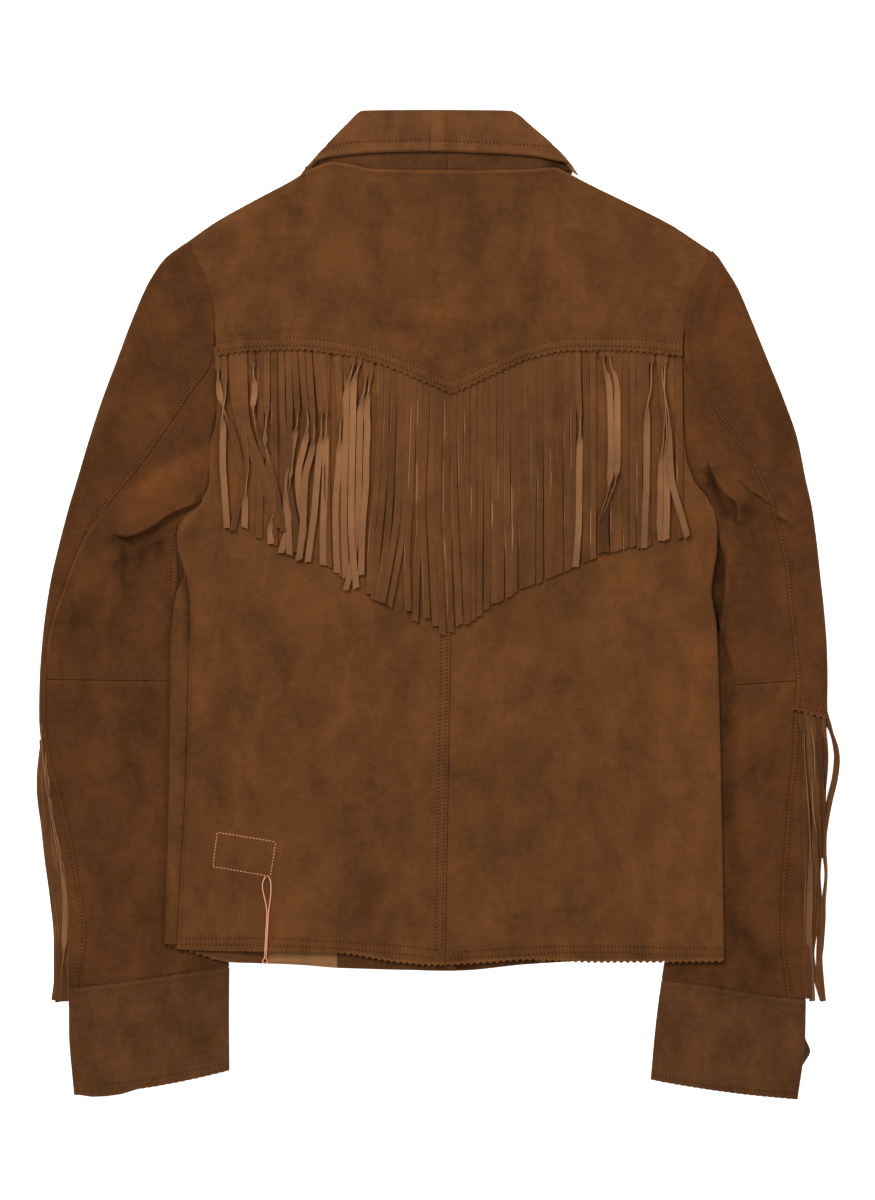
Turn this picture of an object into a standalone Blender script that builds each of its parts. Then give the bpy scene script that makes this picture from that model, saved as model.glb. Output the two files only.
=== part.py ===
"""Fringed suede western jacket, laid flat on its front with its back up.

Sizes are in millimetres in the tables and are turned into metres when a mesh is made.
X runs across the body (the wearer's right is +X), Y runs up the body towards the
collar and Z is up from the surface that the jacket lies on. Each cut piece is one open
sheet through the middle of its leather, laid through sections worked out below, and a
Solidify modifier gives it the leather's thickness.
"""

import math

import bmesh
import bpy

# ------------------------------------------------------------------ driving sizes (mm)
LEATHER = 1.1            # thickness of the suede
SEAM = 0.3               # gap between two pieces that are sewn together
STEP = LEATHER + SEAM    # from one layer's middle to the next layer's middle
FLOOR = LEATHER / 2      # middle of a layer that lies on the surface
SLEEVE_TOP = 4.8         # middle of a sleeve's upper wall where nothing presses it
SLEEVE_PRESSED = 3.6     # the same where the body lies on the sleeve
FRONT_OVER_SLEEVE = 5.3  # middle of the fronts where they pass over a sleeve
BACK_BASE = 4.7          # middle of the back panels over the fronts alone
BACK_OVER_SLEEVE = 7.1   # middle of the back panels over a sleeve
PLACKET_RISE = 2.1       # extra height of the back over the crossed fronts
NECK_RISE = 1.4          # extra height where a collar leaf lies under the fronts
FRINGE_UNDER_YOKE = 9.0  # how far the fringe heading goes up under the yoke
BACK_UNDER_YOKE = 12.0   # how far the back panels go up under the yoke
LEFT_FRONT_EDGE = 14.5   # X of the left front's opening edge
RIGHT_FRONT_EDGE = -1.5  # X of the right front's opening edge
FACING_WIDTH = 95.0
SIDE_WRAP = 13.0         # how far the right back panel goes round under the side
LAYING_SLACK = 0.35      # extra room above the fringe heading, which lies loose
CENTRE_BACK_TOP, CENTRE_BACK_HEM = 11.0, 3.0   # X of the centre-back seam
CUFF_OVERLAP = 22.0
THREAD = 0.9             # diameter of the loose thread
CENTRE_X, CENTRE_Y = -4.0, 0.6   # middle of the laid jacket's box in the tables below

# ------------------------------------------------------------------ tables (mm)
# Sides of the body from the shoulder point down: the left edge, the left side seam
# (on the upper side from the underarm down), the right edge.
BODY = [
    # y,     left,    seam,   right
    (289.0, -201.0, -201.0, 218.5),
    (282.0, -197.0, -197.0, 218.0),
    (263.5, -186.5, -186.5, 209.0),
    (238.0, -180.0, -180.0, 199.5),
    (206.0, -177.5, -177.5, 195.5),
    (152.5, -177.0, -177.0, 196.0),
    (122.0, -183.0, -183.0, 198.0),
    (99.0, -183.0, -183.0, 205.0),
    (84.0, -189.5, -189.5, 217.0),
    (71.5, -202.5, -201.5, 221.0),
    (60.5, -207.5, -206.5, 222.5),
    (36.5, -208.0, -205.0, 221.5),
    (11.0, -208.5, -199.0, 218.5),
    (-27.5, -213.0, -199.0, 222.5),
    (-139.5, -214.0, -201.5, 225.5),
    (-223.5, -216.0, -206.0, 227.0),
    (-290.0, -218.5, -209.5, 228.0),
]
UNDERARM = {"left": 84.0, "right": 85.0}

# Lower edge of the back, and of the fronts, which hang a little lower.
BACK_HEM = [
    # x,       y
    (-225.0, -273.5),
    (-168.0, -276.0),
    (-81.5, -277.5),
    (-31.0, -285.0),
    (-3.0, -287.0),
    (40.0, -285.0),
    (70.5, -283.0),
    (130.5, -285.0),
    (235.0, -284.0),
]
FRONT_HEM = [
    # x,       y
    (-225.0, -269.0),
    (-197.5, -276.5),
    (-165.5, -285.0),
    (-110.5, -287.5),
    (-77.5, -290.0),
    (15.0, -292.0),
    (70.5, -287.0),
    (161.5, -282.0),
    (235.0, -279.5),
]

# The yoke: its pointed lower edge, and its upper edge along shoulders and neck.
YOKE_LOW = [
    # x,       y
    (-177.0, 199.5),
    (-145.0, 203.5),
    (-113.5, 204.0),
    (-73.5, 199.5),
    (-45.5, 192.5),
    (-25.0, 184.5),
    (11.0, 168.5),
    (42.5, 183.5),
    (75.0, 197.5),
    (108.0, 203.5),
    (141.0, 203.5),
    (196.0, 199.0),
]
YOKE_TOP = [
    # x,       y
    (-201.0, 290.0),
    (-178.5, 306.0),
    (-146.5, 324.0),
    (-114.5, 341.0),
    (-101.0, 349.0),
    (-84.0, 354.5),
    (-67.0, 352.0),
    (-54.5, 349.0),
    (7.0, 347.5),
    (69.0, 348.5),
    (93.0, 350.0),
    (104.0, 345.0),
    (115.0, 339.5),
    (147.0, 324.0),
    (186.5, 304.0),
    (205.5, 291.5),
    (218.5, 283.0),
]
# Neckline of the fronts, from one shoulder to the other through the centre front.
FRONT_NECK = [
    # x,       y
    (-108.0, 341.0),
    (-88.0, 306.0),
    (-50.0, 283.0),
    (6.5, 275.0),
    (60.0, 283.0),
    (92.0, 306.0),
    (109.0, 341.0),
]
# Ends of the back fringe, which follow the yoke's point.
FRINGE_END = [
    # x,       y
    (-177.0, 61.0),
    (-154.5, 60.0),
    (-110.5, 36.0),
    (-55.0, 9.0),
    (-23.0, -4.5),
    (11.0, -19.5),
    (36.0, -7.0),
    (64.0, 12.5),
    (133.5, 41.0),
    (200.0, 54.0),
]

# Sleeves: each row is one line across a flat sleeve, from its outer fold to the armhole
# or, below the underarm, to its inner fold. "seam" is where the upper side's long seam
# crosses it, as a part of the way from the outer fold to the inner end.
SLEEVE_LEFT = [
    # outer x, outer y, inner x, inner y, seam
    (-204.5, 287.0, -200.5, 285.0, 1.00),
    (-216.0, 279.0, -193.5, 275.0, 1.00),
    (-229.5, 260.5, -186.0, 260.5, 1.00),
    (-244.0, 228.5, -179.4, 230.0, 1.00),
    (-256.0, 196.5, -177.9, 199.0, 0.97),
    (-268.0, 164.5, -177.6, 164.5, 0.735),
    (-278.5, 132.5, -182.3, 132.5, 0.575),
    (-288.0, 100.5, -184.6, 99.0, 0.392),
    (-294.5, 79.0, -190.4, 84.6, 0.298),
    (-302.5, 48.5, -209.6, 60.5, 0.195),
    (-309.0, 20.5, -210.0, 35.0, 0.125),
    (-313.5, -7.5, -210.0, 4.5, 0.070),
    (-316.5, -35.5, -205.5, -27.5, 0.030),
    (-318.0, -59.5, -200.0, -61.0, 0.012),
    (-318.5, -87.5, -196.0, -87.5, 0.012),
    (-315.0, -123.5, -191.0, -123.5, 0.044),
    (-309.0, -155.5, -186.5, -155.5, 0.070),
    (-302.5, -187.5, -182.0, -187.5, 0.078),
    (-297.5, -219.5, -177.5, -219.5, 0.083),
    (-294.5, -259.5, -172.0, -255.5, 0.106),
    (-294.8, -306.0, -167.3, -289.0, 0.050),
]
SLEEVE_RIGHT = [
    # outer x, outer y, inner x, inner y, seam
    (222.5, 280.5, 218.6, 279.5, 1.00),
    (229.5, 269.5, 212.4, 268.5, 1.00),
    (238.5, 255.0, 206.3, 256.5, 1.00),
    (250.0, 228.5, 198.9, 231.0, 1.00),
    (263.0, 196.5, 196.3, 199.0, 0.99),
    (276.0, 164.5, 196.6, 164.5, 0.750),
    (287.0, 132.5, 198.9, 132.5, 0.560),
    (293.5, 100.5, 206.3, 102.0, 0.410),
    (298.5, 78.0, 217.9, 84.5, 0.395),
    (302.5, 48.5, 224.6, 60.5, 0.345),
    (305.5, 20.5, 224.6, 32.5, 0.280),
    (308.5, -7.5, 223.2, 4.5, 0.270),
    (310.5, -35.5, 220.0, -27.5, 0.265),
    (311.0, -63.0, 214.5, -63.0, 0.250),
    (310.5, -87.5, 210.5, -87.5, 0.252),
    (309.0, -123.5, 205.0, -123.5, 0.243),
    (305.5, -155.5, 200.0, -155.5, 0.238),
    (303.0, -187.5, 195.0, -187.5, 0.231),
    (300.0, -219.5, 191.0, -219.5, 0.226),
    (296.0, -267.5, 185.0, -263.5, 0.194),
    (293.6, -315.5, 179.2, -299.0, 0.118),
]
UNDERARM_ROW = 9          # first row whose inner end is a fold
ELBOW_ROW = 13            # the under panels change here
TOP_ELBOW_ROW = 14        # the top panels change here, with the fringe below
CUFF_LEFT = [
    # outer x, outer y, inner x, inner y
    (-294.8, -306.0, -167.3, -289.0),
    (-294.5, -342.0, -167.5, -325.0),
    (-290.5, -391.0, -167.2, -371.5),
]
CUFF_RIGHT = [
    # outer x, outer y, inner x, inner y
    (293.6, -315.5, 179.2, -299.0),
    (293.0, -347.5, 174.5, -335.5),
    (287.0, -394.5, 170.5, -379.0),
]
# Outer reach of each sleeve's fringe on the surface, from the elbow to its ends.
FRINGE_REACH_LEFT = [
    # y,       x
    (-92.0, -319.8),
    (-115.5, -321.8),
    (-139.5, -321.8),
    (-163.5, -319.0),
    (-203.5, -314.5),
    (-235.5, -310.5),
    (-275.5, -308.5),
    (-316.0, -310.0),
]
FRINGE_REACH_RIGHT = [
    # y,       x
    (-92.0, 312.5),
    (-115.5, 314.0),
    (-155.5, 312.0),
    (-203.5, 311.5),
    (-235.5, 311.0),
    (-275.5, 308.5),
    (-299.5, 309.0),
    (-319.0, 309.5),
]

# The collar, as a band that goes round the flat neck: along it, the roll line and the
# free edge of the fall, the X of the stand's seam (and its Y where it turns the corner),
# and the heights of the roll line, the fall and the stand.
COLLAR = [
    # roll x, roll y, free x, free y, seam x, seam y, roll z, fall z, stand z
    (-20.0, 292.0, -56.0, 241.0, -20.0, "front", 1.15, 0.55, 1.95),
    (-40.0, 298.0, -76.0, 264.0, -42.0, "front", 1.15, 0.55, 1.95),
    (-57.0, 312.0, -90.0, 290.0, -66.0, "front", 1.15, 0.55, 1.95),
    (-67.0, 338.0, -97.0, 320.0, -88.0, "front", 1.15, 0.55, 1.95),
    (-69.5, 374.0, -97.5, 351.0, -99.0, 331.5, 1.15, 0.55, 1.95),
    (-71.0, 388.5, -95.5, 363.5, -111.5, 347.0, 4.40, 4.40, 4.20),
    (-67.0, 392.3, -89.0, 357.5, -92.0, "back", 7.20, 8.30, 5.90),
    (-61.0, 394.8, -72.0, 360.0, -72.0, "back", 7.40, 8.50, 6.00),
    (-38.0, 395.2, -44.0, 362.0, -44.0, "back", 7.40, 8.50, 6.00),
    (-3.0, 395.4, -4.0, 362.8, 0.0, "back", 7.40, 8.60, 6.00),
    (30.0, 395.2, 33.0, 361.5, 36.0, "back", 7.40, 8.50, 6.00),
    (57.0, 394.8, 72.0, 359.2, 72.0, "back", 7.40, 8.50, 6.00),
    (67.0, 391.3, 94.0, 355.3, 93.0, "back", 7.20, 8.30, 5.90),
    (75.0, 384.0, 101.0, 360.5, 112.5, 347.0, 4.40, 4.40, 4.20),
    (73.5, 370.0, 103.5, 350.0, 101.0, 330.5, 1.15, 0.55, 1.95),
    (71.0, 338.0, 102.0, 320.0, 91.0, "front", 1.15, 0.55, 1.95),
    (63.0, 312.0, 95.0, 290.0, 73.0, "front", 1.15, 0.55, 1.95),
    (46.0, 298.0, 82.0, 264.0, 48.0, "front", 1.15, 0.55, 1.95),
    (22.0, 292.0, 60.0, 241.0, 22.0, "front", 1.15, 0.55, 1.95),
]

# The loose thread: a doubled loop that leaves the leather twice.
THREAD_ROUTE = [
    # x,       y
    (-139.0, -217.5),
    (-140.2, -223.0),
    (-139.2, -232.0),
    (-137.6, -240.0),
    (-137.2, -248.0),
    (-137.4, -259.0),
    (-137.6, -267.0),
    (-138.3, -274.0),
    (-138.2, -279.5),
    (-137.0, -281.3),
    (-135.6, -279.8),
    (-135.2, -274.0),
    (-135.4, -267.0),
    (-135.2, -259.0),
    (-134.9, -248.0),
    (-134.4, -240.0),
    (-133.0, -232.0),
    (-132.8, -224.0),
    (-134.0, -217.2),
]

COLOURS = {
    "suede_body": (0.128, 0.052, 0.019),
    "suede_fringe": (0.135, 0.058, 0.022),
    "suede_facing": (0.085, 0.034, 0.013),
    "thread_salmon": (0.68, 0.22, 0.12),
}


# ------------------------------------------------------------------ curves
def smooth(t):
    t = min(1.0, max(0.0, t))
    return t * t * (3.0 - 2.0 * t)


def lerp(a, b, t):
    return a + (b - a) * t


def column(table, at, key=0):
    """The column `at` of a table as a smooth function of its column `key`.

    It is a cubic through the rows whose slopes never overshoot them.
    """
    rows = sorted((row[key], row[at]) for row in table)
    xs = [row[0] for row in rows]
    ys = [row[1] for row in rows]
    n = len(xs)
    slope = [(ys[i + 1] - ys[i]) / (xs[i + 1] - xs[i]) for i in range(n - 1)]
    tangent = [slope[0]]
    for i in range(1, n - 1):
        a, b = slope[i - 1], slope[i]
        tangent.append(0.0 if a * b <= 0 else 2.0 * a * b / (a + b))
    tangent.append(slope[-1])

    def at_x(x):
        x = min(max(x, xs[0]), xs[-1])
        i = 0
        while i < n - 2 and x > xs[i + 1]:
            i += 1
        h = xs[i + 1] - xs[i]
        t = (x - xs[i]) / h
        return (
            (1 + 2 * t) * (1 - t) ** 2 * ys[i]
            + t * (1 - t) ** 2 * h * tangent[i]
            + t * t * (3 - 2 * t) * ys[i + 1]
            + t * t * (t - 1) * h * tangent[i + 1]
        )

    return at_x


body_left = column(BODY, 1)
body_seam = column(BODY, 2)
body_right = column(BODY, 3)
back_hem = column(BACK_HEM, 1)
front_hem = column(FRONT_HEM, 1)
yoke_low = column(YOKE_LOW, 1)
yoke_top = column(YOKE_TOP, 1)
front_neck = column(FRONT_NECK, 1)
fringe_end = column(FRINGE_END, 1)
inner_left = column(SLEEVE_LEFT[UNDERARM_ROW:], 2, key=3)
inner_right = column(SLEEVE_RIGHT[UNDERARM_ROW:], 2, key=3)


def centre_back(y):
    t = (168.0 - y) / (168.0 + 287.0)
    return lerp(CENTRE_BACK_TOP, CENTRE_BACK_HEM, min(1.0, max(0.0, t)))


# ------------------------------------------------------------------ heights (mm)
def over_sleeve(x, y):
    """1 where the body lies on a sleeve, easing to 0 just inside the sleeve's fold."""
    down = smooth((88.0 - y) / 20.0)
    left = 1.0 - smooth((x - inner_left(y) - 5.0) / 16.0)
    right = 1.0 - smooth((inner_right(y) - x - 5.0) / 16.0)
    return down * max(left, right)


def on_collar(x, y):
    """1 where a collar leaf lies under the fronts, easing to 0 past its edge."""
    return smooth((y - 218.0) / 14.0) * (1.0 - smooth((abs(x - 4.0) - 112.0) / 14.0))


def front_height(x, y):
    return (
        FLOOR
        + (FRONT_OVER_SLEEVE - FLOOR) * over_sleeve(x, y)
        + NECK_RISE * on_collar(x, y)
    )


def crossed(x, spread=18.0):
    middle = 0.5 * (LEFT_FRONT_EDGE + RIGHT_FRONT_EDGE)
    half = 0.5 * (LEFT_FRONT_EDGE - RIGHT_FRONT_EDGE) + 3.0
    return 1.0 - smooth((abs(x - middle) - half) / spread)


def back_height(x, y):
    return (
        BACK_BASE
        + (BACK_OVER_SLEEVE - BACK_BASE) * over_sleeve(x, y)
        + NECK_RISE * on_collar(x, y)
        + PLACKET_RISE * crossed(x)
    )


def yoke_height(x, y):
    """The yoke steps up over the fringe heading and the back panels at its lower edge."""
    above = y - yoke_low(x)
    return back_height(x, y) + (2.0 * STEP + 2.0 * LAYING_SLACK) * (1.0 - smooth((above - 15.0) / 14.0))


def pressed(x, y):
    """1 where the body presses a sleeve flat."""
    if y > 70.0:
        return 0.0
    left = smooth((x - body_left(y) + 20.0) / 12.0)
    right = smooth((body_right(y) + 20.0 - x) / 12.0)
    return smooth((70.0 - y) / 24.0) * (left if x < 0 else right)


def sleeve_height(x, y):
    return lerp(SLEEVE_TOP, SLEEVE_PRESSED, pressed(x, y) * smooth((y + 335.0) / 25.0))


# ------------------------------------------------------------------ making sheets
def material(name):
    made = bpy.data.materials.get(name)
    if made is None:
        made = bpy.data.materials.new(name)
        made.use_nodes = True
        shader = made.node_tree.nodes["Principled BSDF"]
        shader.inputs["Base Color"].default_value = (*COLOURS[name], 1.0)
        shader.inputs["Roughness"].default_value = 0.95
        shader.inputs["Metallic"].default_value = 0.0
    return made


def add_object(name, mesh, colour, collection):
    mesh.materials.append(material(colour))
    obj = bpy.data.objects.new(name, mesh)
    collection.objects.link(obj)
    return obj


def sheet(name, rows, colour, collection, skip=None, thickness=LEATHER):
    """One piece of leather: an open sheet through its rows of points, then Solidify."""
    bm = bmesh.new()
    grid = [
        [bm.verts.new((x * 0.001, y * 0.001, z * 0.001)) for x, y, z in row]
        for row in rows
    ]
    for i in range(len(grid) - 1):
        for j in range(len(grid[0]) - 1):
            if skip and skip(i, j):
                continue
            bm.faces.new((grid[i][j], grid[i][j + 1], grid[i + 1][j + 1], grid[i + 1][j]))
    bmesh.ops.delete(bm, geom=[v for v in bm.verts if not v.link_faces], context="VERTS")
    bmesh.ops.recalc_face_normals(bm, faces=bm.faces)
    mesh = bpy.data.meshes.new(name)
    bm.to_mesh(mesh)
    bm.free()
    obj = add_object(name, mesh, colour, collection)
    mesh.shade_smooth()
    wall = obj.modifiers.new("Leather", "SOLIDIFY")
    wall.thickness = thickness * 0.001
    wall.offset = 0.0
    wall.use_even_offset = False
    return obj


def block(name, sections, colour, collection):
    """A closed solid lofted through sections that have the same number of points."""
    bm = bmesh.new()
    rings = [
        [bm.verts.new((x * 0.001, y * 0.001, z * 0.001)) for x, y, z in ring]
        for ring in sections
    ]
    count = len(rings[0])
    for a, b in zip(rings, rings[1:]):
        for j in range(count):
            k = (j + 1) % count
            bm.faces.new((a[j], a[k], b[k], b[j]))
    bm.faces.new(list(reversed(rings[0])))
    bm.faces.new(rings[-1])
    bmesh.ops.triangulate(bm, faces=[f for f in bm.faces if len(f.verts) > 4])
    bmesh.ops.recalc_face_normals(bm, faces=bm.faces)
    mesh = bpy.data.meshes.new(name)
    bm.to_mesh(mesh)
    bm.free()
    obj = add_object(name, mesh, colour, collection)
    mesh.shade_smooth()
    mesh.set_sharp_from_angle(angle=math.radians(50))
    return obj


def spread(n):
    return [i / (n - 1) for i in range(n)]


# ------------------------------------------------------------------ body
# Level rows that the fronts, facings and back panels share, so that they lie parallel.
LEVELS = (160.0, 132.0, 112.0, 98.0, 84.0, 72.0, 60.5, 36.5, 11.0, -27.5, -100.0, -190.0, -250.0)
NECK_COLUMNS_LEFT = (-108.0, -98.0, -88.0, -80.5, -55.5, -30.5, -15.5, -5.5, 14.5)
NECK_COLUMNS_RIGHT = (109.0, 101.0, 93.5, 80.0, 55.0, 30.0, 15.0, 8.0, -1.5)
FACING_START = 3          # the facings begin at this neck column
# Columns of the back panels that follow the sleeves' folds, and how far inside them.
FOLD_PARTS = {0.15: 4.5, 0.3: 22.0}
FRONT_FOLD_COLUMNS = {1: 4.5, 2: 22.0}
FRINGE_COLUMNS = (
    -175.8, -150.0, -130.0, -110.0, -90.0, -73.0, -58.0, -42.0, -23.0, -14.0, -4.5, 5.0,
    11.0, 17.5, 27.0, 36.0, 50.0, 64.0, 84.0, 105.0, 130.0, 160.0, 194.3,
)
YOKE_COLUMNS = (
    -200.4, -178.0, -146.0, -120.0, -108.0, -101.0, -93.0, -84.0, -75.0, -67.0, -54.5,
    -30.0, -14.0, -4.0, 7.0, 18.0, 28.0, 45.0, 69.0, 81.0, 93.0, 104.0, 115.0, 147.0,
    186.0, 205.0, 217.6,
)


def yoke_rows():
    """From the lower edge up to the shoulders and neck, each row from left to right."""
    first, last = YOKE_COLUMNS[0], YOKE_COLUMNS[-1]
    rows = []
    for v in (0.0, 0.1, 0.2, 0.36, 0.52, 0.75, 0.93, 1.0):
        row = []
        for top_x in YOKE_COLUMNS:
            # The sides follow the armholes, so each column leans with them.
            t = (top_x - first) / (last - first)
            low_x = lerp(-176.7, 195.2, t)
            y = lerp(yoke_low(low_x), yoke_top(top_x) - 0.3, v)
            x = lerp(body_left(y) + 0.3, body_right(y) - 0.3, t)
            z = yoke_height(x, y)
            shoulder = smooth((abs(x - 1.0) - 104.0) / 14.0)
            z -= 1.6 * shoulder * smooth((v - 0.9) / 0.1)
            row.append((x, y, z))
        rows.append(row)
    return rows


def near_sleeve(x, side, y, over, clear):
    """X of a column that follows the inner fold of the sleeve under the body.

    Above the underarm it stays at x. Below, it stands `clear` inside the sleeve's fold.
    """
    fold_x = (inner_left(y) + clear) if side < 0 else (inner_right(y) - clear)
    least = over + 4.0 if side < 0 else over - 4.0
    fold_x = max(fold_x, least) if side < 0 else min(fold_x, least)
    return lerp(x, fold_x, smooth((96.0 - y) / 30.0))


def back_edge(side, y):
    """The back panel's outer edge: the armhole, then the left seam or the right fold."""
    if side > 0:
        return body_right(y) - (0.3 if y > UNDERARM["right"] else 0.9)
    if y > UNDERARM["left"]:
        return body_seam(y) + 0.3
    return max(body_seam(y) + 0.25, body_left(y) + 1.6)


def back_rows(side):
    """A back panel from under the yoke to the hem, from its outer edge to the centre."""
    rows = []
    parts = (0.0, 0.03, 0.08, 0.15, 0.3, 0.55, 0.78, 0.87, 0.94, 1.0)
    gap = -0.15 if side < 0 else 0.15
    for level in ("top", "under") + LEVELS + ("hem",):
        row = []
        for t in parts:
            y = 150.0 if level in ("top", "under") else -280.0
            if level not in ("top", "under", "hem"):
                y = level
            for _ in range(5):
                edge = back_edge(side, y)
                x = lerp(edge, centre_back(y) + gap, t)
                if t in FOLD_PARTS:
                    x = near_sleeve(x, side, y, edge + side * -14.0, FOLD_PARTS[t])
                top = yoke_low(x) + BACK_UNDER_YOKE
                if level == "top":
                    y = top
                elif level == "under":
                    y = 0.5 * (top + LEVELS[0])
                elif level == "hem":
                    y = back_hem(x)
            row.append((x, y, back_height(x, y)))
        if side > 0:
            # Round the right side fold and on to the front side.
            x0, y0, z0 = row[0]
            low = front_height(x0, y0)
            wrap = [(x0 - SIDE_WRAP * s, y0, front_height(x0 - SIDE_WRAP * s, y0)) for s in (1.0, 0.4)]
            for a in (180.0, 120.0, 60.0):
                turn = math.radians(a)
                out = 1.1 * math.sin(turn)
                wrap.append((x0 + out, y0, lerp(low, z0, 0.5 * (1.0 + math.cos(turn)))))
            row = wrap + row
        rows.append(row)
    return rows


def front_rows(side):
    """A front from shoulder and neck to hem, from the side to the opening edge.

    The left front goes on round the left side fold up to its side seam.
    """
    neck = NECK_COLUMNS_LEFT if side < 0 else NECK_COLUMNS_RIGHT
    opening = neck[-1]
    shoulder_x = -200.4 if side < 0 else 217.6
    tops = [lerp(shoulder_x, neck[0], t) for t in (0.0, 0.3, 0.65)] + list(neck)
    start = len(tops) - len(neck) + FACING_START
    fixed = tops[start]
    rows = []
    for level in (0.0, 0.35, 0.7, 240.0, 232.0, 218.0) + LEVELS + ("hem",):
        row = []
        for k, top_x in enumerate(tops):
            if k < 4:
                top = yoke_top(top_x) - 0.3
            else:
                top = front_neck(top_x) - 0.4
            # Down the body the outer columns spread from the side to the facing's edge.
            part = min(1.0, (top_x - shoulder_x) / (fixed - shoulder_x))

            def outer(y):
                if side < 0:
                    return body_left(y) + (0.3 if y > UNDERARM["left"] else 0.9)
                edge = body_right(y) - 0.3
                return lerp(edge, body_right(y) - SIDE_WRAP - 1.5, smooth((UNDERARM["right"] - y) / 12.0))

            def place(y):
                if k >= start:
                    return top_x
                x = lerp(outer(y), fixed, part)
                if k in FRONT_FOLD_COLUMNS:
                    x = near_sleeve(x, side, y, outer(y), FRONT_FOLD_COLUMNS[k])
                return x

            if level == "hem":
                y = -280.0
                for _ in range(4):
                    y = front_hem(place(y))
                x = place(y)
            elif 0.0 <= level <= 1.0:
                edge_top = yoke_top(shoulder_x) - 0.3
                y = lerp(top, 240.0, level)
                y_edge = lerp(edge_top, 240.0, level)
                bow = outer(y_edge) - lerp(shoulder_x, outer(240.0), level)
                x = lerp(top_x, place(240.0), level) + bow * (1.0 - part)
            else:
                y = level
                x = place(y)
            z = front_height(x, y)
            if side < 0:
                # The left front crosses over the right one and over its facing.
                z += (2.0 * STEP) * smooth((x - RIGHT_FRONT_EDGE + 16.0) / 11.0)
            if level == 0.0:
                z += 0.9 * smooth((abs(x - 1.0) - 104.0) / 14.0)
            row.append((x, y, z))
        if side < 0:
            x0, y0, z0 = row[0]
            high = back_height(x0, y0)
            seam_x = max(body_seam(y0) - 0.25, x0 + 0.3)
            wrap = [(seam_x, y0, back_height(seam_x, y0))]
            for a in (180.0, 120.0, 60.0):
                turn = math.radians(a)
                out = 1.1 * math.sin(turn)
                wrap.append((x0 - out, y0, lerp(high, z0, 0.5 * (1.0 + math.cos(turn)))))
            row = wrap + row
        rows.append(row)
    return rows


def facing_rows(side):
    """The facing inside a front: the front's own points, one layer up."""
    count = len(NECK_COLUMNS_LEFT) - FACING_START
    rows = []
    front = front_rows(side)
    for i, row in enumerate(front):
        trim = (-0.4 if i == 0 else 0.0) + (0.4 if i == len(front) - 1 else 0.0)
        rows.append([(x, y + trim, z + STEP) for x, y, z in row[-count:]])
    return rows


def back_fringe_rows():
    """The reach of the back fringe, one layer out from the back panels."""
    rows = []
    for v in (0.0, 0.1, 0.4, 0.7, 1.0):
        row = []
        for x in FRINGE_COLUMNS:
            t = (x - FRINGE_COLUMNS[0]) / (FRINGE_COLUMNS[-1] - FRINGE_COLUMNS[0])
            y = lerp(yoke_low(x) + FRINGE_UNDER_YOKE, fringe_end(x), v)
            x = lerp(x, lerp(-176.0, 195.0, t), v)
            row.append((x, y, back_height(x, y) + STEP + LAYING_SLACK))
        rows.append(row)
    return rows


# ------------------------------------------------------------------ sleeves
def fold_angles(count):
    return [math.pi * (i + 1) / (count + 1) for i in range(count)]


def across(row, part, wall):
    """A point on a sleeve row: `part` of the way from outer to inner, on one wall."""
    ox, oy, ix, iy = row[:4]
    x, y = lerp(ox, ix, part), lerp(oy, iy, part)
    return (x, y, sleeve_height(x, y) if wall == "top" else FLOOR)


def width_of(row):
    return math.hypot(row[2] - row[0], row[3] - row[1])


def fold(row, inner, angles):
    """Points round a sleeve's outer or inner fold, from its upper to its lower wall."""
    ox, oy, ix, iy = row[:4]
    top = across(row, 1.0 if inner else 0.0, "top")[2]
    width = width_of(row)
    dx, dy = (ix - ox) / width, (iy - oy) / width
    radius = 0.5 * (top - FLOOR)
    bulge = 1.9 if inner is False else min(1.9, radius)
    points = []
    for a in angles:
        z = FLOOR + radius * (1.0 + math.cos(a))
        out = bulge * math.sin(a)
        cx = (ix - dx * bulge + dx * out) if inner else (ox + dx * bulge - dx * out)
        cy = (iy - dy * bulge + dy * out) if inner else (oy + dy * bulge - dy * out)
        points.append((cx, cy, z))
    return points


def inset(row, millimetres):
    """How much of a row's width this many millimetres are."""
    return millimetres / width_of(row)


def blend_rows(table, at):
    i = min(int(at), len(table) - 2)
    f = at - i
    return tuple(lerp(a, b, f) for a, b in zip(table[i], table[i + 1]))


def top_panel(table, first, last, end_inset, start_inset, side):
    """The panel that holds the outer fold and the whole lower wall."""
    rows = []
    steps = last - first
    for i in range(steps + 1):
        at = first + i
        row = list(table[at])
        if i == 0 and start_inset:
            row = list(blend_rows(table, at + start_inset))
        if i == steps and end_inset:
            row = list(blend_rows(table, at - end_inset))
        e = inset(row, 2.0)
        seam = row[4] - inset(row, SEAM)
        if at <= 3:
            seam = 1.0
        low_end = 1.0 if at < UNDERARM_ROW else 1.0 - e
        seam = max(seam, 2.2 * e)
        points = []
        parts = [lerp(seam, min(e, 0.45), s) for s in (0.0, 0.33, 0.66, 1.0)]
        points += [across(row, p, "top") for p in parts]
        points += fold(row, False, fold_angles(3))
        points += [across(row, lerp(min(e, 0.45), low_end, s), "bottom") for s in (0.0, 0.22, 0.5, 0.78, 1.0)]
        if side < 0:
            # The long seam of the lower side comes round the inner fold to the top.
            points += list(reversed(fold(row, True, fold_angles(3))))
            points += [across(row, 1.0 - e, "top"), across(row, 1.0 - inset(row, 5.0), "top")]
        rows.append(points)
    return rows


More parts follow.
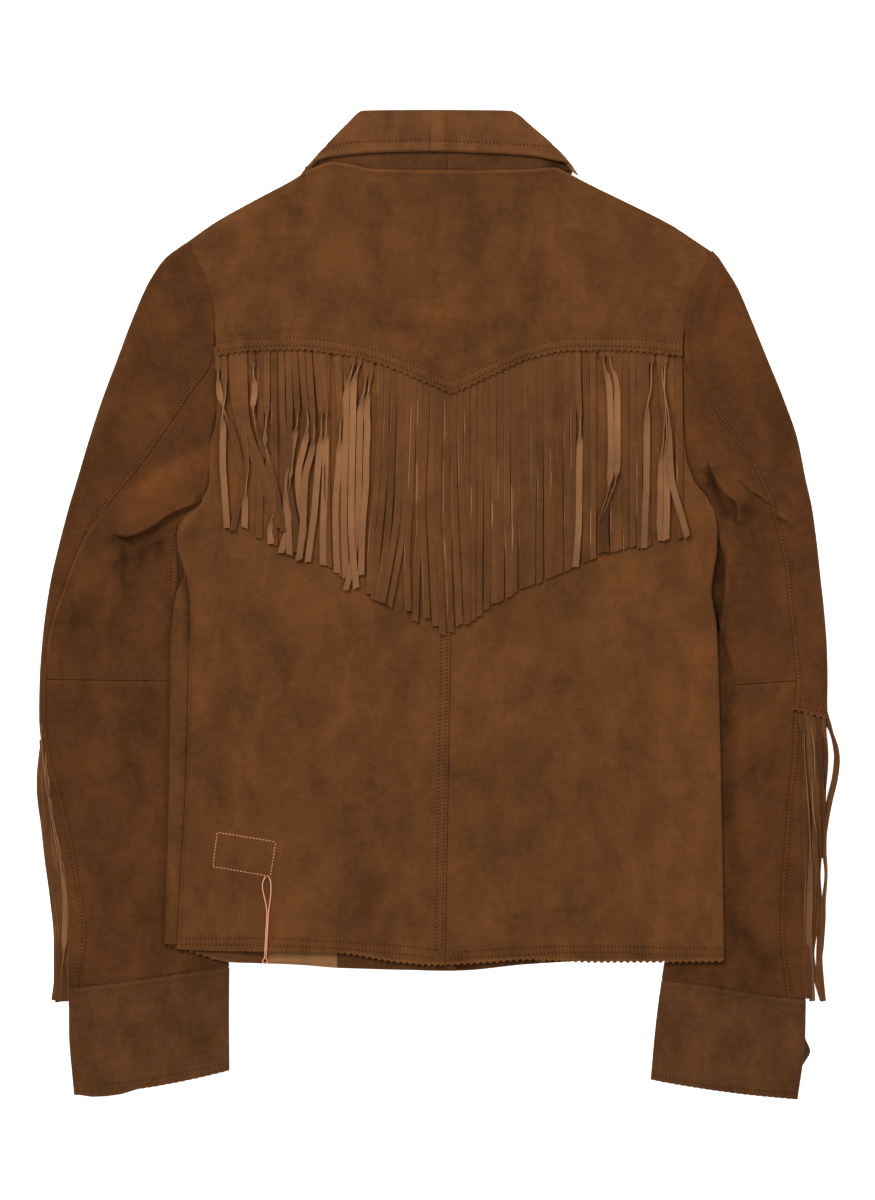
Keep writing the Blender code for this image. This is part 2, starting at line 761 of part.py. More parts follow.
def under_panel(table, first, last, end_inset, start_inset, side):
    """The panel that shows on top, from the long seam to the inner fold."""
    rows = []
    steps = last - first
    for i in range(steps + 1):
        at = first + i
        row = list(table[at])
        if i == 0 and start_inset:
            row = list(blend_rows(table, at + start_inset))
        if i == steps and end_inset:
            row = list(blend_rows(table, at - end_inset))
        e = inset(row, 2.0)
        seam = max(row[4], 2.2 * e + inset(row, SEAM))
        if at >= UNDERARM_ROW:
            end = 1.0 - (inset(row, 5.0 + SEAM) if side < 0 else e)
        else:
            end = 1.0
        points = [across(row, lerp(seam, end, s), "top") for s in (0.0, 0.15, 0.4, 0.7, 0.9, 1.0)]
        if side > 0:
            points += fold(row, True, fold_angles(2)[:1])
        rows.append(points)
    return rows


def cuff_rows(table, side):
    """A cuff: one strip all round whose end lies over its start on the lower side."""
    rows = []
    for at in (0.012, 0.6, 1.3, 2.0):
        row = blend_rows(table, at)
        e = inset(row, 2.0)
        lap = inset(row, CUFF_OVERLAP)
        middle = 0.62 if side < 0 else 0.2
        # The inner end lies one layer up from the surface.
        points = [
            (*across(row, middle, "bottom")[:2], FLOOR + STEP),
            (*across(row, middle + lap, "bottom")[:2], FLOOR + STEP),
            (*across(row, middle + lap + inset(row, 6.0), "bottom")[:2], FLOOR),
        ]
        points += [across(row, lerp(middle + lap + inset(row, 6.0), 1.0 - e, s), "bottom") for s in (0.5, 1.0)]
        points += list(reversed(fold(row, True, fold_angles(3))))
        points += [across(row, lerp(1.0 - e, e, s), "top") for s in (0.0, 0.25, 0.5, 0.75, 1.0)]
        points += fold(row, False, fold_angles(3))
        points += [across(row, lerp(e, middle + lap - inset(row, 2.0), s), "bottom") for s in (0.0, 0.33, 0.67, 1.0)]
        rows.append(points)
    return rows


def sleeve_fringe(table, reach, side):
    """The reach of a sleeve's fringe, over the sleeve's outer fold and down to the surface."""
    outer_reach = column(reach, 1)
    sections = []
    half = 0.5 * LEATHER
    for at in (14.12, 15.0, 16.0, 17.0, 18.0, 19.0, 20.0, 20.0 + 0.35):
        if at <= 20.0:
            row = blend_rows(table, at)
        else:
            row = list(table[20][:5])
            for k in (1, 3):
                row[k] -= 4.0
        width = width_of(row)
        dx, dy = (row[2] - row[0]) / width, (row[3] - row[1]) / width
        seam = max(row[4], inset(row, 5.0))
        gap = half + SEAM + 0.1
        under = []
        sx, sy, sz = across(row, seam, "top")
        under.append((sx, sy, sz + gap))
        ex, ey, ez = across(row, inset(row, 2.0), "top")
        under.append((ex, ey, ez + gap))
        radius = 0.5 * (ez - FLOOR)
        for a in (0.2, 0.42, 0.65):
            angle = math.pi * a
            out = (1.9 + gap) * math.sin(angle)
            under.append(
                (
                    row[0] + dx * (1.9 - out),
                    row[1] + dy * (1.9 - out),
                    FLOOR + radius + (radius + gap) * math.cos(angle),
                )
            )
        ux, uy, uz = under[-1]
        under.append((ux - dx * 0.1, uy - dy * 0.1, 0.0))
        edge_x = outer_reach(row[1])
        if side < 0:
            edge_x = min(edge_x, ux - 2.0)
        else:
            edge_x = max(edge_x, ux + 2.0)
        over = [
            (edge_x, uy, 0.0),
            (edge_x, uy, 1.5),
            (lerp(edge_x, ex, 0.5), uy, 3.9),
            (ex - dx * 1.0, ey - dy * 1.0, ez + gap + 1.0),
            (sx, sy, sz + gap + LEATHER),
        ]
        sections.append(under + over)
    return sections


# ------------------------------------------------------------------ collar
def collar_points(row):
    rx, ry, fx, fy, sx, sy, rz, fz, sz = row
    if sy == "back":
        sy = yoke_top(sx) + 1.4
    elif sy == "front":
        sy = front_neck(sx) + 1.4
    return (rx, ry, rz), (fx, fy, fz), (sx, sy, sz)


def collar_fall_rows():
    """The fall, from its roll line to its free edge, along the whole collar."""
    rows = []
    for row in COLLAR:
        roll, free, _ = collar_points(row)
        length = math.hypot(free[0] - roll[0], free[1] - roll[1])
        out = [roll]
        for s in (1.3 / length, 0.35, 0.7, 1.0):
            crown = 0.35 * math.sin(math.pi * s) if free[2] > 5.0 else 0.0
            out.append((lerp(roll[0], free[0], s), lerp(roll[1], free[1], s), free[2] + crown))
        rows.append(out)
    return rows


def collar_stand_rows():
    """The stand, inside the fall, from near the roll line to the neck seam."""
    rows = []
    for row in COLLAR:
        roll, _, seam = collar_points(row)
        x0, y0 = roll[0], roll[1]
        if 3.0 < row[8] < 5.0:
            # Where the band turns the corner, the stand keeps inside the fall.
            x0 -= math.copysign(8.0, x0)
            y0 -= 5.0
        length = math.hypot(seam[0] - x0, seam[1] - y0)
        rows.append(
            [
                (lerp(x0, seam[0], s), lerp(y0, seam[1], s), seam[2])
                for s in (3.2 / length, 0.35, 0.7, 1.0)
            ]
        )
    return rows


# ------------------------------------------------------------------ thread
def thread_curve(name, colour, collection):
    """The loose thread as a tube on the back panel, over the hem's edge."""
    n = len(THREAD_ROUTE)
    points = []
    for k in range(34):
        u = k / 33.0 * (n - 1)
        i = min(int(u), n - 2)
        f = u - i
        p = [THREAD_ROUTE[min(max(i + d, 0), n - 1)] for d in (-1, 0, 1, 2)]
        xy = []
        for axis in (0, 1):
            a, b, c, d = (q[axis] for q in p)
            xy.append(0.5 * (2 * b + (c - a) * f + (2 * a - 5 * b + 4 * c - d) * f * f + (3 * b - a - 3 * c + d) * f ** 3))
        x, y = xy
        z = back_height(x, y) + 0.5 * LEATHER + 0.5 * THREAD + 0.35
        points.append((x, y, z))
    curve = bpy.data.curves.new(name, "CURVE")
    curve.dimensions = "3D"
    curve.bevel_depth = 0.5 * THREAD * 0.001
    curve.bevel_resolution = 2
    curve.use_fill_caps = True
    spline = curve.splines.new("POLY")
    spline.points.add(len(points) - 1)
    for point, (x, y, z) in zip(spline.points, points):
        point.co = (x * 0.001, y * 0.001, z * 0.001, 1.0)
    curve.materials.append(material(colour))
    obj = bpy.data.objects.new(name, curve)
    collection.objects.link(obj)
    return obj


# ------------------------------------------------------------------ the jacket
def build():
    for obj in list(bpy.data.objects):
        bpy.data.objects.remove(obj, do_unlink=True)
    jacket = bpy.data.collections.new("fringed_suede_jacket")
    bpy.context.scene.collection.children.link(jacket)
    origin = bpy.data.objects.new("jacket_origin", None)
    origin.location = (-CENTRE_X * 0.001, -CENTRE_Y * 0.001, 0.0)
    jacket.objects.link(origin)

    made = [
        sheet("back_yoke", yoke_rows(), "suede_body", jacket),
        sheet("back_panel_left", back_rows(-1), "suede_body", jacket),
    ]
    right = back_rows(1)
    right_ys = [row[5][1] for row in right]
    made.append(
        sheet(
            "back_panel_right", right, "suede_body", jacket,
            skip=lambda i, j: j < 5 and right_ys[i] > UNDERARM["right"] - 4.0,
        )
    )
    left = front_rows(-1)
    left_ys = [row[4][1] for row in left]
    made.append(
        sheet(
            "front_left", left, "suede_body", jacket,
            skip=lambda i, j: j < 4 and left_ys[i] > UNDERARM["left"] - 4.0,
        )
    )
    made.append(sheet("front_right", front_rows(1), "suede_body", jacket))
    made.append(sheet("front_facing_left", facing_rows(-1), "suede_facing", jacket))
    made.append(sheet("front_facing_right", facing_rows(1), "suede_facing", jacket))
    made.append(sheet("back_fringe", back_fringe_rows(), "suede_fringe", jacket))

    for side, word, table, cuff, reach in (
        (-1, "left", SLEEVE_LEFT, CUFF_LEFT, FRINGE_REACH_LEFT),
        (1, "right", SLEEVE_RIGHT, CUFF_RIGHT, FRINGE_REACH_RIGHT),
    ):
        def open_underarm(i, j):
            return side < 0 and i < UNDERARM_ROW and j >= 11

        made.append(
            sheet(
                f"sleeve_top_upper_{word}",
                top_panel(table, 0, TOP_ELBOW_ROW, 0.012, 0.0, side),
                "suede_body", jacket, skip=open_underarm,
            )
        )
        made.append(
            sheet(
                f"sleeve_under_upper_{word}",
                under_panel(table, 4, ELBOW_ROW, 0.0, 0.0, side),
                "suede_body", jacket,
            )
        )
        made.append(
            sheet(
                f"sleeve_top_lower_{word}",
                top_panel(table, TOP_ELBOW_ROW, 20, 0.012, 0.0, side),
                "suede_body", jacket,
            )
        )
        made.append(
            sheet(
                f"sleeve_under_lower_{word}",
                under_panel(table, ELBOW_ROW, 20, 0.012, 0.014, side),
                "suede_body", jacket,
            )
        )
        made.append(sheet(f"cuff_{word}", cuff_rows(cuff, side), "suede_body", jacket))
        made.append(
            block(f"sleeve_fringe_{word}", sleeve_fringe(table, reach, side), "suede_fringe", jacket)
        )

    made.append(sheet("collar_fall", collar_fall_rows(), "suede_body", jacket))
    made.append(sheet("collar_stand", collar_stand_rows(), "suede_body", jacket))
    made.append(thread_curve("loose_thread", "thread_salmon", jacket))
    for obj in made:
        obj.parent = origin


build()
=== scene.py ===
"""Looks of the fringed suede jacket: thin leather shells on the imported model's forms.

Layout units: the view shows 700 x 960 mm of the surface. Tables marked "layout" count
0.8 mm steps right and down from its top left corner, and at() turns them into the
millimetres that the model's own tables use. SHIFT then puts the box's middle on the
origin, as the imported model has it.
"""

import math

import bpy
import numpy as np
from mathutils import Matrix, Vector
from mathutils.bvhtree import BVHTree


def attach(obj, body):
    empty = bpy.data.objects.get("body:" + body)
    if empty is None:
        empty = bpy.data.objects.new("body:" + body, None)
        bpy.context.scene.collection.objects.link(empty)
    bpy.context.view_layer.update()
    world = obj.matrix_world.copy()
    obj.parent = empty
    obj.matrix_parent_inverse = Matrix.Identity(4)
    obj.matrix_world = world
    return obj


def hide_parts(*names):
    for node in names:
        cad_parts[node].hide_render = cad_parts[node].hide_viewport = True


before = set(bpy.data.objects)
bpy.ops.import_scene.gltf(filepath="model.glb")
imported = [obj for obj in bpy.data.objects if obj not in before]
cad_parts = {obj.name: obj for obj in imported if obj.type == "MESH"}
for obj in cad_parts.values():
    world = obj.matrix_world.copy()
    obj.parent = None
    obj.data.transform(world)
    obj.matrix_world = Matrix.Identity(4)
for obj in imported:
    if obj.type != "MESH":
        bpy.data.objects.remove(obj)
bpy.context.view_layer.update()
SHIFT = np.array([4.0, -0.6, 0.0])
RNG = np.random.default_rng(7)

# ------------------------------------------------------------------ sizes shared with the model (mm)
LEATHER, SEAM = 1.1, 0.3
STEP = LEATHER + SEAM
FLOOR = LEATHER / 2
SLEEVE_TOP, SLEEVE_PRESSED = 4.8, 3.6
FRONT_OVER_SLEEVE, BACK_BASE, BACK_OVER_SLEEVE = 5.3, 4.7, 7.1
PLACKET_RISE, NECK_RISE = 2.1, 1.4
FRINGE_UNDER_YOKE, BACK_UNDER_YOKE = 9.0, 12.0
LEFT_FRONT_EDGE, RIGHT_FRONT_EDGE = 14.5, -1.5
SIDE_WRAP, LAYING_SLACK = 13.0, 0.35
CUFF_OVERLAP, THREAD = 22.0, 0.9
TOOTH_PITCH, TOOTH_DEPTH = 5.1, 1.9

BODY = [
    # y, left, seam, right
    (289.0, -201.0, -201.0, 218.5), (282.0, -197.0, -197.0, 218.0), (263.5, -186.5, -186.5, 209.0),
    (238.0, -180.0, -180.0, 199.5), (206.0, -177.5, -177.5, 195.5), (152.5, -177.0, -177.0, 196.0),
    (122.0, -183.0, -183.0, 198.0), (99.0, -183.0, -183.0, 205.0), (84.0, -189.5, -189.5, 217.0),
    (71.5, -201.0, -200.0, 221.0), (60.5, -207.3, -206.5, 222.5), (52.0, -207.8, -207.2, 222.3),
    (42.0, -207.0, -206.4, 222.0), (33.5, -203.2, -202.6, 220.6), (25.0, -201.6, -200.8, 219.3),
    (18.8, -204.4, -199.9, 218.5), (10.0, -208.2, -198.5, 217.9), (-2.0, -210.2, -197.6, 219.6),
    (-14.0, -211.6, -197.6, 221.6), (-27.5, -212.6, -198.4, 222.5), (-139.5, -214.0, -201.5, 225.5),
    (-223.5, -216.0, -206.0, 227.0), (-290.0, -218.5, -209.5, 228.0),
]
UNDERARM_LEFT, UNDERARM_RIGHT = 84.0, 85.0
BACK_HEM = [
    # x, y
    (-225.0, -273.5), (-168.0, -276.0), (-81.5, -277.5), (-31.0, -285.0), (-3.0, -287.0),
    (40.0, -285.0), (70.5, -283.0), (130.5, -285.0), (235.0, -284.0),
]
FRONT_HEM = [
    # x, y
    (-225.0, -269.0), (-197.5, -276.5), (-165.5, -285.0), (-110.5, -287.5), (-77.5, -290.0),
    (15.0, -292.0), (70.5, -287.0), (161.5, -282.0), (235.0, -279.5),
]
YOKE_LOW = [
    # x, y
    (-177.0, 199.5), (-145.0, 203.5), (-113.5, 204.0), (-73.5, 199.5), (-45.5, 192.5), (-25.0, 184.5),
    (11.0, 168.5), (42.5, 183.5), (75.0, 197.5), (108.0, 203.5), (141.0, 203.5), (196.0, 199.0),
]
YOKE_TOP = [
    # x, y
    (-201.0, 290.0), (-178.5, 306.0), (-146.5, 324.0), (-114.5, 341.0), (-101.0, 349.0), (-84.0, 354.5),
    (-67.0, 352.0), (-54.5, 349.0), (7.0, 347.5), (69.0, 348.5), (93.0, 350.0), (104.0, 345.0),
    (115.0, 339.5), (147.0, 324.0), (186.5, 304.0), (205.5, 291.5), (218.5, 283.0),
]
FRONT_NECK = [
    # x, y
    (-108.0, 341.0), (-88.0, 306.0), (-50.0, 283.0), (6.5, 275.0), (60.0, 283.0), (92.0, 306.0), (109.0, 341.0),
]
SLEEVE_LEFT = [
    # outer x, outer y, inner x, inner y, seam
    (-204.5, 287.0, -200.5, 285.0, 1.00), (-216.0, 279.0, -193.5, 275.0, 1.00), (-229.5, 260.5, -186.0, 260.5, 1.00),
    (-244.0, 228.5, -179.4, 230.0, 1.00), (-256.0, 196.5, -177.9, 199.0, 0.97), (-268.0, 164.5, -177.6, 164.5, 0.735),
    (-278.5, 132.5, -182.3, 132.5, 0.575), (-288.0, 100.5, -184.6, 99.0, 0.392), (-294.5, 79.0, -190.4, 84.6, 0.298),
    (-302.5, 48.5, -209.6, 60.5, 0.195), (-309.0, 20.5, -210.0, 35.0, 0.125), (-313.5, -7.5, -210.0, 4.5, 0.070),
    (-316.5, -35.5, -205.5, -27.5, 0.030), (-318.0, -59.5, -200.0, -61.0, 0.012), (-318.5, -87.5, -196.0, -87.5, 0.012),
    (-315.0, -123.5, -191.0, -123.5, 0.044), (-309.0, -155.5, -186.5, -155.5, 0.070), (-302.5, -187.5, -182.0, -187.5, 0.078),
    (-297.5, -219.5, -177.5, -219.5, 0.083), (-294.5, -259.5, -172.0, -255.5, 0.106), (-294.8, -306.0, -167.3, -289.0, 0.050),
]
SLEEVE_RIGHT = [
    # outer x, outer y, inner x, inner y, seam
    (222.5, 280.5, 218.6, 279.5, 1.00), (229.5, 269.5, 212.4, 268.5, 1.00), (238.5, 255.0, 206.3, 256.5, 1.00),
    (250.0, 228.5, 198.9, 231.0, 1.00), (263.0, 196.5, 196.3, 199.0, 0.99), (276.0, 164.5, 196.6, 164.5, 0.750),
    (287.0, 132.5, 198.9, 132.5, 0.560), (293.5, 100.5, 206.3, 102.0, 0.410), (298.5, 78.0, 217.9, 84.5, 0.395),
    (302.5, 48.5, 223.4, 60.5, 0.345), (305.5, 20.5, 231.6, 32.5, 0.295), (308.5, -7.5, 230.2, 4.5, 0.287),
    (310.5, -35.5, 225.0, -27.5, 0.278), (311.0, -58.8, 218.0, -65.4, 0.259), (310.5, -87.5, 210.5, -87.5, 0.252),
    (309.0, -123.5, 205.0, -123.5, 0.243), (305.5, -155.5, 200.0, -155.5, 0.238), (303.0, -187.5, 195.0, -187.5, 0.231),
    (300.0, -219.5, 191.0, -219.5, 0.226), (296.0, -267.5, 185.0, -263.5, 0.194), (293.6, -315.5, 179.2, -299.0, 0.118),
]
UNDERARM_ROW, ELBOW_ROW, TOP_ELBOW_ROW = 9, 13, 14
CUFF_LEFT = [
    # outer x, outer y, inner x, inner y
    (-294.8, -306.0, -167.3, -289.0), (-294.5, -342.0, -167.5, -325.0), (-290.5, -391.0, -167.2, -371.5),
]
CUFF_RIGHT = [
    # outer x, outer y, inner x, inner y
    (293.6, -315.5, 179.2, -299.0), (293.0, -347.5, 174.5, -335.5), (287.0, -394.5, 170.5, -379.0),
]
COLLAR = [
    # roll x, roll y, free x, free y, seam x, seam y, roll z, fall z, stand z
    (-20.0, 292.0, -56.0, 241.0, -20.0, "front", 1.15, 0.55, 1.95),
    (-40.0, 298.0, -76.0, 264.0, -42.0, "front", 1.15, 0.55, 1.95),
    (-57.0, 312.0, -90.0, 290.0, -66.0, "front", 1.15, 0.55, 1.95),
    (-67.0, 338.0, -97.0, 320.0, -88.0, "front", 1.15, 0.55, 1.95),
    (-69.5, 374.0, -97.5, 351.0, -99.0, 331.5, 1.15, 0.55, 1.95),
    (-71.0, 388.5, -110.0, 343.0, -106.0, 349.6, 6.20, 7.40, 3.60),
    (-69.3, 390.6, -98.5, 354.6, -100.5, "back", 6.70, 7.50, 5.10),
    (-67.0, 392.3, -89.0, 357.5, -92.0, "back", 7.20, 8.30, 5.90),
    (-61.0, 394.8, -72.0, 360.0, -72.0, "back", 7.40, 8.50, 6.00),
    (-38.0, 395.2, -44.0, 362.0, -44.0, "back", 7.40, 8.50, 6.00),
    (-3.0, 395.4, -4.0, 362.8, 0.0, "back", 7.40, 8.60, 6.00),
    (30.0, 395.2, 33.0, 361.5, 36.0, "back", 7.40, 8.50, 6.00),
    (57.0, 394.8, 72.0, 359.2, 72.0, "back", 7.40, 8.50, 6.00),
    (67.0, 391.3, 94.0, 355.3, 93.0, "back", 7.20, 8.30, 5.90),
    (71.8, 388.0, 103.4, 353.6, 101.8, "back", 6.70, 7.50, 5.10),
    (75.0, 384.5, 111.6, 343.6, 108.0, 349.0, 6.20, 7.40, 3.60),
    (73.5, 370.0, 103.5, 350.0, 101.0, 330.5, 1.15, 0.55, 1.95),
    (71.0, 338.0, 102.0, 320.0, 91.0, "front", 1.15, 0.55, 1.95),
    (63.0, 312.0, 95.0, 290.0, 73.0, "front", 1.15, 0.55, 1.95),
    (46.0, 298.0, 82.0, 264.0, 48.0, "front", 1.15, 0.55, 1.95),
    (22.0, 292.0, 60.0, 241.0, 22.0, "front", 1.15, 0.55, 1.95),
]
THREAD_ROUTE = [
    # y, middle x, half the gap between the two strands; the last rows are the rounded bend
    (-216.6, -136.4, 1.2), (-219.8, -136.7, 2.8), (-224.4, -136.8, 3.4), (-229.5, -136.5, 3.0), (-235.0, -136.1, 2.1),
    (-240.0, -136.0, 1.25), (-245.0, -136.0, 0.68), (-253.0, -136.4, 0.56), (-262.0, -136.9, 0.55), (-271.0, -137.4, 0.55),
    (-278.0, -137.8, 0.55), (-281.3, -138.1, 0.55), (-282.2, -138.2, 0.74), (-282.95, -138.3, 1.27), (-283.7, -138.3, 1.79),
    (-284.7, -138.3, 1.87), (-285.55, -138.3, 1.46), (-286.05, -138.3, 0.80), (-286.24, -138.3, 0.0),
]


def at(*points):
    """Layout points as the model's millimetres."""
    return np.array([((x - 438.0) * 0.8, (605.5 - y) * 0.8) for x, y in points])


# ------------------------------------------------------------------ the drape
# Creases are soft ridges (height above 0) and troughs (below 0) along a line, with their
# own width on the left and on the right of the line's direction, and they fade at both ends.
CREASES = [
    # where, height, width left, width right, fade, line (layout)
    # left sleeve: cap and upper arm
    ("left", 0.7, 9, 9, 20, [(176, 262), (158, 300), (146, 345), (128, 390)]),
    ("left", -0.5, 8, 10, 22, [(160, 272), (140, 318), (118, 372)]),
    ("left", 0.5, 8, 8, 18, [(196, 290), (186, 322), (172, 352)]),
    ("left", -0.45, 7, 9, 15, [(203, 318), (190, 342), (165, 370)]),
    ("left", 0.6, 10, 8, 18, [(118, 388), (104, 432), (94, 470)]),
    ("left", -0.5, 9, 9, 18, [(98, 448), (84, 492), (76, 528)]),
    # left sleeve: around the lobe at the underarm
    ("left", 1.7, 15, 13, 14, [(208, 470), (184, 478), (156, 490), (132, 508)]),
    ("left", -0.5, 7, 6, 12, [(205, 440), (190, 452), (170, 462)]),
    ("left", 0.6, 6, 7, 10, [(212, 425), (199, 438), (188, 448)]),
    ("left", -1.5, 9, 10, 14, [(176, 545), (152, 560), (150, 585)]),
    ("left", -0.9, 5, 7, 8, [(109, 534), (113, 546), (111, 560)]),
    ("left", 1.1, 8, 6, 14, [(98, 520), (88, 545), (82, 580), (78, 612)]),
    ("left", 0.8, 6, 8, 10, [(112, 548), (119, 562), (126, 580)]),
    ("left", -0.8, 5, 5, 9, [(117, 556), (110, 574), (101, 600)]),
    ("left", 0.6, 7, 7, 14, [(128, 580), (120, 612), (117, 650)]),
    ("left", -0.6, 6, 7, 12, [(100, 600), (92, 622), (78, 640)]),
    ("left", 0.6, 7, 7, 12, [(80, 588), (72, 620), (70, 655)]),
    ("left", -0.5, 8, 8, 14, [(145, 600), (148, 630), (141, 665)]),
    ("left", 0.7, 5, 6, 12, [(166, 556), (164, 600), (162, 655)]),
    ("left", -0.6, 4, 5, 10, [(60, 616), (56, 634), (54, 655)]),
    # left sleeve: below the elbow
    ("left", -0.6, 6, 8, 8, [(64, 689), (66, 702)]),
    ("left", -0.5, 4, 4, 6, [(88, 684), (90, 700)]),
    ("left", 0.5, 7, 7, 10, [(75, 690), (79, 722), (74, 752)]),
    ("left", 0.6, 9, 8, 16, [(118, 700), (104, 740), (98, 790)]),
    ("left", -0.6, 8, 8, 14, [(136, 712), (130, 760), (118, 800)]),
    ("left", -0.6, 6, 6, 12, [(72, 756), (84, 775), (97, 786)]),
    ("left", 0.5, 8, 8, 12, [(90, 800), (101, 840), (98, 880)]),
    ("left", -0.9, 6, 7, 14, [(112, 850), (116, 900), (111, 940)]),
    ("left", 0.5, 8, 8, 16, [(140, 830), (146, 880), (142, 930)]),
    ("left", -0.5, 9, 9, 14, [(100, 950), (130, 962), (160, 962)]),
    # right sleeve: cap and upper arm
    ("right", 0.6, 9, 9, 18, [(716, 268), (735, 310), (744, 352)]),
    ("right", -0.5, 8, 8, 18, [(730, 282), (756, 330), (768, 372)]),
    ("right", 0.5, 8, 8, 16, [(700, 300), (712, 335), (730, 365)]),
    ("right", 0.7, 7, 7, 16, [(738, 412), (760, 432), (790, 458)]),
    ("right", -0.6, 6, 6, 14, [(756, 410), (778, 432), (796, 452)]),
    ("right", 0.8, 6, 5, 12, [(766, 472), (784, 490), (806, 512)]),
    ("right", -0.8, 5, 5, 12, [(772, 494), (790, 512), (806, 536)]),
    ("right", 0.9, 5, 4, 9, [(774, 509), (786, 522), (797, 531)]),
    ("right", -0.7, 4, 4, 8, [(776, 516), (788, 530), (795, 536)]),
    # right sleeve: wrinkles that run out of the underarm
    ("right", 1.3, 9, 8, 12, [(697, 452), (716, 462), (738, 482), (760, 506)]),
    ("right", -0.9, 5, 6, 10, [(722, 466), (740, 474), (757, 490)]),
    ("right", 1.2, 6, 6, 10, [(730, 486), (748, 500), (766, 512)]),
    ("right", -1.0, 6, 6, 9, [(738, 508), (752, 520), (770, 536)]),
    ("right", 0.8, 6, 6, 9, [(746, 522), (758, 530), (774, 552)]),
    ("right", -1.2, 8, 8, 10, [(722, 505), (730, 515), (738, 528)]),
    ("right", 1.1, 4, 4, 5, [(699, 464), (704, 474), (705.5, 488)]),
    ("right", -0.9, 6, 7, 12, [(744, 556), (738, 588), (742, 612)]),
    ("right", 0.9, 7, 7, 12, [(752, 556), (752, 596), (760, 630)]),
    ("right", -0.6, 6, 6, 12, [(768, 560), (772, 600), (770, 640)]),
    ("right", -0.6, 5, 6, 10, [(734, 612), (746, 640), (756, 666)]),
    ("right", 0.6, 7, 7, 12, [(780, 580), (782, 630), (776, 670)]),
    ("right", 0.5, 7, 7, 12, [(808, 560), (813, 610), (814, 660)]),
    # right sleeve: below the elbow
    ("right", -0.9, 5, 6, 8, [(731, 690), (737, 700), (748, 704)]),
    ("right", 0.7, 7, 6, 10, [(744, 700), (742, 730), (752, 764)]),
    ("right", -0.8, 5, 5, 12, [(757, 758), (751, 782), (754, 812)]),
    ("right", 0.7, 6, 6, 12, [(763, 760), (761, 790), (768, 822)]),
    ("right", -0.6, 7, 7, 12, [(780, 720), (776, 770), (774, 820)]),
    ("right", -1.0, 8, 9, 16, [(728, 900), (744, 930), (778, 984)]),
    ("right", 0.7, 9, 8, 16, [(742, 900), (760, 936), (778, 958)]),
    ("right", 0.5, 8, 8, 14, [(736, 820), (738, 860), (732, 900)]),
    ("right", -0.5, 8, 8, 14, [(765, 840), (768, 870), (762, 905)]),
    # body
    ("body", 0.5, 16, 16, 40, [(340, 250), (400, 262), (455, 300)]),
    ("body", -0.45, 14, 14, 40, [(250, 240), (300, 270), (330, 320)]),
    ("body", -0.5, 14, 16, 40, [(468, 180), (462, 240), (474, 330)]),
    ("body", 0.5, 16, 14, 40, [(540, 230), (560, 280), (548, 330)]),
    ("body", -0.4, 14, 14, 30, [(640, 250), (655, 290), (640, 330)]),
    ("body", 0.22, 2.5, 2.5, 20, [(262, 281), (300, 280), (345, 277)]),
    ("body", -0.5, 15, 15, 40, [(262, 620), (300, 690), (292, 770)]),
    ("body", 0.5, 18, 16, 40, [(330, 640), (352, 730), (348, 810)]),
    ("body", 0.6, 13, 11, 30, [(438, 800), (410, 860), (392, 945)]),
    ("body", -0.6, 10, 12, 30, [(400, 820), (376, 880), (360, 945)]),
    ("body", -0.5, 16, 18, 40, [(520, 660), (540, 740), (528, 820)]),
    ("body", 0.5, 18, 16, 40, [(600, 650), (618, 740), (604, 840)]),
    ("body", -0.5, 12, 14, 30, [(680, 600), (690, 700), (686, 800)]),
    ("body", 0.5, 12, 12, 26, [(640, 850), (652, 900), (640, 945)]),
    ("body", -0.4, 10, 10, 24, [(590, 860), (600, 905), (612, 944)]),
    ("body", 0.5, 10, 10, 20, [(208, 600), (214, 680), (206, 760)]),
    ("body", -0.5, 8, 8, 20, [(212, 860), (208, 900), (214, 935)]),
    ("body", 0.4, 7, 7, 16, [(228, 890), (226, 915), (230, 940)]),
    ("body", 0.9, 8, 9, 12, [(196, 512), (190, 535), (196, 560)]),
    ("body", -0.8, 7, 9, 12, [(208, 500), (204, 530), (206, 556)]),
    ("body", -1.0, 6, 7, 12, [(196, 528), (188, 546), (192, 566)]),
    ("collar", 0.6, 1.6, 5.0, 8, [(430, 112), (430.5, 130), (431, 150)]),
    ("collar", 0.35, 4.0, 1.6, 8, [(445, 112), (445, 130), (445, 150)]),
    ("body", -0.7, 7, 6, 12, [(690, 470), (700, 482), (706, 494)]),
    ("body", 0.6, 8, 8, 14, [(678, 455), (684, 480), (696, 500)]),
    # cuffs
    ("left", 0.5, 8, 8, 14, [(90, 1010), (120, 1016), (160, 1010)]),
    ("left", -0.4, 9, 9, 14, [(130, 1030), (150, 1048), (190, 1050)]),
    ("right", 0.5, 9, 9, 14, [(690, 1010), (706, 1030), (700, 1056)]),
    ("right", -0.4, 9, 9, 14, [(720, 1020), (740, 1040), (772, 1046)]),
]
# Lips are folds whose high side, on the left of the line, hangs over its low side.
LIPS = [
    # where, height, overhang, width of high side, trough, fade, line (layout)
    ("left", 4.2, 2.0, 18, 0.9, 12, [(110, 531), (118, 533), (126, 534.2), (132, 533), (142, 528.6), (152, 523.6), (167, 513), (176, 508.6), (185, 504.6), (194, 501.5), (203, 497), (209, 492)]),
    ("right", 3.6, 1.8, 10, 0.8, 6, [(708.5, 461), (712, 465), (715.5, 474), (720.5, 484.5), (728.5, 494), (735.5, 499.5), (739.5, 506), (740, 515), (738.5, 526)]),
    ("right", 1.9, 1.0, 8, 1.0, 10, [(731, 475), (743, 482), (752, 490.5), (763, 497), (775, 509)]),
    ("right", 1.4, 0.8, 6, 0.6, 7, [(775, 510), (781, 517), (789, 521), (798, 529)]),
    ("right", 1.8, 1.4, 10, 1.0, 18, [(718, 604), (722, 624), (728, 645), (734, 668), (739, 690)]),
]
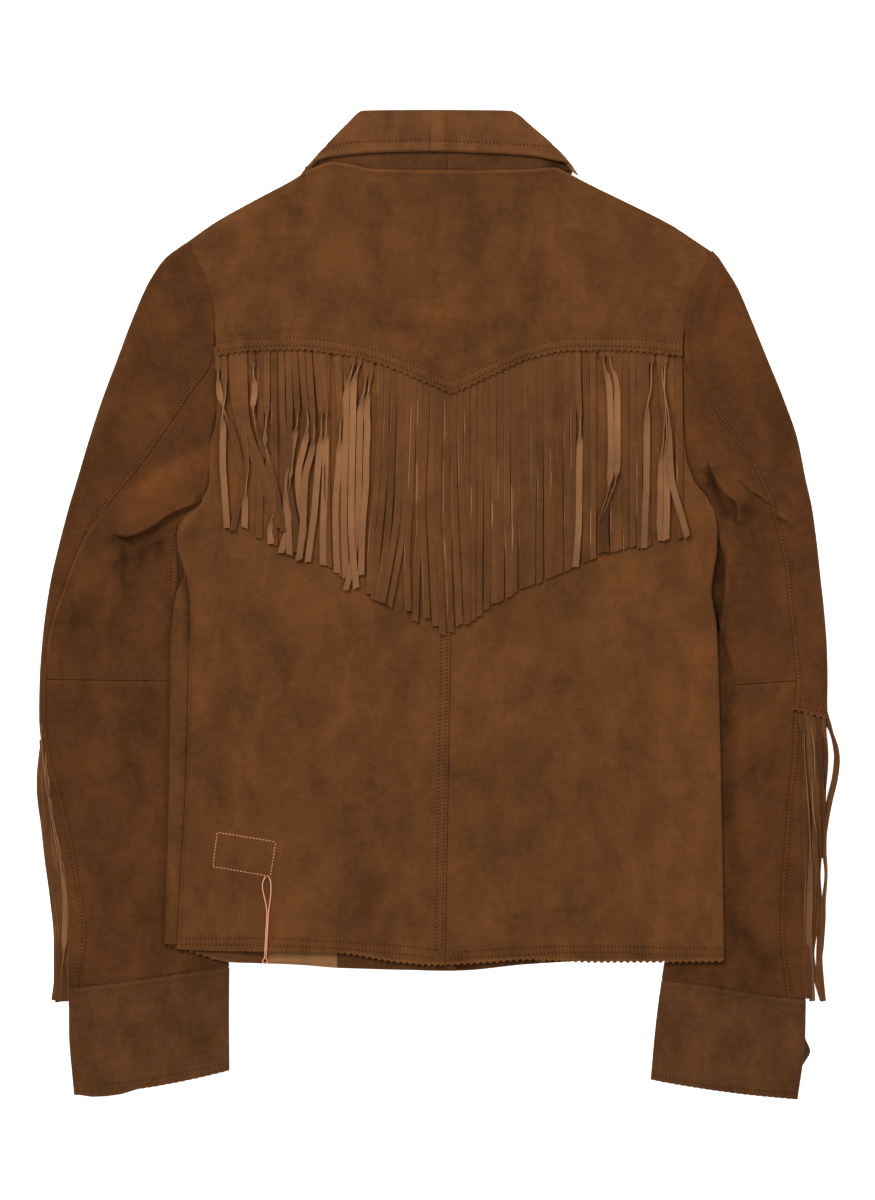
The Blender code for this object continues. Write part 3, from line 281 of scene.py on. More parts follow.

# Lines that are darker or lighter: painted shadow in a hollow or beside an overlapping edge, a painted highlight along
# a lit ridge or fold edge, or a scuff along a ridge.
SHADES = [
    # where, tone, red, width left, width right, fade, line (layout)
    ("right", -0.40, 0.2, 8, 5, 30, [(717, 590), (721, 650), (725, 700), (727, 780), (729, 880), (730, 972)]),
    ("right", -0.40, 0.4, 5, 5, 6, [(711, 470), (713, 478), (716, 492), (722, 508), (728, 520)]),
    ("right", 0.14, 0.4, 1.6, 2.6, 5, [(699, 465), (705, 461.5), (709.5, 463.5), (711, 469)]),
    ("right", -0.22, 0.3, 1.5, 1.5, 4, [(704, 470), (707, 476), (707.5, 488)]),
    ("right", 0.16, 0.4, 1.6, 1.6, 6, [(714, 470), (718.5, 480), (726, 489.5), (735, 496.5), (741, 503)]),
    ("right", -0.30, 0.2, 5, 5, 8, [(719, 545), (720, 565), (718, 588)]),
    ("right", 0.24, 0.3, 1.5, 1.7, 4, [(721, 534), (729, 547), (729, 562), (726.5, 575), (729, 592)]),
    ("right", -0.22, 0.2, 6, 9, 8, [(734, 512), (750, 514), (770, 522)]),
    ("right", 0.12, 0.2, 2.2, 2.2, 8, [(776, 509), (788, 520), (799, 529)]),
    ("right", 0.10, 0.1, 2.6, 2.6, 10, [(726, 472), (742, 481), (753, 490), (768, 500)]),
    ("right", 0.10, 0.4, 5, 5, 10, [(697, 430), (700, 448), (704, 460)]),
    ("right", 0.07, 0.1, 3, 3, 12, [(755, 426), (767, 440), (778, 456)]),
    ("right", -0.16, 0.1, 5, 7, 12, [(728, 912), (752, 946), (779, 982)]),
    ("right", -0.14, 0.1, 4, 5, 10, [(756, 760), (751, 784), (755, 806)]),
    ("left", -0.44, 0.2, 12, 22, 10, [(114, 548), (140, 553), (170, 548)]),
    ("left", -0.22, 0.1, 4, 5, 6, [(111, 534), (110.5, 540), (113, 548)]),
    ("left", 0.13, 0.8, 8, 9, 10, [(128, 505), (144, 486), (162, 474), (186, 470)]),
    ("left", -0.10, 0.4, 3, 3, 6, [(164, 477), (172, 478), (180, 476)]),
    ("left", 0.08, 0.3, 5, 4, 10, [(205, 478), (206, 460), (209, 440)]),
    ("left", -0.14, 0.1, 3, 4, 8, [(111, 566), (104, 594), (98, 603)]),
    ("left", 0.08, 0.1, 3, 3, 8, [(64, 768), (84, 764), (104, 772)]),
    ("left", -0.08, 0.1, 3, 3, 8, [(66, 776), (86, 774), (106, 790)]),
    ("left", 0.07, 0.4, 6, 6, 20, [(150, 268), (134, 320), (120, 380)]),
    ("body", -0.22, 0.1, 8, 10, 20, [(377, 868), (369, 900), (362, 934)]),
    ("body", 0.09, 0.1, 5, 6, 20, [(415, 842), (404, 880), (392, 916)]),
    ("body", 0.07, 0.1, 3, 3, 14, [(398, 850), (391, 885), (386, 912)]),
    ("body", 0.12, 0.1, 1.8, 1.8, 12, [(270, 234), (300, 232.5), (330, 233.5)]),
    ("body", 0.10, 0.1, 1.6, 1.6, 10, [(278, 280), (300, 279), (318, 279.5)]),
    ("body", 0.09, 0.1, 2.2, 2.2, 8, [(612, 232), (630, 240), (644, 250)]),
    ("body", -0.10, 0.1, 4, 4, 16, [(470, 150), (467, 200), (470, 250)]),
    ("body", -0.62, 0.3, 0.9, 4.2, 7, [(184.0, 566), (187.2, 581), (189.4, 597), (190.4, 618), (189.6, 646)]),
    ("body", -0.20, 0.2, 0.8, 2.4, 20, [(189.6, 640), (188.6, 700), (186.4, 780), (183, 850), (180, 900)]),
    ("body", 0.10, 0.3, 2.5, 3.0, 8, [(201, 508), (188, 519), (180.5, 530), (180, 545)]),
    ("body", -0.16, 0.2, 6, 7, 8, [(194, 524), (187, 540), (188, 556)]),
    ("body", 0.06, 0.3, 6, 6, 20, [(231, 700), (236, 780), (230, 860)]),
    ("body", -0.07, 0.2, 6, 6, 20, [(214, 660), (220, 740), (216, 820)]),
    ("body", 0.06, 0.2, 7, 7, 24, [(560, 620), (572, 700), (566, 800)]),
    ("body", -0.06, 0.2, 8, 8, 24, [(640, 640), (632, 720), (645, 800)]),
    ("body", 0.06, 0.4, 8, 8, 20, [(690, 640), (700, 760), (694, 880)]),
]

# Patches of nap that are brushed darker or lighter, and redder; some are painted shade in the hollows under the lobes,
# beside the body and under the collar's fall, and some are a painted highlight on the lobes' tops.
PATCHES = [
    # x, y, half width, half height, turn, tone, red (layout)
    # yoke
    (228, 244, 26, 18, -20, -0.16, 0.0), (302, 222, 34, 16, -12, -0.12, 0.0), (262, 232, 22, 8, -25, 0.08, 0.2),
    (372, 252, 50, 26, 0, 0.06, 0.1), (466, 200, 16, 46, 0, -0.08, 0.0), (470, 300, 18, 40, 0, -0.08, 0.0),
    (535, 268, 30, 34, 12, 0.09, 0.4), (440, 320, 26, 22, 0, 0.08, 0.5), (410, 345, 26, 12, 25, 0.07, 0.6),
    (648, 262, 20, 24, 25, -0.12, 0.0), (626, 240, 16, 8, 30, 0.07, 0.1), (600, 300, 40, 24, 0, 0.05, 0.2),
    (330, 300, 40, 20, 0, -0.05, 0.0), (255, 300, 30, 16, 0, 0.05, 0.1), (680, 300, 12, 40, 0, -0.06, 0.1),
    (560, 200, 30, 14, 15, 0.05, 0.2), (420, 190, 60, 12, 0, -0.04, 0.0),
    # back below the fringe
    (225, 590, 40, 26, 0, -0.10, 0.0), (222, 560, 30, 18, 0, -0.08, 0.0), (300, 610, 50, 18, 10, 0.04, 0.2),
    (205, 640, 14, 60, 0, 0.08, 0.5), (255, 650, 30, 10, 0, -0.08, 0.4), (340, 640, 40, 30, 0, 0.03, 0.3),
    (390, 730, 40, 70, 5, 0.05, 0.2), (300, 740, 46, 50, 0, -0.05, 0.2), (370, 900, 20, 50, -22, -0.12, 0.2),
    (405, 880, 14, 50, -20, 0.09, 0.2), (240, 800, 34, 40, 0, -0.04, 0.1), (225, 905, 24, 30, 0, 0.05, 0.3),
    (520, 700, 40, 60, 0, 0.05, 0.1), (600, 760, 30, 70, 0, -0.05, 0.0), (560, 860, 50, 40, 0, -0.06, 0.0),
    (650, 700, 34, 50, 0, 0.05, 0.3), (660, 880, 34, 40, 0, 0.08, 0.4), (500, 900, 30, 40, 0, 0.05, 0.1),
    (640, 610, 50, 22, 0, 0.03, 0.3), (580, 610, 40, 16, 0, -0.05, 0.0), (700, 640, 12, 60, 0, 0.06, 0.3),
    (692, 540, 20, 30, 0, 0.0, 0.2), (600, 942, 60, 8, 0, 0.05, 0.5), (300, 942, 80, 8, 0, 0.02, 0.6),
    # left sleeve
    (176, 275, 18, 16, 0, -0.10, 0.0), (150, 352, 24, 18, -30, -0.18, 0.1), (168, 318, 18, 14, 0, 0.07, 0.1),
    (120, 400, 18, 40, 20, 0.03, 0.1), (112, 448, 22, 26, 10, -0.12, 0.1), (88, 490, 18, 22, 10, -0.10, 0.0),
    (176, 420, 22, 18, -30, -0.08, 0.1), (198, 400, 14, 26, 10, 0.05, 0.3), (165, 480, 34, 15, -25, 0.17, 0.7),
    (140, 512, 30, 12, -25, 0.10, 0.4), (196, 462, 14, 20, 0, 0.08, 0.3), (100, 560, 16, 34, 10, 0.08, 0.1),
    (148, 590, 30, 30, 0, -0.20, 0.2),
    (113, 566, 8, 8, 0, -0.16, 0.1), (96, 602, 12, 14, 30, -0.14, 0.1), (74, 622, 12, 12, 0, -0.12, 0.1),
    (120, 630, 26, 26, 0, 0.03, 0.1), (160, 620, 10, 50, 0, 0.04, 0.1), (62, 655, 14, 20, 0, 0.06, 0.1),
    (52, 630, 8, 40, 8, 0.08, 0.3), (145, 700, 22, 24, 0, -0.12, 0.2), (62, 705, 18, 18, 0, -0.10, 0.2),
    (84, 752, 22, 18, 0, 0.06, 0.1), (150, 760, 18, 40, 0, -0.05, 0.1), (88, 790, 12, 8, 0, 0.14, 0.2),
    (112, 905, 12, 30, 0, -0.18, 0.3), (140, 920, 28, 36, 0, -0.08, 0.2), (100, 860, 12, 30, 0, 0.05, 0.1),
    (78, 940, 6, 40, 5, 0.06, 0.3), (165, 880, 6, 80, 0, -0.14, 0.2), (168, 720, 6, 60, 0, -0.14, 0.1),
    (90, 964, 20, 18, 0, -0.08, 0.1), (195, 962, 30, 8, 5, -0.10, 0.1),
    # right sleeve
    (716, 300, 16, 26, 0, 0.05, 0.3), (742, 300, 16, 26, 0, -0.08, 0.1), (752, 360, 20, 20, 0, -0.05, 0.1),
    (775, 400, 20, 30, 30, 0.05, 0.1), (698, 430, 14, 22, 0, 0.08, 0.6), (712, 400, 12, 18, 0, 0.05, 0.5),
    (764, 468, 12, 8, 30, 0.08, 0.2), (735, 470, 18, 8, 35, 0.05, 0.2), 
    (744, 590, 14, 26, 0, -0.16, 0.3),
    (764, 534, 14, 10, 30, -0.15, 0.2), (790, 530, 12, 8, 30, -0.08, 0.2), (780, 600, 14, 40, 0, 0.03, 0.2),
    (722, 660, 9, 34, -12, -0.30, 0.2), (746, 640, 12, 30, 0, -0.10, 0.3), (812, 640, 12, 70, 0, 0.05, 0.2),
    (752, 700, 24, 14, 0, -0.12, 0.1), (745, 720, 14, 16, 0, 0.06, 0.2), (744, 820, 8, 40, 0, 0.03, 0.2),
    (754, 786, 5, 20, 0, -0.14, 0.1), (775, 770, 16, 22, 0, -0.10, 0.2),
    (768, 716, 24, 16, 0, 0.06, 0.2), (742, 740, 12, 26, 0, 0.08, 0.1), (752, 860, 20, 26, 0, 0.08, 0.1),
    (776, 850, 16, 20, 0, -0.12, 0.2), (752, 948, 12, 34, -30, -0.16, 0.2), (768, 920, 16, 30, -30, 0.08, 0.1),
    (690, 975, 30, 8, 8, -0.12, 0.1), (796, 850, 7, 100, 0, 0.05, 0.2),
    (128, 628, 44, 50, 0, -0.09, 0.1), (760, 815, 34, 100, 0, 0.12, 0.2), (730, 340, 40, 60, 0, 0.16, 0.2), (725, 1040, 60, 44, 0, 0.06, 0.1),
    (275, 740, 60, 70, 0, 0.05, 0.2),
    # cuffs
    (96, 1030, 20, 26, 0, -0.06, 0.1), (130, 1018, 34, 14, 0, 0.05, 0.1), (180, 1040, 30, 16, -10, -0.10, 0.1),
    (150, 1070, 40, 10, -6, 0.04, 0.1), (206, 1010, 16, 24, 0, 0.04, 0.1), (690, 1006, 20, 14, 0, 0.06, 0.1),
    (740, 1040, 30, 20, 0, -0.12, 0.1), (780, 1060, 16, 24, 0, 0.06, 0.1), (700, 1050, 16, 16, 0, 0.07, 0.1),
    (672, 1040, 12, 30, 0, -0.06, 0.1), (770, 1012, 24, 12, 0, -0.05, 0.1),
    # collar
    (365, 132, 20, 14, 0, 0.05, 0.3), (410, 128, 16, 12, 0, -0.04, 0.1), (437, 130, 7, 18, 0, 0.20, 0.3),
    (480, 128, 24, 14, 0, -0.05, 0.1), (535, 145, 16, 12, 30, 0.06, 0.3), (470, 160, 90, 6, 0, -0.16, 0.1),
    (512, 128, 14, 12, 0, 0.06, 0.2),
]


# ------------------------------------------------------------------ curves and heights
def smooth(t):
    t = np.clip(t, 0.0, 1.0)
    return t * t * (3.0 - 2.0 * t)


def lerp(a, b, t):
    return a + (b - a) * t


def column(table, which, key=None):
    """A table's column as a smooth function of another column, or of the row's number."""
    rows = [(float(i) if key is None else row[key], row[which]) for i, row in enumerate(table)]
    rows.sort()
    xs, ys = np.array([r[0] for r in rows]), np.array([r[1] for r in rows])
    h = np.diff(xs)
    slope = np.diff(ys) / h
    tangent = np.zeros_like(ys)
    tangent[0], tangent[-1] = slope[0], slope[-1]
    a, b = slope[:-1], slope[1:]
    same = a * b > 0
    tangent[1:-1] = np.where(same, 2.0 * a * b / np.where(same, a + b, 1.0), 0.0)

    def value(x):
        x = np.clip(np.asarray(x, float), xs[0], xs[-1])
        i = np.clip(np.searchsorted(xs, x, side="right") - 1, 0, len(xs) - 2)
        t = (x - xs[i]) / h[i]
        return (
            (1 + 2 * t) * (1 - t) ** 2 * ys[i]
            + t * (1 - t) ** 2 * h[i] * tangent[i]
            + t * t * (3 - 2 * t) * ys[i + 1]
            + t * t * (t - 1) * h[i] * tangent[i + 1]
        )

    return value


body_left, body_seam, body_right = (column(BODY, k, 0) for k in (1, 2, 3))
back_hem, front_hem = column(BACK_HEM, 1, 0), column(FRONT_HEM, 1, 0)
yoke_low_left, yoke_low_right = column(YOKE_LOW[:7], 1, 0), column(YOKE_LOW[6:], 1, 0)
yoke_top = column(YOKE_TOP, 1, 0)
front_neck = column(FRONT_NECK, 1, 0)
inner_left = column(SLEEVE_LEFT[UNDERARM_ROW:], 2, 3)
inner_right = column(SLEEVE_RIGHT[UNDERARM_ROW:], 2, 3)


def yoke_low(x):
    """The yoke's lower edge: two sweeps that meet in a point at the centre."""
    return np.where(np.asarray(x) < YOKE_LOW[6][0], yoke_low_left(x), yoke_low_right(x))


def centre_back(y):
    return lerp(11.0, 3.0, np.clip((168.0 - y) / 455.0, 0.0, 1.0))


def over_sleeve(x, y):
    left = 1.0 - smooth((x - inner_left(y) - 5.0) / 16.0)
    right = 1.0 - smooth((inner_right(y) - x - 5.0) / 16.0)
    return smooth((88.0 - y) / 20.0) * np.maximum(left, right)


def on_collar(x, y):
    return smooth((y - 218.0) / 14.0) * (1.0 - smooth((np.abs(x - 4.0) - 112.0) / 14.0))


def front_height(x, y):
    return FLOOR + (FRONT_OVER_SLEEVE - FLOOR) * over_sleeve(x, y) + NECK_RISE * on_collar(x, y)


def back_height(x, y):
    middle = 0.5 * (LEFT_FRONT_EDGE + RIGHT_FRONT_EDGE)
    half = 0.5 * (LEFT_FRONT_EDGE - RIGHT_FRONT_EDGE) + 3.0
    crossed = 1.0 - smooth((np.abs(x - middle) - half) / 18.0)
    return (
        BACK_BASE
        + (BACK_OVER_SLEEVE - BACK_BASE) * over_sleeve(x, y)
        + NECK_RISE * on_collar(x, y)
        + PLACKET_RISE * crossed
    )


def yoke_height(x, y):
    above = y - yoke_low(x)
    return back_height(x, y) + (2.0 * STEP + 2.0 * LAYING_SLACK) * (1.0 - smooth((above - 15.0) / 14.0))


def pressed(x, y):
    left = smooth((x - body_left(y) + 20.0) / 12.0)
    right = smooth((body_right(y) + 20.0 - x) / 12.0)
    return np.where(y > 70.0, 0.0, smooth((70.0 - y) / 24.0) * np.where(x < 0, left, right))


def sleeve_height(x, y):
    return lerp(SLEEVE_TOP, SLEEVE_PRESSED, pressed(x, y) * smooth((y + 335.0) / 25.0))


def noise(x, y, size, seed):
    """Smooth noise from -1 to 1 whose bumps are about `size` apart."""
    gx, gy = np.asarray(x) / size + 0.37 * seed, np.asarray(y) / size - 0.23 * seed
    ix, iy = np.floor(gx), np.floor(gy)
    fx, fy = gx - ix, gy - iy
    fx, fy = fx * fx * (3 - 2 * fx), fy * fy * (3 - 2 * fy)

    def corner(i, j):
        value = np.sin(i * 127.1 + j * 311.7 + seed * 74.7) * 43758.5453
        return (value - np.floor(value)) * 2.0 - 1.0

    low = lerp(corner(ix, iy), corner(ix + 1, iy), fx)
    high = lerp(corner(ix, iy + 1), corner(ix + 1, iy + 1), fx)
    return lerp(low, high, fy)


def curve_through(points, step=2.0):
    """A smooth line through points, as points about `step` apart."""
    p = np.asarray(points, float)
    p = np.vstack([2 * p[0] - p[1], p, 2 * p[-1] - p[-2]])
    out = []
    for i in range(1, len(p) - 2):
        a, b, c, d = p[i - 1], p[i], p[i + 1], p[i + 2]
        n = max(2, int(np.linalg.norm(c - b) / step) + 1)
        for f in np.arange(n) / n:
            out.append(0.5 * (2 * b + (c - a) * f + (2 * a - 5 * b + 4 * c - d) * f * f + (3 * b - a - 3 * c + d) * f**3))
    out.append(p[-2])
    return np.array(out)


def measure(x, y, line):
    """Signed distance to a line (left of it is +), place along it, its length, its left normal."""
    px, py = np.ravel(x), np.ravel(y)
    best = np.full(px.shape, 1e9)
    sign, along = np.ones(px.shape), np.zeros(px.shape)
    nx, ny = np.zeros(px.shape), np.zeros(px.shape)
    run = 0.0
    for a, b in zip(line[:-1], line[1:]):
        dx, dy = b - a
        size = math.hypot(dx, dy)
        ax, ay = px - a[0], py - a[1]
        t = np.clip((ax * dx + ay * dy) / (size * size), 0.0, 1.0)
        far = np.hypot(ax - t * dx, ay - t * dy)
        near = far < best
        best = np.where(near, far, best)
        sign = np.where(near, np.where(dx * ay - dy * ax >= 0, 1.0, -1.0), sign)
        along = np.where(near, run + t * size, along)
        nx, ny = np.where(near, -dy / size, nx), np.where(near, dx / size, ny)
        run += size
    shape = np.shape(x)
    return (best * sign).reshape(shape), along.reshape(shape), run, nx.reshape(shape), ny.reshape(shape)


def near_box(x, y, line, reach):
    return (
        np.min(x) - reach < line[:, 0].max() and np.max(x) + reach > line[:, 0].min()
        and np.min(y) - reach < line[:, 1].max() and np.max(y) + reach > line[:, 1].min()
    )


CREASE_LINES = [(w, h, a, b, f, curve_through(at(*line), 5.0)) for w, h, a, b, f, line in CREASES]
LIP_LINES = [(w, h, o, a, t, f, curve_through(at(*line), 3.0)) for w, h, o, a, t, f, line in LIPS]
SHADE_LINES = [(w, t, r, a, b, f, curve_through(at(*line), 4.0)) for w, t, r, a, b, f, line in SHADES]


def relief(where, x, y):
    """Height that the creases and the leather's own unevenness add."""
    z = np.zeros(np.shape(x))
    for group, height, left, right, fade, line in CREASE_LINES:
        if group != where or not near_box(x, y, line, 3.0 * max(left, right)):
            continue
        d, s, total, _, _ = measure(x, y, line)
        width = np.where(d > 0, left, right)
        fade = min(fade, 0.5 * total)
        z += (1.6 if where == "body" else 2.3) * height * np.exp(-((d / width) ** 2)) * (0.25 + 0.75 * smooth(s / fade) * smooth((total - s) / fade))
    seed = {"body": 1, "left": 2, "right": 3, "collar": 4}[where]
    amount = {"body": 0.9, "left": 1.3, "right": 1.3, "collar": 0.5}[where]
    z += amount * (0.45 * noise(x, y, 62.0, seed) + 0.22 * noise(x, y, 27.0, seed + 9) + 0.10 * noise(x, y, 12.0, seed + 17))
    return z


def hang_lips(where, points, weight):
    """Folds that hang over: the high side goes up and over the low side."""
    x, y = points[..., 0].copy(), points[..., 1].copy()
    for group, height, over, width, trough, fade, line in LIP_LINES:
        if group != where or not near_box(x, y, line, 3.0 * width):
            continue
        d, s, total, nx, ny = measure(x, y, line)
        ends = smooth(s / fade) * smooth((total - s) / fade) * weight
        high = d >= 0
        rise = np.where(high, np.exp(-((d / width) ** 2)), np.exp(-((d / 1.1) ** 2)))
        low = np.where(high, 0.0, -trough * np.exp(-(((d + 6.0) / 6.0) ** 2)))
        slide = over * np.where(high, np.exp(-d / 6.0), np.exp(-((d / 1.0) ** 2))) * ends
        points[..., 2] += (height * rise + low) * ends
        points[..., 0] -= nx * slide
        points[..., 1] -= ny * slide
    return points


def tones(x, y, where="body"):
    """How much lighter and redder the surface is, from the patches, the shaded lines and the lips; much of it is
    painted shade and painted highlight.
    """
    lx, ly = x / 0.8 + 438.0, 605.5 - y / 0.8
    tone, red = np.zeros(np.shape(x)), np.zeros(np.shape(x))
    for cx, cy, rx, ry, turn, amount, warm in PATCHES:
        c, s = math.cos(math.radians(turn)), math.sin(math.radians(turn))
        u, v = lx - cx, ly - cy
        u, v = c * u + s * v, -s * u + c * v
        # The patches' outlines are uneven, as brushed nap is.
        bend = 1.0 + 0.30 * noise(x, y, 9.0, cx) + 0.25 * noise(x, y, 22.0, cy)
        inside = np.exp(-(((u / rx) ** 2 + (v / ry) ** 2) * bend))
        tone += amount * inside
        red += warm * inside
    for group, amount, warm, left, right, fade, line in SHADE_LINES:
        if group != where or not near_box(x, y, line, 3.0 * max(left, right)):
            continue
        d, s, total, _, _ = measure(x, y, line)
        fade = min(fade, 0.5 * total)
        wide = np.where(d > 0, left, right) * (1.0 + 0.25 * noise(x, y, 11.0, total))
        inside = np.exp(-((d / wide) ** 2)) * smooth((s + 1.0) / fade) * smooth((total - s + 1.0) / fade)
        tone += amount * inside
        red += warm * inside
    # Painted shade under each lip's overhang, and a painted highlight along its rounded edge.
    for group, height, over, width, trough, fade, line in LIP_LINES:
        if group != where or not near_box(x, y, line, 30.0):
            continue
        d, s, total, _, _ = measure(x, y, line)
        ends = smooth(s / fade) * smooth((total - s) / fade)
        d = d + over * ends
        deep = min(1.0, height / 4.0)
        under = -0.27 * deep * np.exp(np.minimum(d, 0.0) / (4.0 + 6.0 * deep))
        tone += ends * np.where(d < -0.05, under, 0.20 * deep * np.exp(-(((d - 0.8) / 0.9) ** 2)))
    return tone, np.clip(red, 0.0, 1.0)


# ------------------------------------------------------------------ camera, lights and floor
camera_data = bpy.data.cameras.new("camera")
camera_data.lens = 135.0
camera_data.sensor_width = 36.0
camera_data.clip_start, camera_data.clip_end = 0.1, 20.0
camera = bpy.data.objects.new("camera", camera_data)
camera.location = (0.0036, 0.0038, 3.6)
bpy.context.scene.collection.objects.link(camera)
bpy.context.scene.camera = camera


def area_light(name, place, size, power, colour):
    data = bpy.data.lights.new(name, "AREA")
    data.shape = "DISK"
    data.size, data.energy, data.color = size, power, colour
    light = bpy.data.objects.new(name, data)
    light.location = place
    light.rotation_mode = "QUATERNION"
    light.rotation_quaternion = (-Vector(place)).to_track_quat("-Z", "Y")
    bpy.context.scene.collection.objects.link(light)


area_light("key_light", (-1.25, 1.85, 1.95), 1.5, 84.0, (1.0, 0.985, 0.96))
area_light("fill_light", (2.0, 0.9, 1.8), 1.4, 26.0, (0.98, 0.985, 1.0))
area_light("low_fill_light", (-0.3, -2.0, 2.2), 1.8, 16.0, (1.0, 1.0, 1.0))
world = bpy.data.worlds.new("studio")
bpy.context.scene.world = world
world.use_nodes = True
world.node_tree.nodes["Background"].inputs["Color"].default_value = (1.0, 1.0, 1.0, 1.0)
world.node_tree.nodes["Background"].inputs["Strength"].default_value = 0.30
bpy.context.scene.view_settings.view_transform = "Standard"


# ------------------------------------------------------------------ materials
class Shader:
    """A small helper that adds nodes to one material."""

    def __init__(self, name):
        self.material = bpy.data.materials.new(name)
        self.material.use_nodes = True
        self.tree = self.material.node_tree
        self.bsdf = self.tree.nodes["Principled BSDF"]
        self.place = self.node("ShaderNodeTexCoord").outputs["Object"]

    def node(self, kind, **settings):
        made = self.tree.nodes.new(kind)
        for key, value in settings.items():
            setattr(made, key, value)
        return made

    def feed(self, socket, value):
        if isinstance(value, bpy.types.NodeSocket):
            self.tree.links.new(value, socket)
        else:
            socket.default_value = value

    def math(self, operation, a, b=0.0, c=0.0, clamp=False):
        made = self.node("ShaderNodeMath", operation=operation, use_clamp=clamp)
        for socket, value in zip(made.inputs, (a, b, c)):
            self.feed(socket, value)
        return made.outputs[0]

    def noise(self, scale, detail=2.0, rough=0.5, stretch=None, distortion=0.0):
        made = self.node("ShaderNodeTexNoise")
        where = self.place
        if stretch:
            mapping = self.node("ShaderNodeMapping")
            self.feed(mapping.inputs["Vector"], where)
            mapping.inputs["Rotation"].default_value = (0.0, 0.0, stretch[3])
            mapping.inputs["Scale"].default_value = stretch[:3]
            where = mapping.outputs[0]
        self.feed(made.inputs["Vector"], where)
        made.inputs["Scale"].default_value = scale
        made.inputs["Detail"].default_value = detail
        made.inputs["Roughness"].default_value = rough
        made.inputs["Distortion"].default_value = distortion
        return made.outputs["Fac"]

    def attribute(self, name):
        return self.node("ShaderNodeAttribute", attribute_name=name)

    def mix(self, factor, a, b, blend="MIX"):
        made = self.node("ShaderNodeMix", data_type="RGBA", blend_type=blend)
        self.feed(made.inputs["Factor"], factor)
        for socket, value in ((made.inputs[6], a), (made.inputs[7], b)):
            self.feed(socket, value if isinstance(value, bpy.types.NodeSocket) else (*value, 1.0))
        return made.outputs[2]


def suede(name, base, red, sheen=0.15, mottle=1.0, nap=1.0, seams=True, cloudy=1.0):
    """Napped leather: clouded colour, brushed streaks, fine fibres, and sunk stitch rows, with painted shade in the
    stitch holes and painted light and shade on the puckers.
    """
    s = Shader(name)
    cloud = s.noise(11.0, 3.0, 0.55, distortion=0.6)
    patch = s.noise(1.0, 5.0, 0.62, stretch=(44.0, 27.0, 38.0, 0.25), distortion=0.4)
    brushed = s.noise(1.0, 4.0, 0.65, stretch=(55.0, 240.0, 100.0, 0.35))
    spots = s.noise(170.0, 4.0, 0.7)
    fibre = s.noise(1150.0, 2.0, 0.6)
    fine = s.noise(2900.0, 1.0, 0.5)
    tone = s.attribute("tone").outputs["Fac"]
    warm = s.attribute("red").outputs["Fac"]
    value = s.math("ADD", 1.0, tone)
    for source, amount in ((cloud, 0.66 * cloudy), (patch, 1.0 * cloudy), (brushed, 0.26), (spots, 0.56), (fibre, 0.66), (fine, 0.40)):
        value = s.math("MULTIPLY_ADD", s.math("SUBTRACT", source, 0.5), amount * mottle, value)
    height = s.math("MULTIPLY", cloud, 1.6)
    for source, amount in ((patch, 1.1), (brushed, 0.16), (spots, 0.22), (fibre, 0.08 * nap), (fine, 0.04 * nap)):
        height = s.math("MULTIPLY_ADD", source, amount, height)
    sunk = None
    if seams:
        for k in (1, 2, 3, 4):
            row = s.node("ShaderNodeSeparateXYZ")
            s.feed(row.inputs[0], s.attribute(f"row{k}").outputs["Vector"])
            d, along, on = row.outputs
            near = s.math("EXPONENT", s.math("MULTIPLY", s.math("POWER", s.math("DIVIDE", s.math("ABSOLUTE", d), 0.85), 2.0), -1.0))
            near = s.math("MULTIPLY", near, on)
            beat = s.math("COSINE", s.math("MULTIPLY", along, 2.0 * math.pi / 3.0))
            hole = s.math("MULTIPLY", s.math("POWER", s.math("MAXIMUM", s.math("MULTIPLY", beat, -1.0), 0.0), 1.5), s.math("POWER", near, 2.4))
            wide = s.math("EXPONENT", s.math("MULTIPLY", s.math("POWER", s.math("DIVIDE", s.math("ABSOLUTE", d), 2.6), 2.0), -1.0))
            wide = s.math("MULTIPLY", wide, on)
            # Between two stitches the leather puckers up, along a slanting line, and the puckers are painted lighter on
            # their crests and darker between them.
            phase = s.math("MULTIPLY", s.math("MULTIPLY_ADD", d, 0.35, along), 2.0 * math.pi / 3.0)
            ripple = s.math("MULTIPLY", s.math("COSINE", phase), wide)
            height = s.math("MULTIPLY_ADD", near, -0.10, height)
            height = s.math("MULTIPLY_ADD", hole, -0.30, height)
            height = s.math("MULTIPLY_ADD", ripple, 0.12, height)
            value = s.math("MULTIPLY_ADD", near, -0.02, value)
            value = s.math("MULTIPLY_ADD", hole, -0.46, value)
            value = s.math("MULTIPLY_ADD", ripple, 0.09, value)
            sunk = near if sunk is None else s.math("MAXIMUM", sunk, near)
    value = s.math("MAXIMUM", value, 0.08)
    redness = s.math("MULTIPLY_ADD", s.math("SUBTRACT", patch, 0.42), 1.1, s.math("MULTIPLY", warm, 0.8), clamp=True)
    if sunk is not None:
        redness = s.math("MULTIPLY_ADD", sunk, 0.5, redness, clamp=True)
    colour = s.mix(redness, base, red)
    grey = s.node("ShaderNodeCombineColor")
    for socket in grey.inputs:
        s.feed(socket, value)
    colour = s.mix(1.0, colour, grey.outputs[0], "MULTIPLY")
    s.feed(s.bsdf.inputs["Base Color"], colour)
    rough = s.math("MULTIPLY_ADD", fibre, 0.12, 0.84, clamp=True)
    s.feed(s.bsdf.inputs["Roughness"], rough)
    s.bsdf.inputs["Specular IOR Level"].default_value = 0.06
    s.bsdf.inputs["Sheen Weight"].default_value = sheen
    s.bsdf.inputs["Sheen Roughness"].default_value = 0.55
    s.bsdf.inputs["Sheen Tint"].default_value = (0.85, 0.46, 0.22, 1.0)
    bump = s.node("ShaderNodeBump")
    bump.inputs["Strength"].default_value = 1.0
    bump.inputs["Distance"].default_value = 0.001
    s.feed(bump.inputs["Height"], height)
    s.feed(s.bsdf.inputs["Normal"], bump.outputs[0])
    return s.material


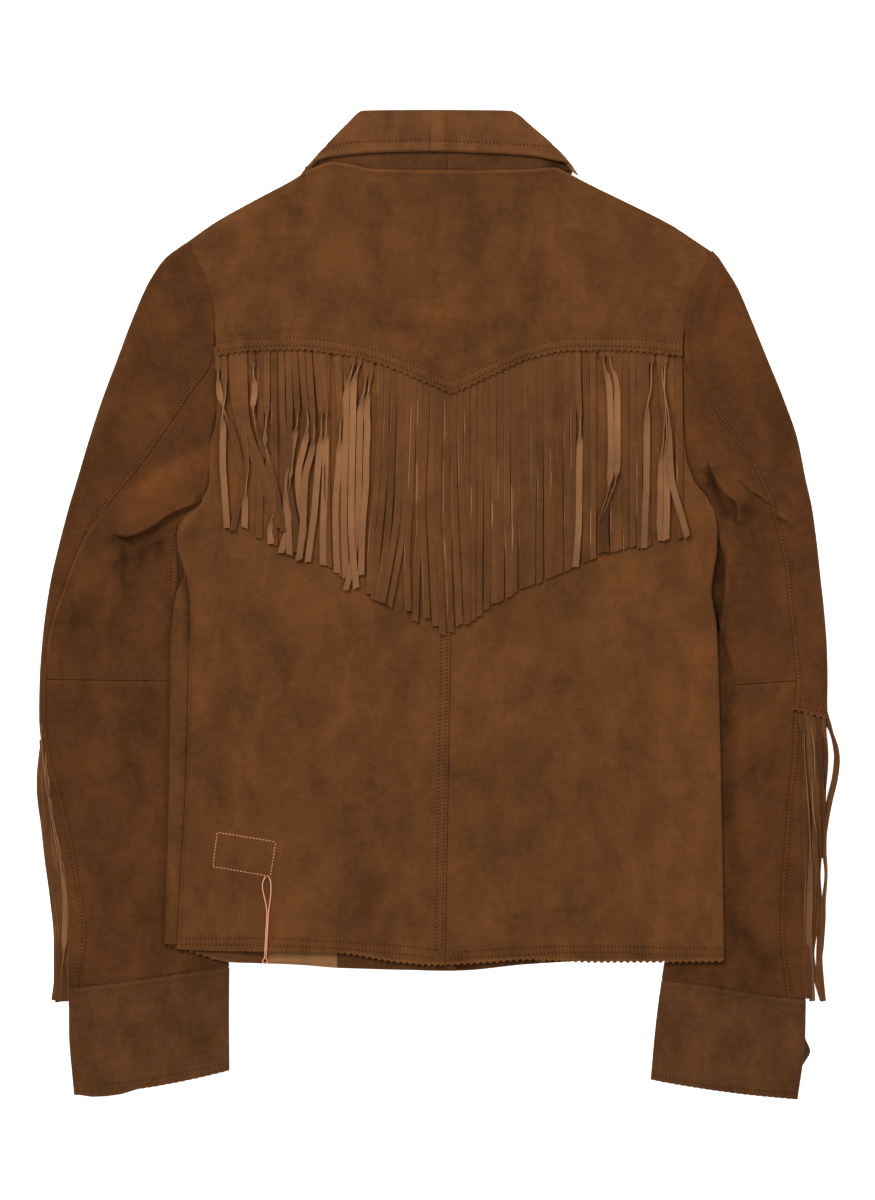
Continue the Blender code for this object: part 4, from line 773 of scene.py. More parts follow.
def thread_material(name, colour, dark):
    """Twisted sewing thread: slanting strands with a soft shine."""
    s = Shader(name)
    wave = s.node("ShaderNodeTexWave", wave_type="BANDS", bands_direction="DIAGONAL")
    s.feed(wave.inputs["Vector"], s.place)
    wave.inputs["Scale"].default_value = 900.0
    wave.inputs["Distortion"].default_value = 1.5
    fuzz = s.noise(1800.0, 2.0)
    blend = s.math("MULTIPLY_ADD", fuzz, 0.6, s.math("MULTIPLY", wave.outputs["Fac"], 0.5), clamp=True)
    s.feed(s.bsdf.inputs["Base Color"], s.mix(blend, dark, colour))
    s.bsdf.inputs["Roughness"].default_value = 0.75
    s.bsdf.inputs["Specular IOR Level"].default_value = 0.10
    bump = s.node("ShaderNodeBump")
    bump.inputs["Strength"].default_value = 0.6
    bump.inputs["Distance"].default_value = 0.00015
    s.feed(bump.inputs["Height"], blend)
    s.feed(s.bsdf.inputs["Normal"], bump.outputs[0])
    return s.material


BODY_SUEDE = suede("suede_body", (0.0940, 0.0350, 0.0104), (0.1135, 0.0380, 0.0106), cloudy=1.08)
SLEEVE_SUEDE = suede("suede_sleeves", (0.0740, 0.0258, 0.0073), (0.0890, 0.0285, 0.0075), mottle=1.15)
CUFF_SUEDE = suede("suede_cuffs", (0.0820, 0.0310, 0.0100), (0.0930, 0.0345, 0.0108), mottle=1.25)
COLLAR_SUEDE = suede("suede_collar", (0.1010, 0.0390, 0.0132), (0.1230, 0.0430, 0.0140), mottle=1.1)
STAND_SUEDE = suede("suede_stand", (0.0800, 0.0300, 0.0098), (0.0930, 0.0325, 0.0100))
FACING_SUEDE = suede("suede_facing", (0.0650, 0.0240, 0.0080), (0.0740, 0.0260, 0.0082))
FRINGE_SUEDE = suede("suede_fringe", (0.1000, 0.0388, 0.0128), (0.1180, 0.0424, 0.0130), mottle=0.8, seams=False)
REVERSE_SUEDE = suede("suede_reverse", (0.2250, 0.1010, 0.0430), (0.2480, 0.1090, 0.0450), mottle=0.45, nap=1.6, seams=False)
# The inside is the reverse side painted lighter, a painted light that makes up for the shade it lies in under the
# back's hem.
INSIDE_SUEDE = suede("suede_inside", (0.2700, 0.1250, 0.0500), (0.2850, 0.1300, 0.0510), mottle=0.6, nap=1.4)
EDGE_SUEDE = suede("suede_cut_edge", (0.2450, 0.1130, 0.0490), (0.2650, 0.1180, 0.0500), mottle=0.9, nap=1.4, seams=False)
DULL_EDGE = suede("suede_folded_edge", (0.1020, 0.0400, 0.0135), (0.1150, 0.0430, 0.0140), seams=False)
STITCH_BROWN = thread_material("thread_brown", (0.052, 0.0160, 0.0056), (0.030, 0.0090, 0.0032))
STITCH_RUST = thread_material("thread_rust", (0.060, 0.0170, 0.0060), (0.030, 0.0080, 0.0030))
STITCH_LIGHT = thread_material("thread_light", (0.200, 0.0800, 0.0320), (0.100, 0.0370, 0.0140))
THREAD_SALMON = thread_material("thread_salmon", (0.95, 0.430, 0.260), (0.72, 0.270, 0.150))


# ------------------------------------------------------------------ making pieces
ROOF = []        # (points, faces) of the pieces that lie uppermost, to lay things on
MADE = {}


def attributes_of(x, y, lines, where="body"):
    tone, red = tones(x, y, where)
    out = {"tone": tone, "red": red}
    for k in range(4):
        row = np.zeros((*np.shape(x), 3))
        row[..., 0] = 99.0
        if k < len(lines):
            d, s, total, _, _ = measure(x, y, lines[k])
            row[..., 0], row[..., 1] = d, s
            row[..., 2] = smooth((s - 0.5) / 1.0) * smooth((total - 0.5 - s) / 1.0)
        out[f"row{k + 1}"] = row
    return out


def new_mesh(name, points, faces, materials, material_of, values, sharp=None):
    mesh = bpy.data.meshes.new(name)
    mesh.from_pydata(((points + SHIFT) * 0.001).tolist(), [], faces.tolist())
    for made in materials:
        mesh.materials.append(made)
    mesh.polygons.foreach_set("material_index", np.asarray(material_of, np.int32))
    mesh.shade_smooth()
    if sharp is not None:
        ends = np.empty(len(mesh.edges) * 2, np.int32)
        mesh.edges.foreach_get("vertices", ends)
        ends = np.sort(ends.reshape(-1, 2).astype(np.int64), axis=1)
        keys = ends[:, 0] * len(points) + ends[:, 1]
        flags = np.isin(keys, sharp)
        mesh.attributes.new("sharp_edge", "BOOLEAN", "EDGE").data.foreach_set("value", flags)
    for key, array in values.items():
        if array.ndim == 1:
            mesh.attributes.new(key, "FLOAT", "POINT").data.foreach_set("value", array.astype(np.float32))
        else:
            mesh.attributes.new(key, "FLOAT_VECTOR", "POINT").data.foreach_set("vector", array.astype(np.float32).ravel())
    mesh.update()
    obj = bpy.data.objects.new(name, mesh)
    bpy.context.scene.collection.objects.link(obj)
    return obj


def grid_faces(rows, cols, keep=None):
    index = np.arange(rows * cols).reshape(rows, cols)
    quads = np.stack([index[:-1, :-1], index[:-1, 1:], index[1:, 1:], index[1:, :-1]], axis=-1)
    quads = quads.reshape(-1, 4)
    return quads if keep is None else quads[keep.ravel()]


def normals_of(grid):
    along, across = np.gradient(grid, axis=0), np.gradient(grid, axis=1)
    n = np.cross(across, along)
    size = np.linalg.norm(n, axis=-1, keepdims=True)
    return n / np.where(size < 1e-9, 1.0, size)


def shell(points, normals, quads, thickness):
    """Both faces and the cut edge of a sheet, as points, faces, their kinds and edge keys."""
    n = len(points)
    used = np.zeros(n, bool)
    used[quads.ravel()] = True
    renumber = np.cumsum(used) - 1
    quads = renumber[quads]
    points, normals = points[used], normals[used]
    n = len(points)
    thick = np.asarray(thickness, float)
    thick = thick[used][:, None] if thick.ndim else thick
    both = np.vstack([points + normals * 0.5 * thick, points - normals * 0.5 * thick])
    ends = np.concatenate([quads[:, [0, 1]], quads[:, [1, 2]], quads[:, [2, 3]], quads[:, [3, 0]]])
    keys = np.sort(ends, axis=1) @ np.array([n, 1])
    _, first, counts = np.unique(keys, return_index=True, return_counts=True)
    rim = ends[first[counts == 1]]
    sides = np.stack([rim[:, 1], rim[:, 0], rim[:, 0] + n, rim[:, 1] + n], axis=1)
    faces = np.vstack([quads, quads[:, ::-1] + n, sides])
    kinds = np.concatenate([np.zeros(len(quads)), np.ones(len(quads)), np.full(len(sides), 2)]).astype(int)
    low, high = np.sort(rim, axis=1).T
    sharp = np.concatenate([low * (2 * n) + high, (low + n) * (2 * n) + high + n])
    return both, faces, kinds, sharp, used


def area_of(grid, keep=None):
    a = grid[1:, 1:] - grid[:-1, :-1]
    b = grid[1:, :-1] - grid[:-1, 1:]
    cells = 0.5 * np.linalg.norm(np.cross(a, b), axis=-1)
    return float((cells if keep is None else cells * keep).sum()) * 1e-6


FLATS = {}


def leather(name, node, grid, lines=(), anchor=None, up=True, keep=None, outside=None, inside=None,
            edge=None, thickness=LEATHER, inside_kind=None, roof=True, tone=None):
    """One cut piece: a shell on its grid of points (mm), whose flat size is noted in FLATS.

    anchor is a cell whose outer side faces up (or down, where up is False).
    """
    rows, cols = grid.shape[:2]
    if "sleeve" in node:
        grid[..., 2] = np.maximum(grid[..., 2], 0.56)
    normals = normals_of(grid)
    quads = grid_faces(rows, cols, keep)
    i, j = anchor or (rows // 2, cols // 2)
    if (normals[i, j, 2] > 0) != up:
        normals, quads = -normals, quads[:, ::-1]
    thick = np.ravel(thickness) if np.ndim(thickness) else thickness
    points, faces, kinds, sharp, used = shell(grid.reshape(-1, 3), normals.reshape(-1, 3), quads, thick)
    where = "body"
    if "sleeve" in node or "cuff" in node:
        where = "left" if node.endswith("left") else "right"
    values = attributes_of(grid[..., 0], grid[..., 1], list(lines), where)
    if tone is not None:
        values["tone"] = values["tone"] + tone
    both = {}
    for key, array in values.items():
        array = array.reshape(-1, 3) if array.ndim == 3 else array.ravel()
        both[key] = np.concatenate([array[used], array[used]])
    if inside_kind is not None:
        inner = np.where(kinds == 1)[0]
        middle = points[faces[inner]].mean(axis=1)
        kinds[inner] = inside_kind(middle[:, 0], middle[:, 1])
    materials = [outside or BODY_SUEDE, inside or REVERSE_SUEDE, edge or EDGE_SUEDE, DULL_EDGE]
    obj = new_mesh(name, points, faces, materials, kinds, both, sharp)
    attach(obj, "root")
    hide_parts(node)
    # The flat size is the longest row by the longest column of the piece.
    across = np.linalg.norm(np.diff(grid, axis=1), axis=-1).sum(axis=1).max() * 0.001
    along = np.linalg.norm(np.diff(grid, axis=0), axis=-1).sum(axis=0).max() * 0.001
    area = min(area_of(grid, keep), 0.999 * across * along)
    FLATS[node] = (across, along, area)
    if roof:
        ROOF.append((points, faces[kinds != 2]))
    MADE[name] = obj
    return obj


def tooth(columns):
    """Outline of a pinked edge: every other column is a point."""
    return np.where(np.arange(columns) % 2 == 0, 0.5, -0.5) * TOOTH_DEPTH


STITCHES = []    # (line, colour, pitch, length, radius, group)


def stitch(line, colour="brown", pitch=3.0, length=1.4, radius=0.31):
    STITCHES.append((np.asarray(line, float), colour, pitch, length, radius))


def offset(line, distance):
    """The line moved to its left by a distance."""
    line = np.asarray(line, float)
    d = np.gradient(line, axis=0)
    d /= np.linalg.norm(d, axis=1, keepdims=True)
    return line + np.stack([-d[:, 1], d[:, 0]], axis=1) * distance


def seam_roll(distance, height=0.6, width=3.0):
    """Height of the soft roll beside a seam or edge, from the distance to it."""
    return height * np.exp(-((np.asarray(distance) / width) ** 2))


# ------------------------------------------------------------------ floor
def make_floor():
    mesh = bpy.data.meshes.new("floor")
    n = 3.0
    mesh.from_pydata([(-n, -n, -0.0006), (n, -n, -0.0006), (n, n, -0.0006), (-n, n, -0.0006)], [], [(0, 1, 2, 3)])
    shade = Shader("floor_paper")
    grain = shade.noise(60.0, 3.0)
    shade.feed(shade.bsdf.inputs["Base Color"], shade.mix(grain, (0.90, 0.90, 0.90), (0.93, 0.93, 0.93)))
    shade.bsdf.inputs["Roughness"].default_value = 0.9
    shade.bsdf.inputs["Specular IOR Level"].default_value = 0.1
    # A light table: the surface glows a little, so that shadows on it stay pale.
    shade.bsdf.inputs["Emission Color"].default_value = (1.0, 1.0, 1.0, 1.0)
    shade.bsdf.inputs["Emission Strength"].default_value = 0.85
    mesh.materials.append(shade.material)
    floor = bpy.data.objects.new("floor", mesh)
    bpy.context.scene.collection.objects.link(floor)


make_floor()


# ------------------------------------------------------------------ seams and stitch rows on the back
def on_yoke(d, x0=-176.2, x1=194.8):
    xs = np.arange(x0, x1, 2.0)
    return np.stack([xs, yoke_low(xs) + d], axis=1)


def down_body(shift, y0, y1, of):
    ys = np.arange(y0, y1, -4.0)
    return np.stack([of(ys) + shift, ys], axis=1)


YOKE_ROWS = [on_yoke(3.4), on_yoke(9.6)]
HEM_LEFT = [
    curve_through(at((181, 938), (267, 938), (347, 942), (404, 946), (440, 950.4)), 3.0),
    curve_through(at((181, 944), (267, 945), (347, 949), (404, 954), (437, 957.8)), 3.0),
]
HEM_RIGHT = [
    curve_through(at((452, 951.6), (497, 949), (555, 946.3), (612, 945.7), (670, 947.6), (722, 947.6)), 3.0),
    curve_through(at((449, 958.2), (497, 956), (555, 952.6), (612, 952), (650, 954), (722, 955)), 3.0),
]
CENTRE_ROWS = [down_body(-5.0, 0.0, -280.0, centre_back), down_body(0.2, 40.0, -280.0, centre_back)]
SIDE_ROW = down_body(2.6, -29.0, -270.0, body_seam)

# ------------------------------------------------------------------ body
def make_yoke():
    t = np.arange(147) / 146.0
    low_x, top_x = lerp(-176.7, 195.2, t), lerp(-200.4, 217.6, t)
    above = np.array([0, 1.6, 3.2, 4.8, 6.4, 8.0, 9.6, 11.4, 13.4, 15.6, 18, 21, 24, 27, 30.0])
    y = [yoke_low(low_x) + d + (tooth(147) if d == 0 else 0.0) for d in above]
    top = yoke_top(top_x) - 0.3
    rise = np.concatenate([np.linspace(0, 1, 46)[1:-3], [0.95, 0.965, 0.978, 0.99, 1.0]])
    y += [lerp(yoke_low(low_x) + 30.0, top, v) for v in rise]
    y = np.array(y)
    x = lerp(body_left(y) + 0.3, body_right(y) - 0.3, t)
    z = yoke_height(x, y) + relief("body", x, y)
    shoulder = smooth((np.abs(x - 1.0) - 104.0) / 14.0)
    near_top = top[None, :] - y
    z -= 1.6 * shoulder * (1.0 - smooth(near_top / 8.0))
    z += seam_roll(near_top - 1.1, 1.0, 1.8) * (1.0 - shoulder)
    rim = np.minimum(x - body_left(y), body_right(y) - x)
    z += seam_roll(rim - 3.0, 0.30, 3.0) - seam_roll(rim, 0.55, 1.6)
    low = y - yoke_low(x)
    z -= 0.75 * (1.0 - smooth((low - 12.0) / 12.0))
    z += 0.40 * np.exp(-(((low - 6.4) / 2.6) ** 2)) - 0.30 * np.exp(-(((low - 14.0) / 3.0) ** 2))
    for row in YOKE_ROWS:
        stitch(row)
    # A slit of light on the pinked points, where the cut edge is fuzzy.
    tone = 0.10 * np.exp(-((low / 1.6) ** 2)) + 0.13 * np.exp(-(((low - 6.0) / 4.6) ** 4))
    # A painted highlight along the rolled top edge at the neck seam, and a slight overall darkening.
    tone += 0.42 * np.exp(-(((near_top - 0.9) / 1.1) ** 2)) * (1.0 - 0.7 * shoulder) - 0.05
    tone += 0.22 * np.exp(-((low / 0.8) ** 2))
    return leather("back_yoke_suede", "back_yoke", np.stack([x, y, z], axis=-1), lines=YOKE_ROWS,
                   tone=tone)


def make_back(side):
    word = "left" if side < 0 else "right"
    t = np.concatenate([np.arange(86) / 86.0, [0.995, 1.0]])
    rows = 152
    y = np.tile(np.linspace(1.0, 0.0, rows)[:, None], (1, len(t)))
    x = np.zeros_like(y)
    v = 1.0 - y

    def edge(yy):
        if side > 0:
            return body_right(yy) - np.where(yy > UNDERARM_RIGHT, 0.3, 0.9)
        return np.where(yy > UNDERARM_LEFT, body_seam(yy) + 0.3, np.maximum(body_seam(yy) + 0.25, body_left(yy) + 1.6))

    # The left panel laps a little over the right one down the centre.
    lap = 2.2 if side < 0 else 0.15
    yy = lerp(190.0, -285.0, v)
    for _ in range(6):
        x = lerp(edge(yy), centre_back(yy) + lap, t)
        top, low = yoke_low(x) + BACK_UNDER_YOKE, back_hem(x)
        plain = smooth((x + 84.0) / 12.0) if side < 0 else 1.0
        low = low + np.where(v >= 1.0, tooth(len(t)) * lerp(0.2, 1.0, plain), 0.0)
        yy = lerp(top, low, v)
    y = yy
    z = back_height(x, y) + relief("body", x, y)
    centre = centre_back(y)
    if side < 0:
        z += 0.55 * smooth((x - centre + 9.0) / 3.0) + 0.30 * np.exp(-(((x - centre - 1.2) / 1.2) ** 2))
        z += np.where(y < 60.0, seam_roll(x - edge(y) - 0.8, 0.7, 2.2), 0.0)
        z += np.where(y >= 60.0, seam_roll(x - edge(y) - 3.0, 0.35, 3.0) - seam_roll(x - edge(y), 0.5, 1.6), 0.0)
    else:
        z -= 0.55 * smooth((centre + 5.0 - x) / 4.0)
        z += 0.35 * smooth((84.0 - y) / 30.0) * np.exp(-(((x - edge(y) + 5.0) / 4.0) ** 2))
    z += 0.3 * np.exp(-(((y - back_hem(x) - 12.0) / 5.0) ** 2)) - 0.25 * np.exp(-(((y - back_hem(x) - 24.0) / 6.0) ** 2))
    grid = np.stack([x, y, z], axis=-1)
    keep = None
    if side > 0:
        x0, y0, z0 = x[:, 0], y[:, 0], z[:, 0]
        low = front_height(x0, y0)
        wrap = []
        for s in (1.0, 0.7, 0.4, 0.15):
            xs = x0 - SIDE_WRAP * s
            wrap.append(np.stack([xs, y0, front_height(xs, y0)], axis=-1))
        for a in (180.0, 150.0, 120.0, 90.0, 60.0, 30.0):
            turn = math.radians(a)
            wrap.append(np.stack([x0 + 1.1 * math.sin(turn), y0, lerp(low, z0, 0.5 * (1.0 + math.cos(turn)))], axis=-1))
        grid = np.concatenate([np.stack(wrap, axis=1), grid], axis=1)
        keep = np.ones((grid.shape[0] - 1, grid.shape[1] - 1), bool)
        keep[:, : len(wrap)] = (y0[:-1] < UNDERARM_RIGHT - 4.0)[:, None]
    lines = (HEM_LEFT if side < 0 else HEM_RIGHT) + (CENTRE_ROWS[:2] if side < 0 else [CENTRE_ROWS[1]])
    if side < 0:
        lines = HEM_LEFT + CENTRE_ROWS
        for row in HEM_LEFT + CENTRE_ROWS + [SIDE_ROW]:
            stitch(row)
    else:
        for row in HEM_RIGHT:
            stitch(row)
    gx, gy = grid[..., 0], grid[..., 1]
    plain = 1.0 if side > 0 else smooth((gx + 84.0) / 12.0)
    # Tone: a lighter pinked hem where the cut edge shows, painted light on the panel under the fringe so that the shade
    # in the gaps between strips looks paler, and slightly lighter towards the sides.
    cut = (0.55 * plain + 0.08) * (np.abs(gy - back_hem(gx)) < 1.25)
    cut = cut + 0.16 * smooth((gy - STRIP_END(np.clip(gx, -168.0, 198.0)) - 5.0) / 4.0) * smooth((gx + 170.0) / 6.0) + 0.02 + 0.04 * smooth((np.abs(gx) - 40.0) / 40.0)
    return leather(f"back_{word}_suede", f"back_panel_{word}", grid, lines=lines, keep=keep,
                   anchor=(60, grid.shape[1] - 30), tone=cut)


def front_grid(side, rows, columns, first=None, teeth=True, lift=0.0, trim=0.0):
    shoulder_x = -200.4 if side < 0 else 217.6
    opening = LEFT_FRONT_EDGE if side < 0 else RIGHT_FRONT_EDGE
    start = shoulder_x if first is None else first
    tops = np.linspace(start, opening, columns)
    neck = (-108.0, 14.5) if side < 0 else (-1.5, 109.0)
    in_neck = (tops >= neck[0]) & (tops <= neck[1])
    top = np.where(in_neck, front_neck(tops) - 0.4, yoke_top(tops) - 0.3) - trim
    v = np.concatenate([np.linspace(0.0, 0.93, rows - 12), np.linspace(0.94, 1.0, 12)])[:, None]
    part = np.clip((tops - shoulder_x) / (opening - shoulder_x), 0.0, 1.0)

    def outer(y):
        if side < 0:
            return body_left(y) + np.where(y > UNDERARM_LEFT, 0.3, 0.9)
        return lerp(body_right(y) - 0.3, body_right(y) - SIDE_WRAP - 1.5, smooth((UNDERARM_RIGHT - y) / 12.0))

    y = lerp(top, -280.0, v)
    for _ in range(5):
        x = np.tile(tops, (rows, 1)) if first is not None else lerp(outer(y), opening, part)
        pinked = tooth(columns) * (tops < -166.0)
        low = front_hem(x) + trim + np.where((v >= 1.0) & teeth, pinked, 0.0)
        y = lerp(top, low, v)
    z = front_height(x, y) + lift
    if side < 0:
        z = z + 2.0 * STEP * smooth((x - RIGHT_FRONT_EDGE + 16.0) / 11.0)
    z = z + (0.9 * smooth((np.abs(x - 1.0) - 104.0) / 14.0) * (1.0 - smooth(v / 0.08)) if first is None else 0.0)
    return np.stack([x, y, z], axis=-1)


def make_front(side):
    word = "left" if side < 0 else "right"
    grid = front_grid(side, 92, 84)
    keep = None
    wrap = 0
    if side < 0:
        x0, y0, z0 = (grid[:, 0, k] for k in range(3))
        seam_x = np.maximum(body_seam(y0) - 0.25, x0 + 0.3)
        parts = []
        for s in (1.0, 0.95, 0.89, 0.82, 0.74, 0.64, 0.52, 0.4, 0.27, 0.12):
            xs = lerp(x0, seam_x, s)
            zs = back_height(xs, y0) + 0.6 * relief("body", xs, y0) + 0.4 * math.sin(math.pi * s) - 0.35 * s**4
            parts.append(np.stack([xs, y0, zs], axis=-1))
        high = parts[-1][:, 2]
        for a in (180.0, 150.0, 120.0, 90.0, 60.0, 30.0):
            turn = math.radians(a)
            parts.append(np.stack([x0 - 1.1 * math.sin(turn), y0, lerp(high, z0, 0.5 * (1.0 + math.cos(turn)))], axis=-1))
        wrap = len(parts)
        grid = np.concatenate([np.stack(parts, axis=1), grid], axis=1)
        keep = np.ones((grid.shape[0] - 1, grid.shape[1] - 1), bool)
        keep[:, :wrap] = (y0[:-1] < UNDERARM_LEFT - 4.0)[:, None]

    def kind(x, y):
        # Inside, the nap is dark by the left side seam and light tan elsewhere.
        brown = (x < -136.0) if side < 0 else (x > 86.0)
        return np.where(brown & (y < -250.0), 3, 1)

    gap = grid[..., 1] - front_hem(grid[..., 0])
    tone = 0.62 * np.exp(-(((gap + 0.5) / 1.1) ** 2)) * smooth((-160.0 - grid[..., 0]) / 6.0) - 0.12 * np.exp(-((gap / 9.0) ** 2))
    if side < 0:
        stitch(curve_through(at((271, 957), (300, 958), (335, 960.5)), 3.0), "light", radius=0.26)
        stitch(curve_through(at((271, 962), (300, 963), (335, 964.5)), 3.0), "light", radius=0.26)
    return leather(f"front_{word}_suede", f"front_{word}", grid, keep=keep, up=False, tone=tone,
                   anchor=(46, wrap + 40), inside=INSIDE_SUEDE, inside_kind=kind)


def make_facing(side):
    word = "left" if side < 0 else "right"
    first = -80.5 if side < 0 else 80.0
    grid = front_grid(side, 70, 38, first=first, lift=STEP, trim=0.4)
    tone = 0.28 * smooth((grid[..., 0] - 6.6) / 1.0) if side < 0 else np.zeros(grid.shape[:2])
    return leather(f"facing_{word}_suede", f"front_facing_{word}", grid, anchor=(35, 19), tone=tone,
                   outside=FACING_SUEDE, inside=REVERSE_SUEDE, edge=EDGE_SUEDE)


# ------------------------------------------------------------------ sleeves
OUTER_LEFT, OUTER_RIGHT = column(SLEEVE_LEFT, 0, 1), column(SLEEVE_RIGHT, 0, 1)


def table_rows(table, ats):
    """Every column at these row numbers, going straight on beyond the table's ends."""
    ats = np.asarray(ats, float)
    last = len(table) - 1
    out = []
    for k in range(len(table[0])):
        more = (table[-1][k] - table[-2][k]) * np.maximum(ats - last, 0.0)
        out.append(column(table, k)(ats) + (more if k < 4 else 0.0))
    if last == 20 and len(table[0]) == 5:
        # Below the underarm the inner fold reaches a little way under the body.
        ix, iy = out[2], out[3]
        under = smooth((84.0 - iy) / 12.0)
        if table[0][0] < 0:
            out[2] = ix + np.maximum(body_left(iy) + 4.0 - ix, 0.0) * under
        else:
            out[2] = ix - np.maximum(ix - body_right(iy) + 4.5, 0.0) * under
    return out


def tucked(grid, rows, amount, middle):
    """Rows of a sleeve's end moved inwards, so that they lie inside the piece next to it."""
    z = grid[rows, :, 2]
    f = np.clip((z - 2.7) / 2.1, -1.0, 1.0)
    grid[rows, :, 2] -= amount * f
    grid[rows, :, 0] += np.sign(middle - grid[rows, :, 0]) * amount * np.sqrt(1.0 - f * f)


def wall_point(row, part, wall, group):
    ox, oy, ix, iy = row[:4]
    x, y = lerp(ox, ix, part), lerp(oy, iy, part)
    if wall == "bottom":
        return np.stack([x, y, np.full_like(x, FLOOR)], axis=-1)
    z = sleeve_height(x, y)
    # Near and under the body the sleeve stays on its own level.
    free = np.where(x < 0, body_left(y) - x, x - body_right(y))
    free = smooth((free + 1.0) / 9.0)
    width = np.hypot(ix - ox, iy - oy)
    rim = smooth((part * width) / 6.0)
    point = np.stack([x, y, z + relief(group, x, y) * free * rim], axis=-1)
    point = hang_lips(group, point, free * rim)
    # The two walls never pass through each other.
    point[..., 2] = np.maximum(point[..., 2], np.where(part * width > 3.0, 2.0, 0.0))
    # At the yoke's thick lower corner the armhole lifts the sleeve with it.
    apart = np.maximum(np.where(x < 0, body_left(y) - x, x - body_right(y)), 0.0)
    point[..., 2] += 1.5 * np.exp(-((apart / 10.0) ** 2)) * smooth((y - 182.0) / 14.0) * smooth((262.0 - y) / 30.0) * rim
    # Past its own fold, under the body, the sleeve's seam allowance lies low and dark.
    past = np.where(x < 0, x - inner_left(y), inner_right(y) - x)
    point[..., 2] -= np.where(y < 66.0, smooth((66.0 - y) / 10.0), 0.0) * 2.4 * smooth((past - 0.5) / 2.0)
    point[..., 2] -= seam_roll(np.where(y > 75.0, free * 9.0, 99.0), 0.35, 2.4)
    return point


def fold_points(row, inner, count, group):
    ox, oy, ix, iy = row[:4]
    top = wall_point(row, np.full_like(ox, 1.0 if inner else 0.0), "top", group)[..., 2]
    width = np.hypot(ix - ox, iy - oy)
    dx, dy = (ix - ox) / width, (iy - oy) / width
    radius = 0.5 * (top - FLOOR)
    bulge = np.full_like(radius, 1.9) if not inner else np.minimum(1.9, radius)
    out = []
    for a in np.pi * (np.arange(count) + 1) / (count + 1):
        reach = bulge * math.sin(a)
        cx = np.where(inner, ix - dx * bulge + dx * reach, ox + dx * bulge - dx * reach)
        cy = np.where(inner, iy - dy * bulge + dy * reach, oy + dy * bulge - dy * reach)
        out.append(np.stack([cx, cy, FLOOR + radius * (1.0 + math.cos(a))], axis=-1))
    return out


def sleeve_ats(table, first, last, fine):
    """Row numbers down a sleeve, 3 mm apart, and 1.2 mm apart in the fine stretch."""
    ys = np.array([row[1] for row in table])
    out, a = [first], first
    while a < last:
        i = min(int(a), len(ys) - 2)
        pace = abs(ys[i + 1] - ys[i])
        y = lerp(ys[i], ys[i + 1], a - i)
        a += (fine[2] if fine[0] > y > fine[1] else 3.0) / max(pace, 4.0)
        out.append(min(a, last))
    return np.array(out)


def seam_line(table, first, last, shift):
    """The long seam of a sleeve as a line, moved outwards by shift (mm)."""
    ats = np.linspace(first, last, int((last - first) * 8) + 2)
    ox, oy, ix, iy, seam = table_rows(table, ats)
    x, y = lerp(ox, ix, seam), lerp(oy, iy, seam)
    width = np.hypot(ix - ox, iy - oy)
    return np.stack([x - (ix - ox) / width * shift, y - (iy - oy) / width * shift], axis=1)


def sleeve_frame(table, first, last, fine):
    ats = sleeve_ats(table, first, last, fine)
    if first > 12.0:
        ats = np.concatenate([[first - 0.16, first - 0.06], ats])
    if last > 19.0:
        ats = np.concatenate([ats, [20.04, 20.12]])
    row = [r for r in table_rows(table, ats)]
    width = np.hypot(row[2] - row[0], row[3] - row[1])
    return ats, row, width


def tuck_ends(grid, first, last, row):
    middle = 0.5 * (row[0] + row[2])
    if first > 12.0:
        tucked(grid, 0, 1.7, middle[0])
        tucked(grid, 1, 1.4, middle[1])
    if last > 19.0:
        tucked(grid, -1, 1.7, middle[-1])
        tucked(grid, -2, 1.4, middle[-2])


ELBOW_END = column([tuple(p) for p in at((780, 706), (794, 709.5), (807.6, 713), (819, 716.4), (828, 718.7), (836, 720.5))], 1, 0)


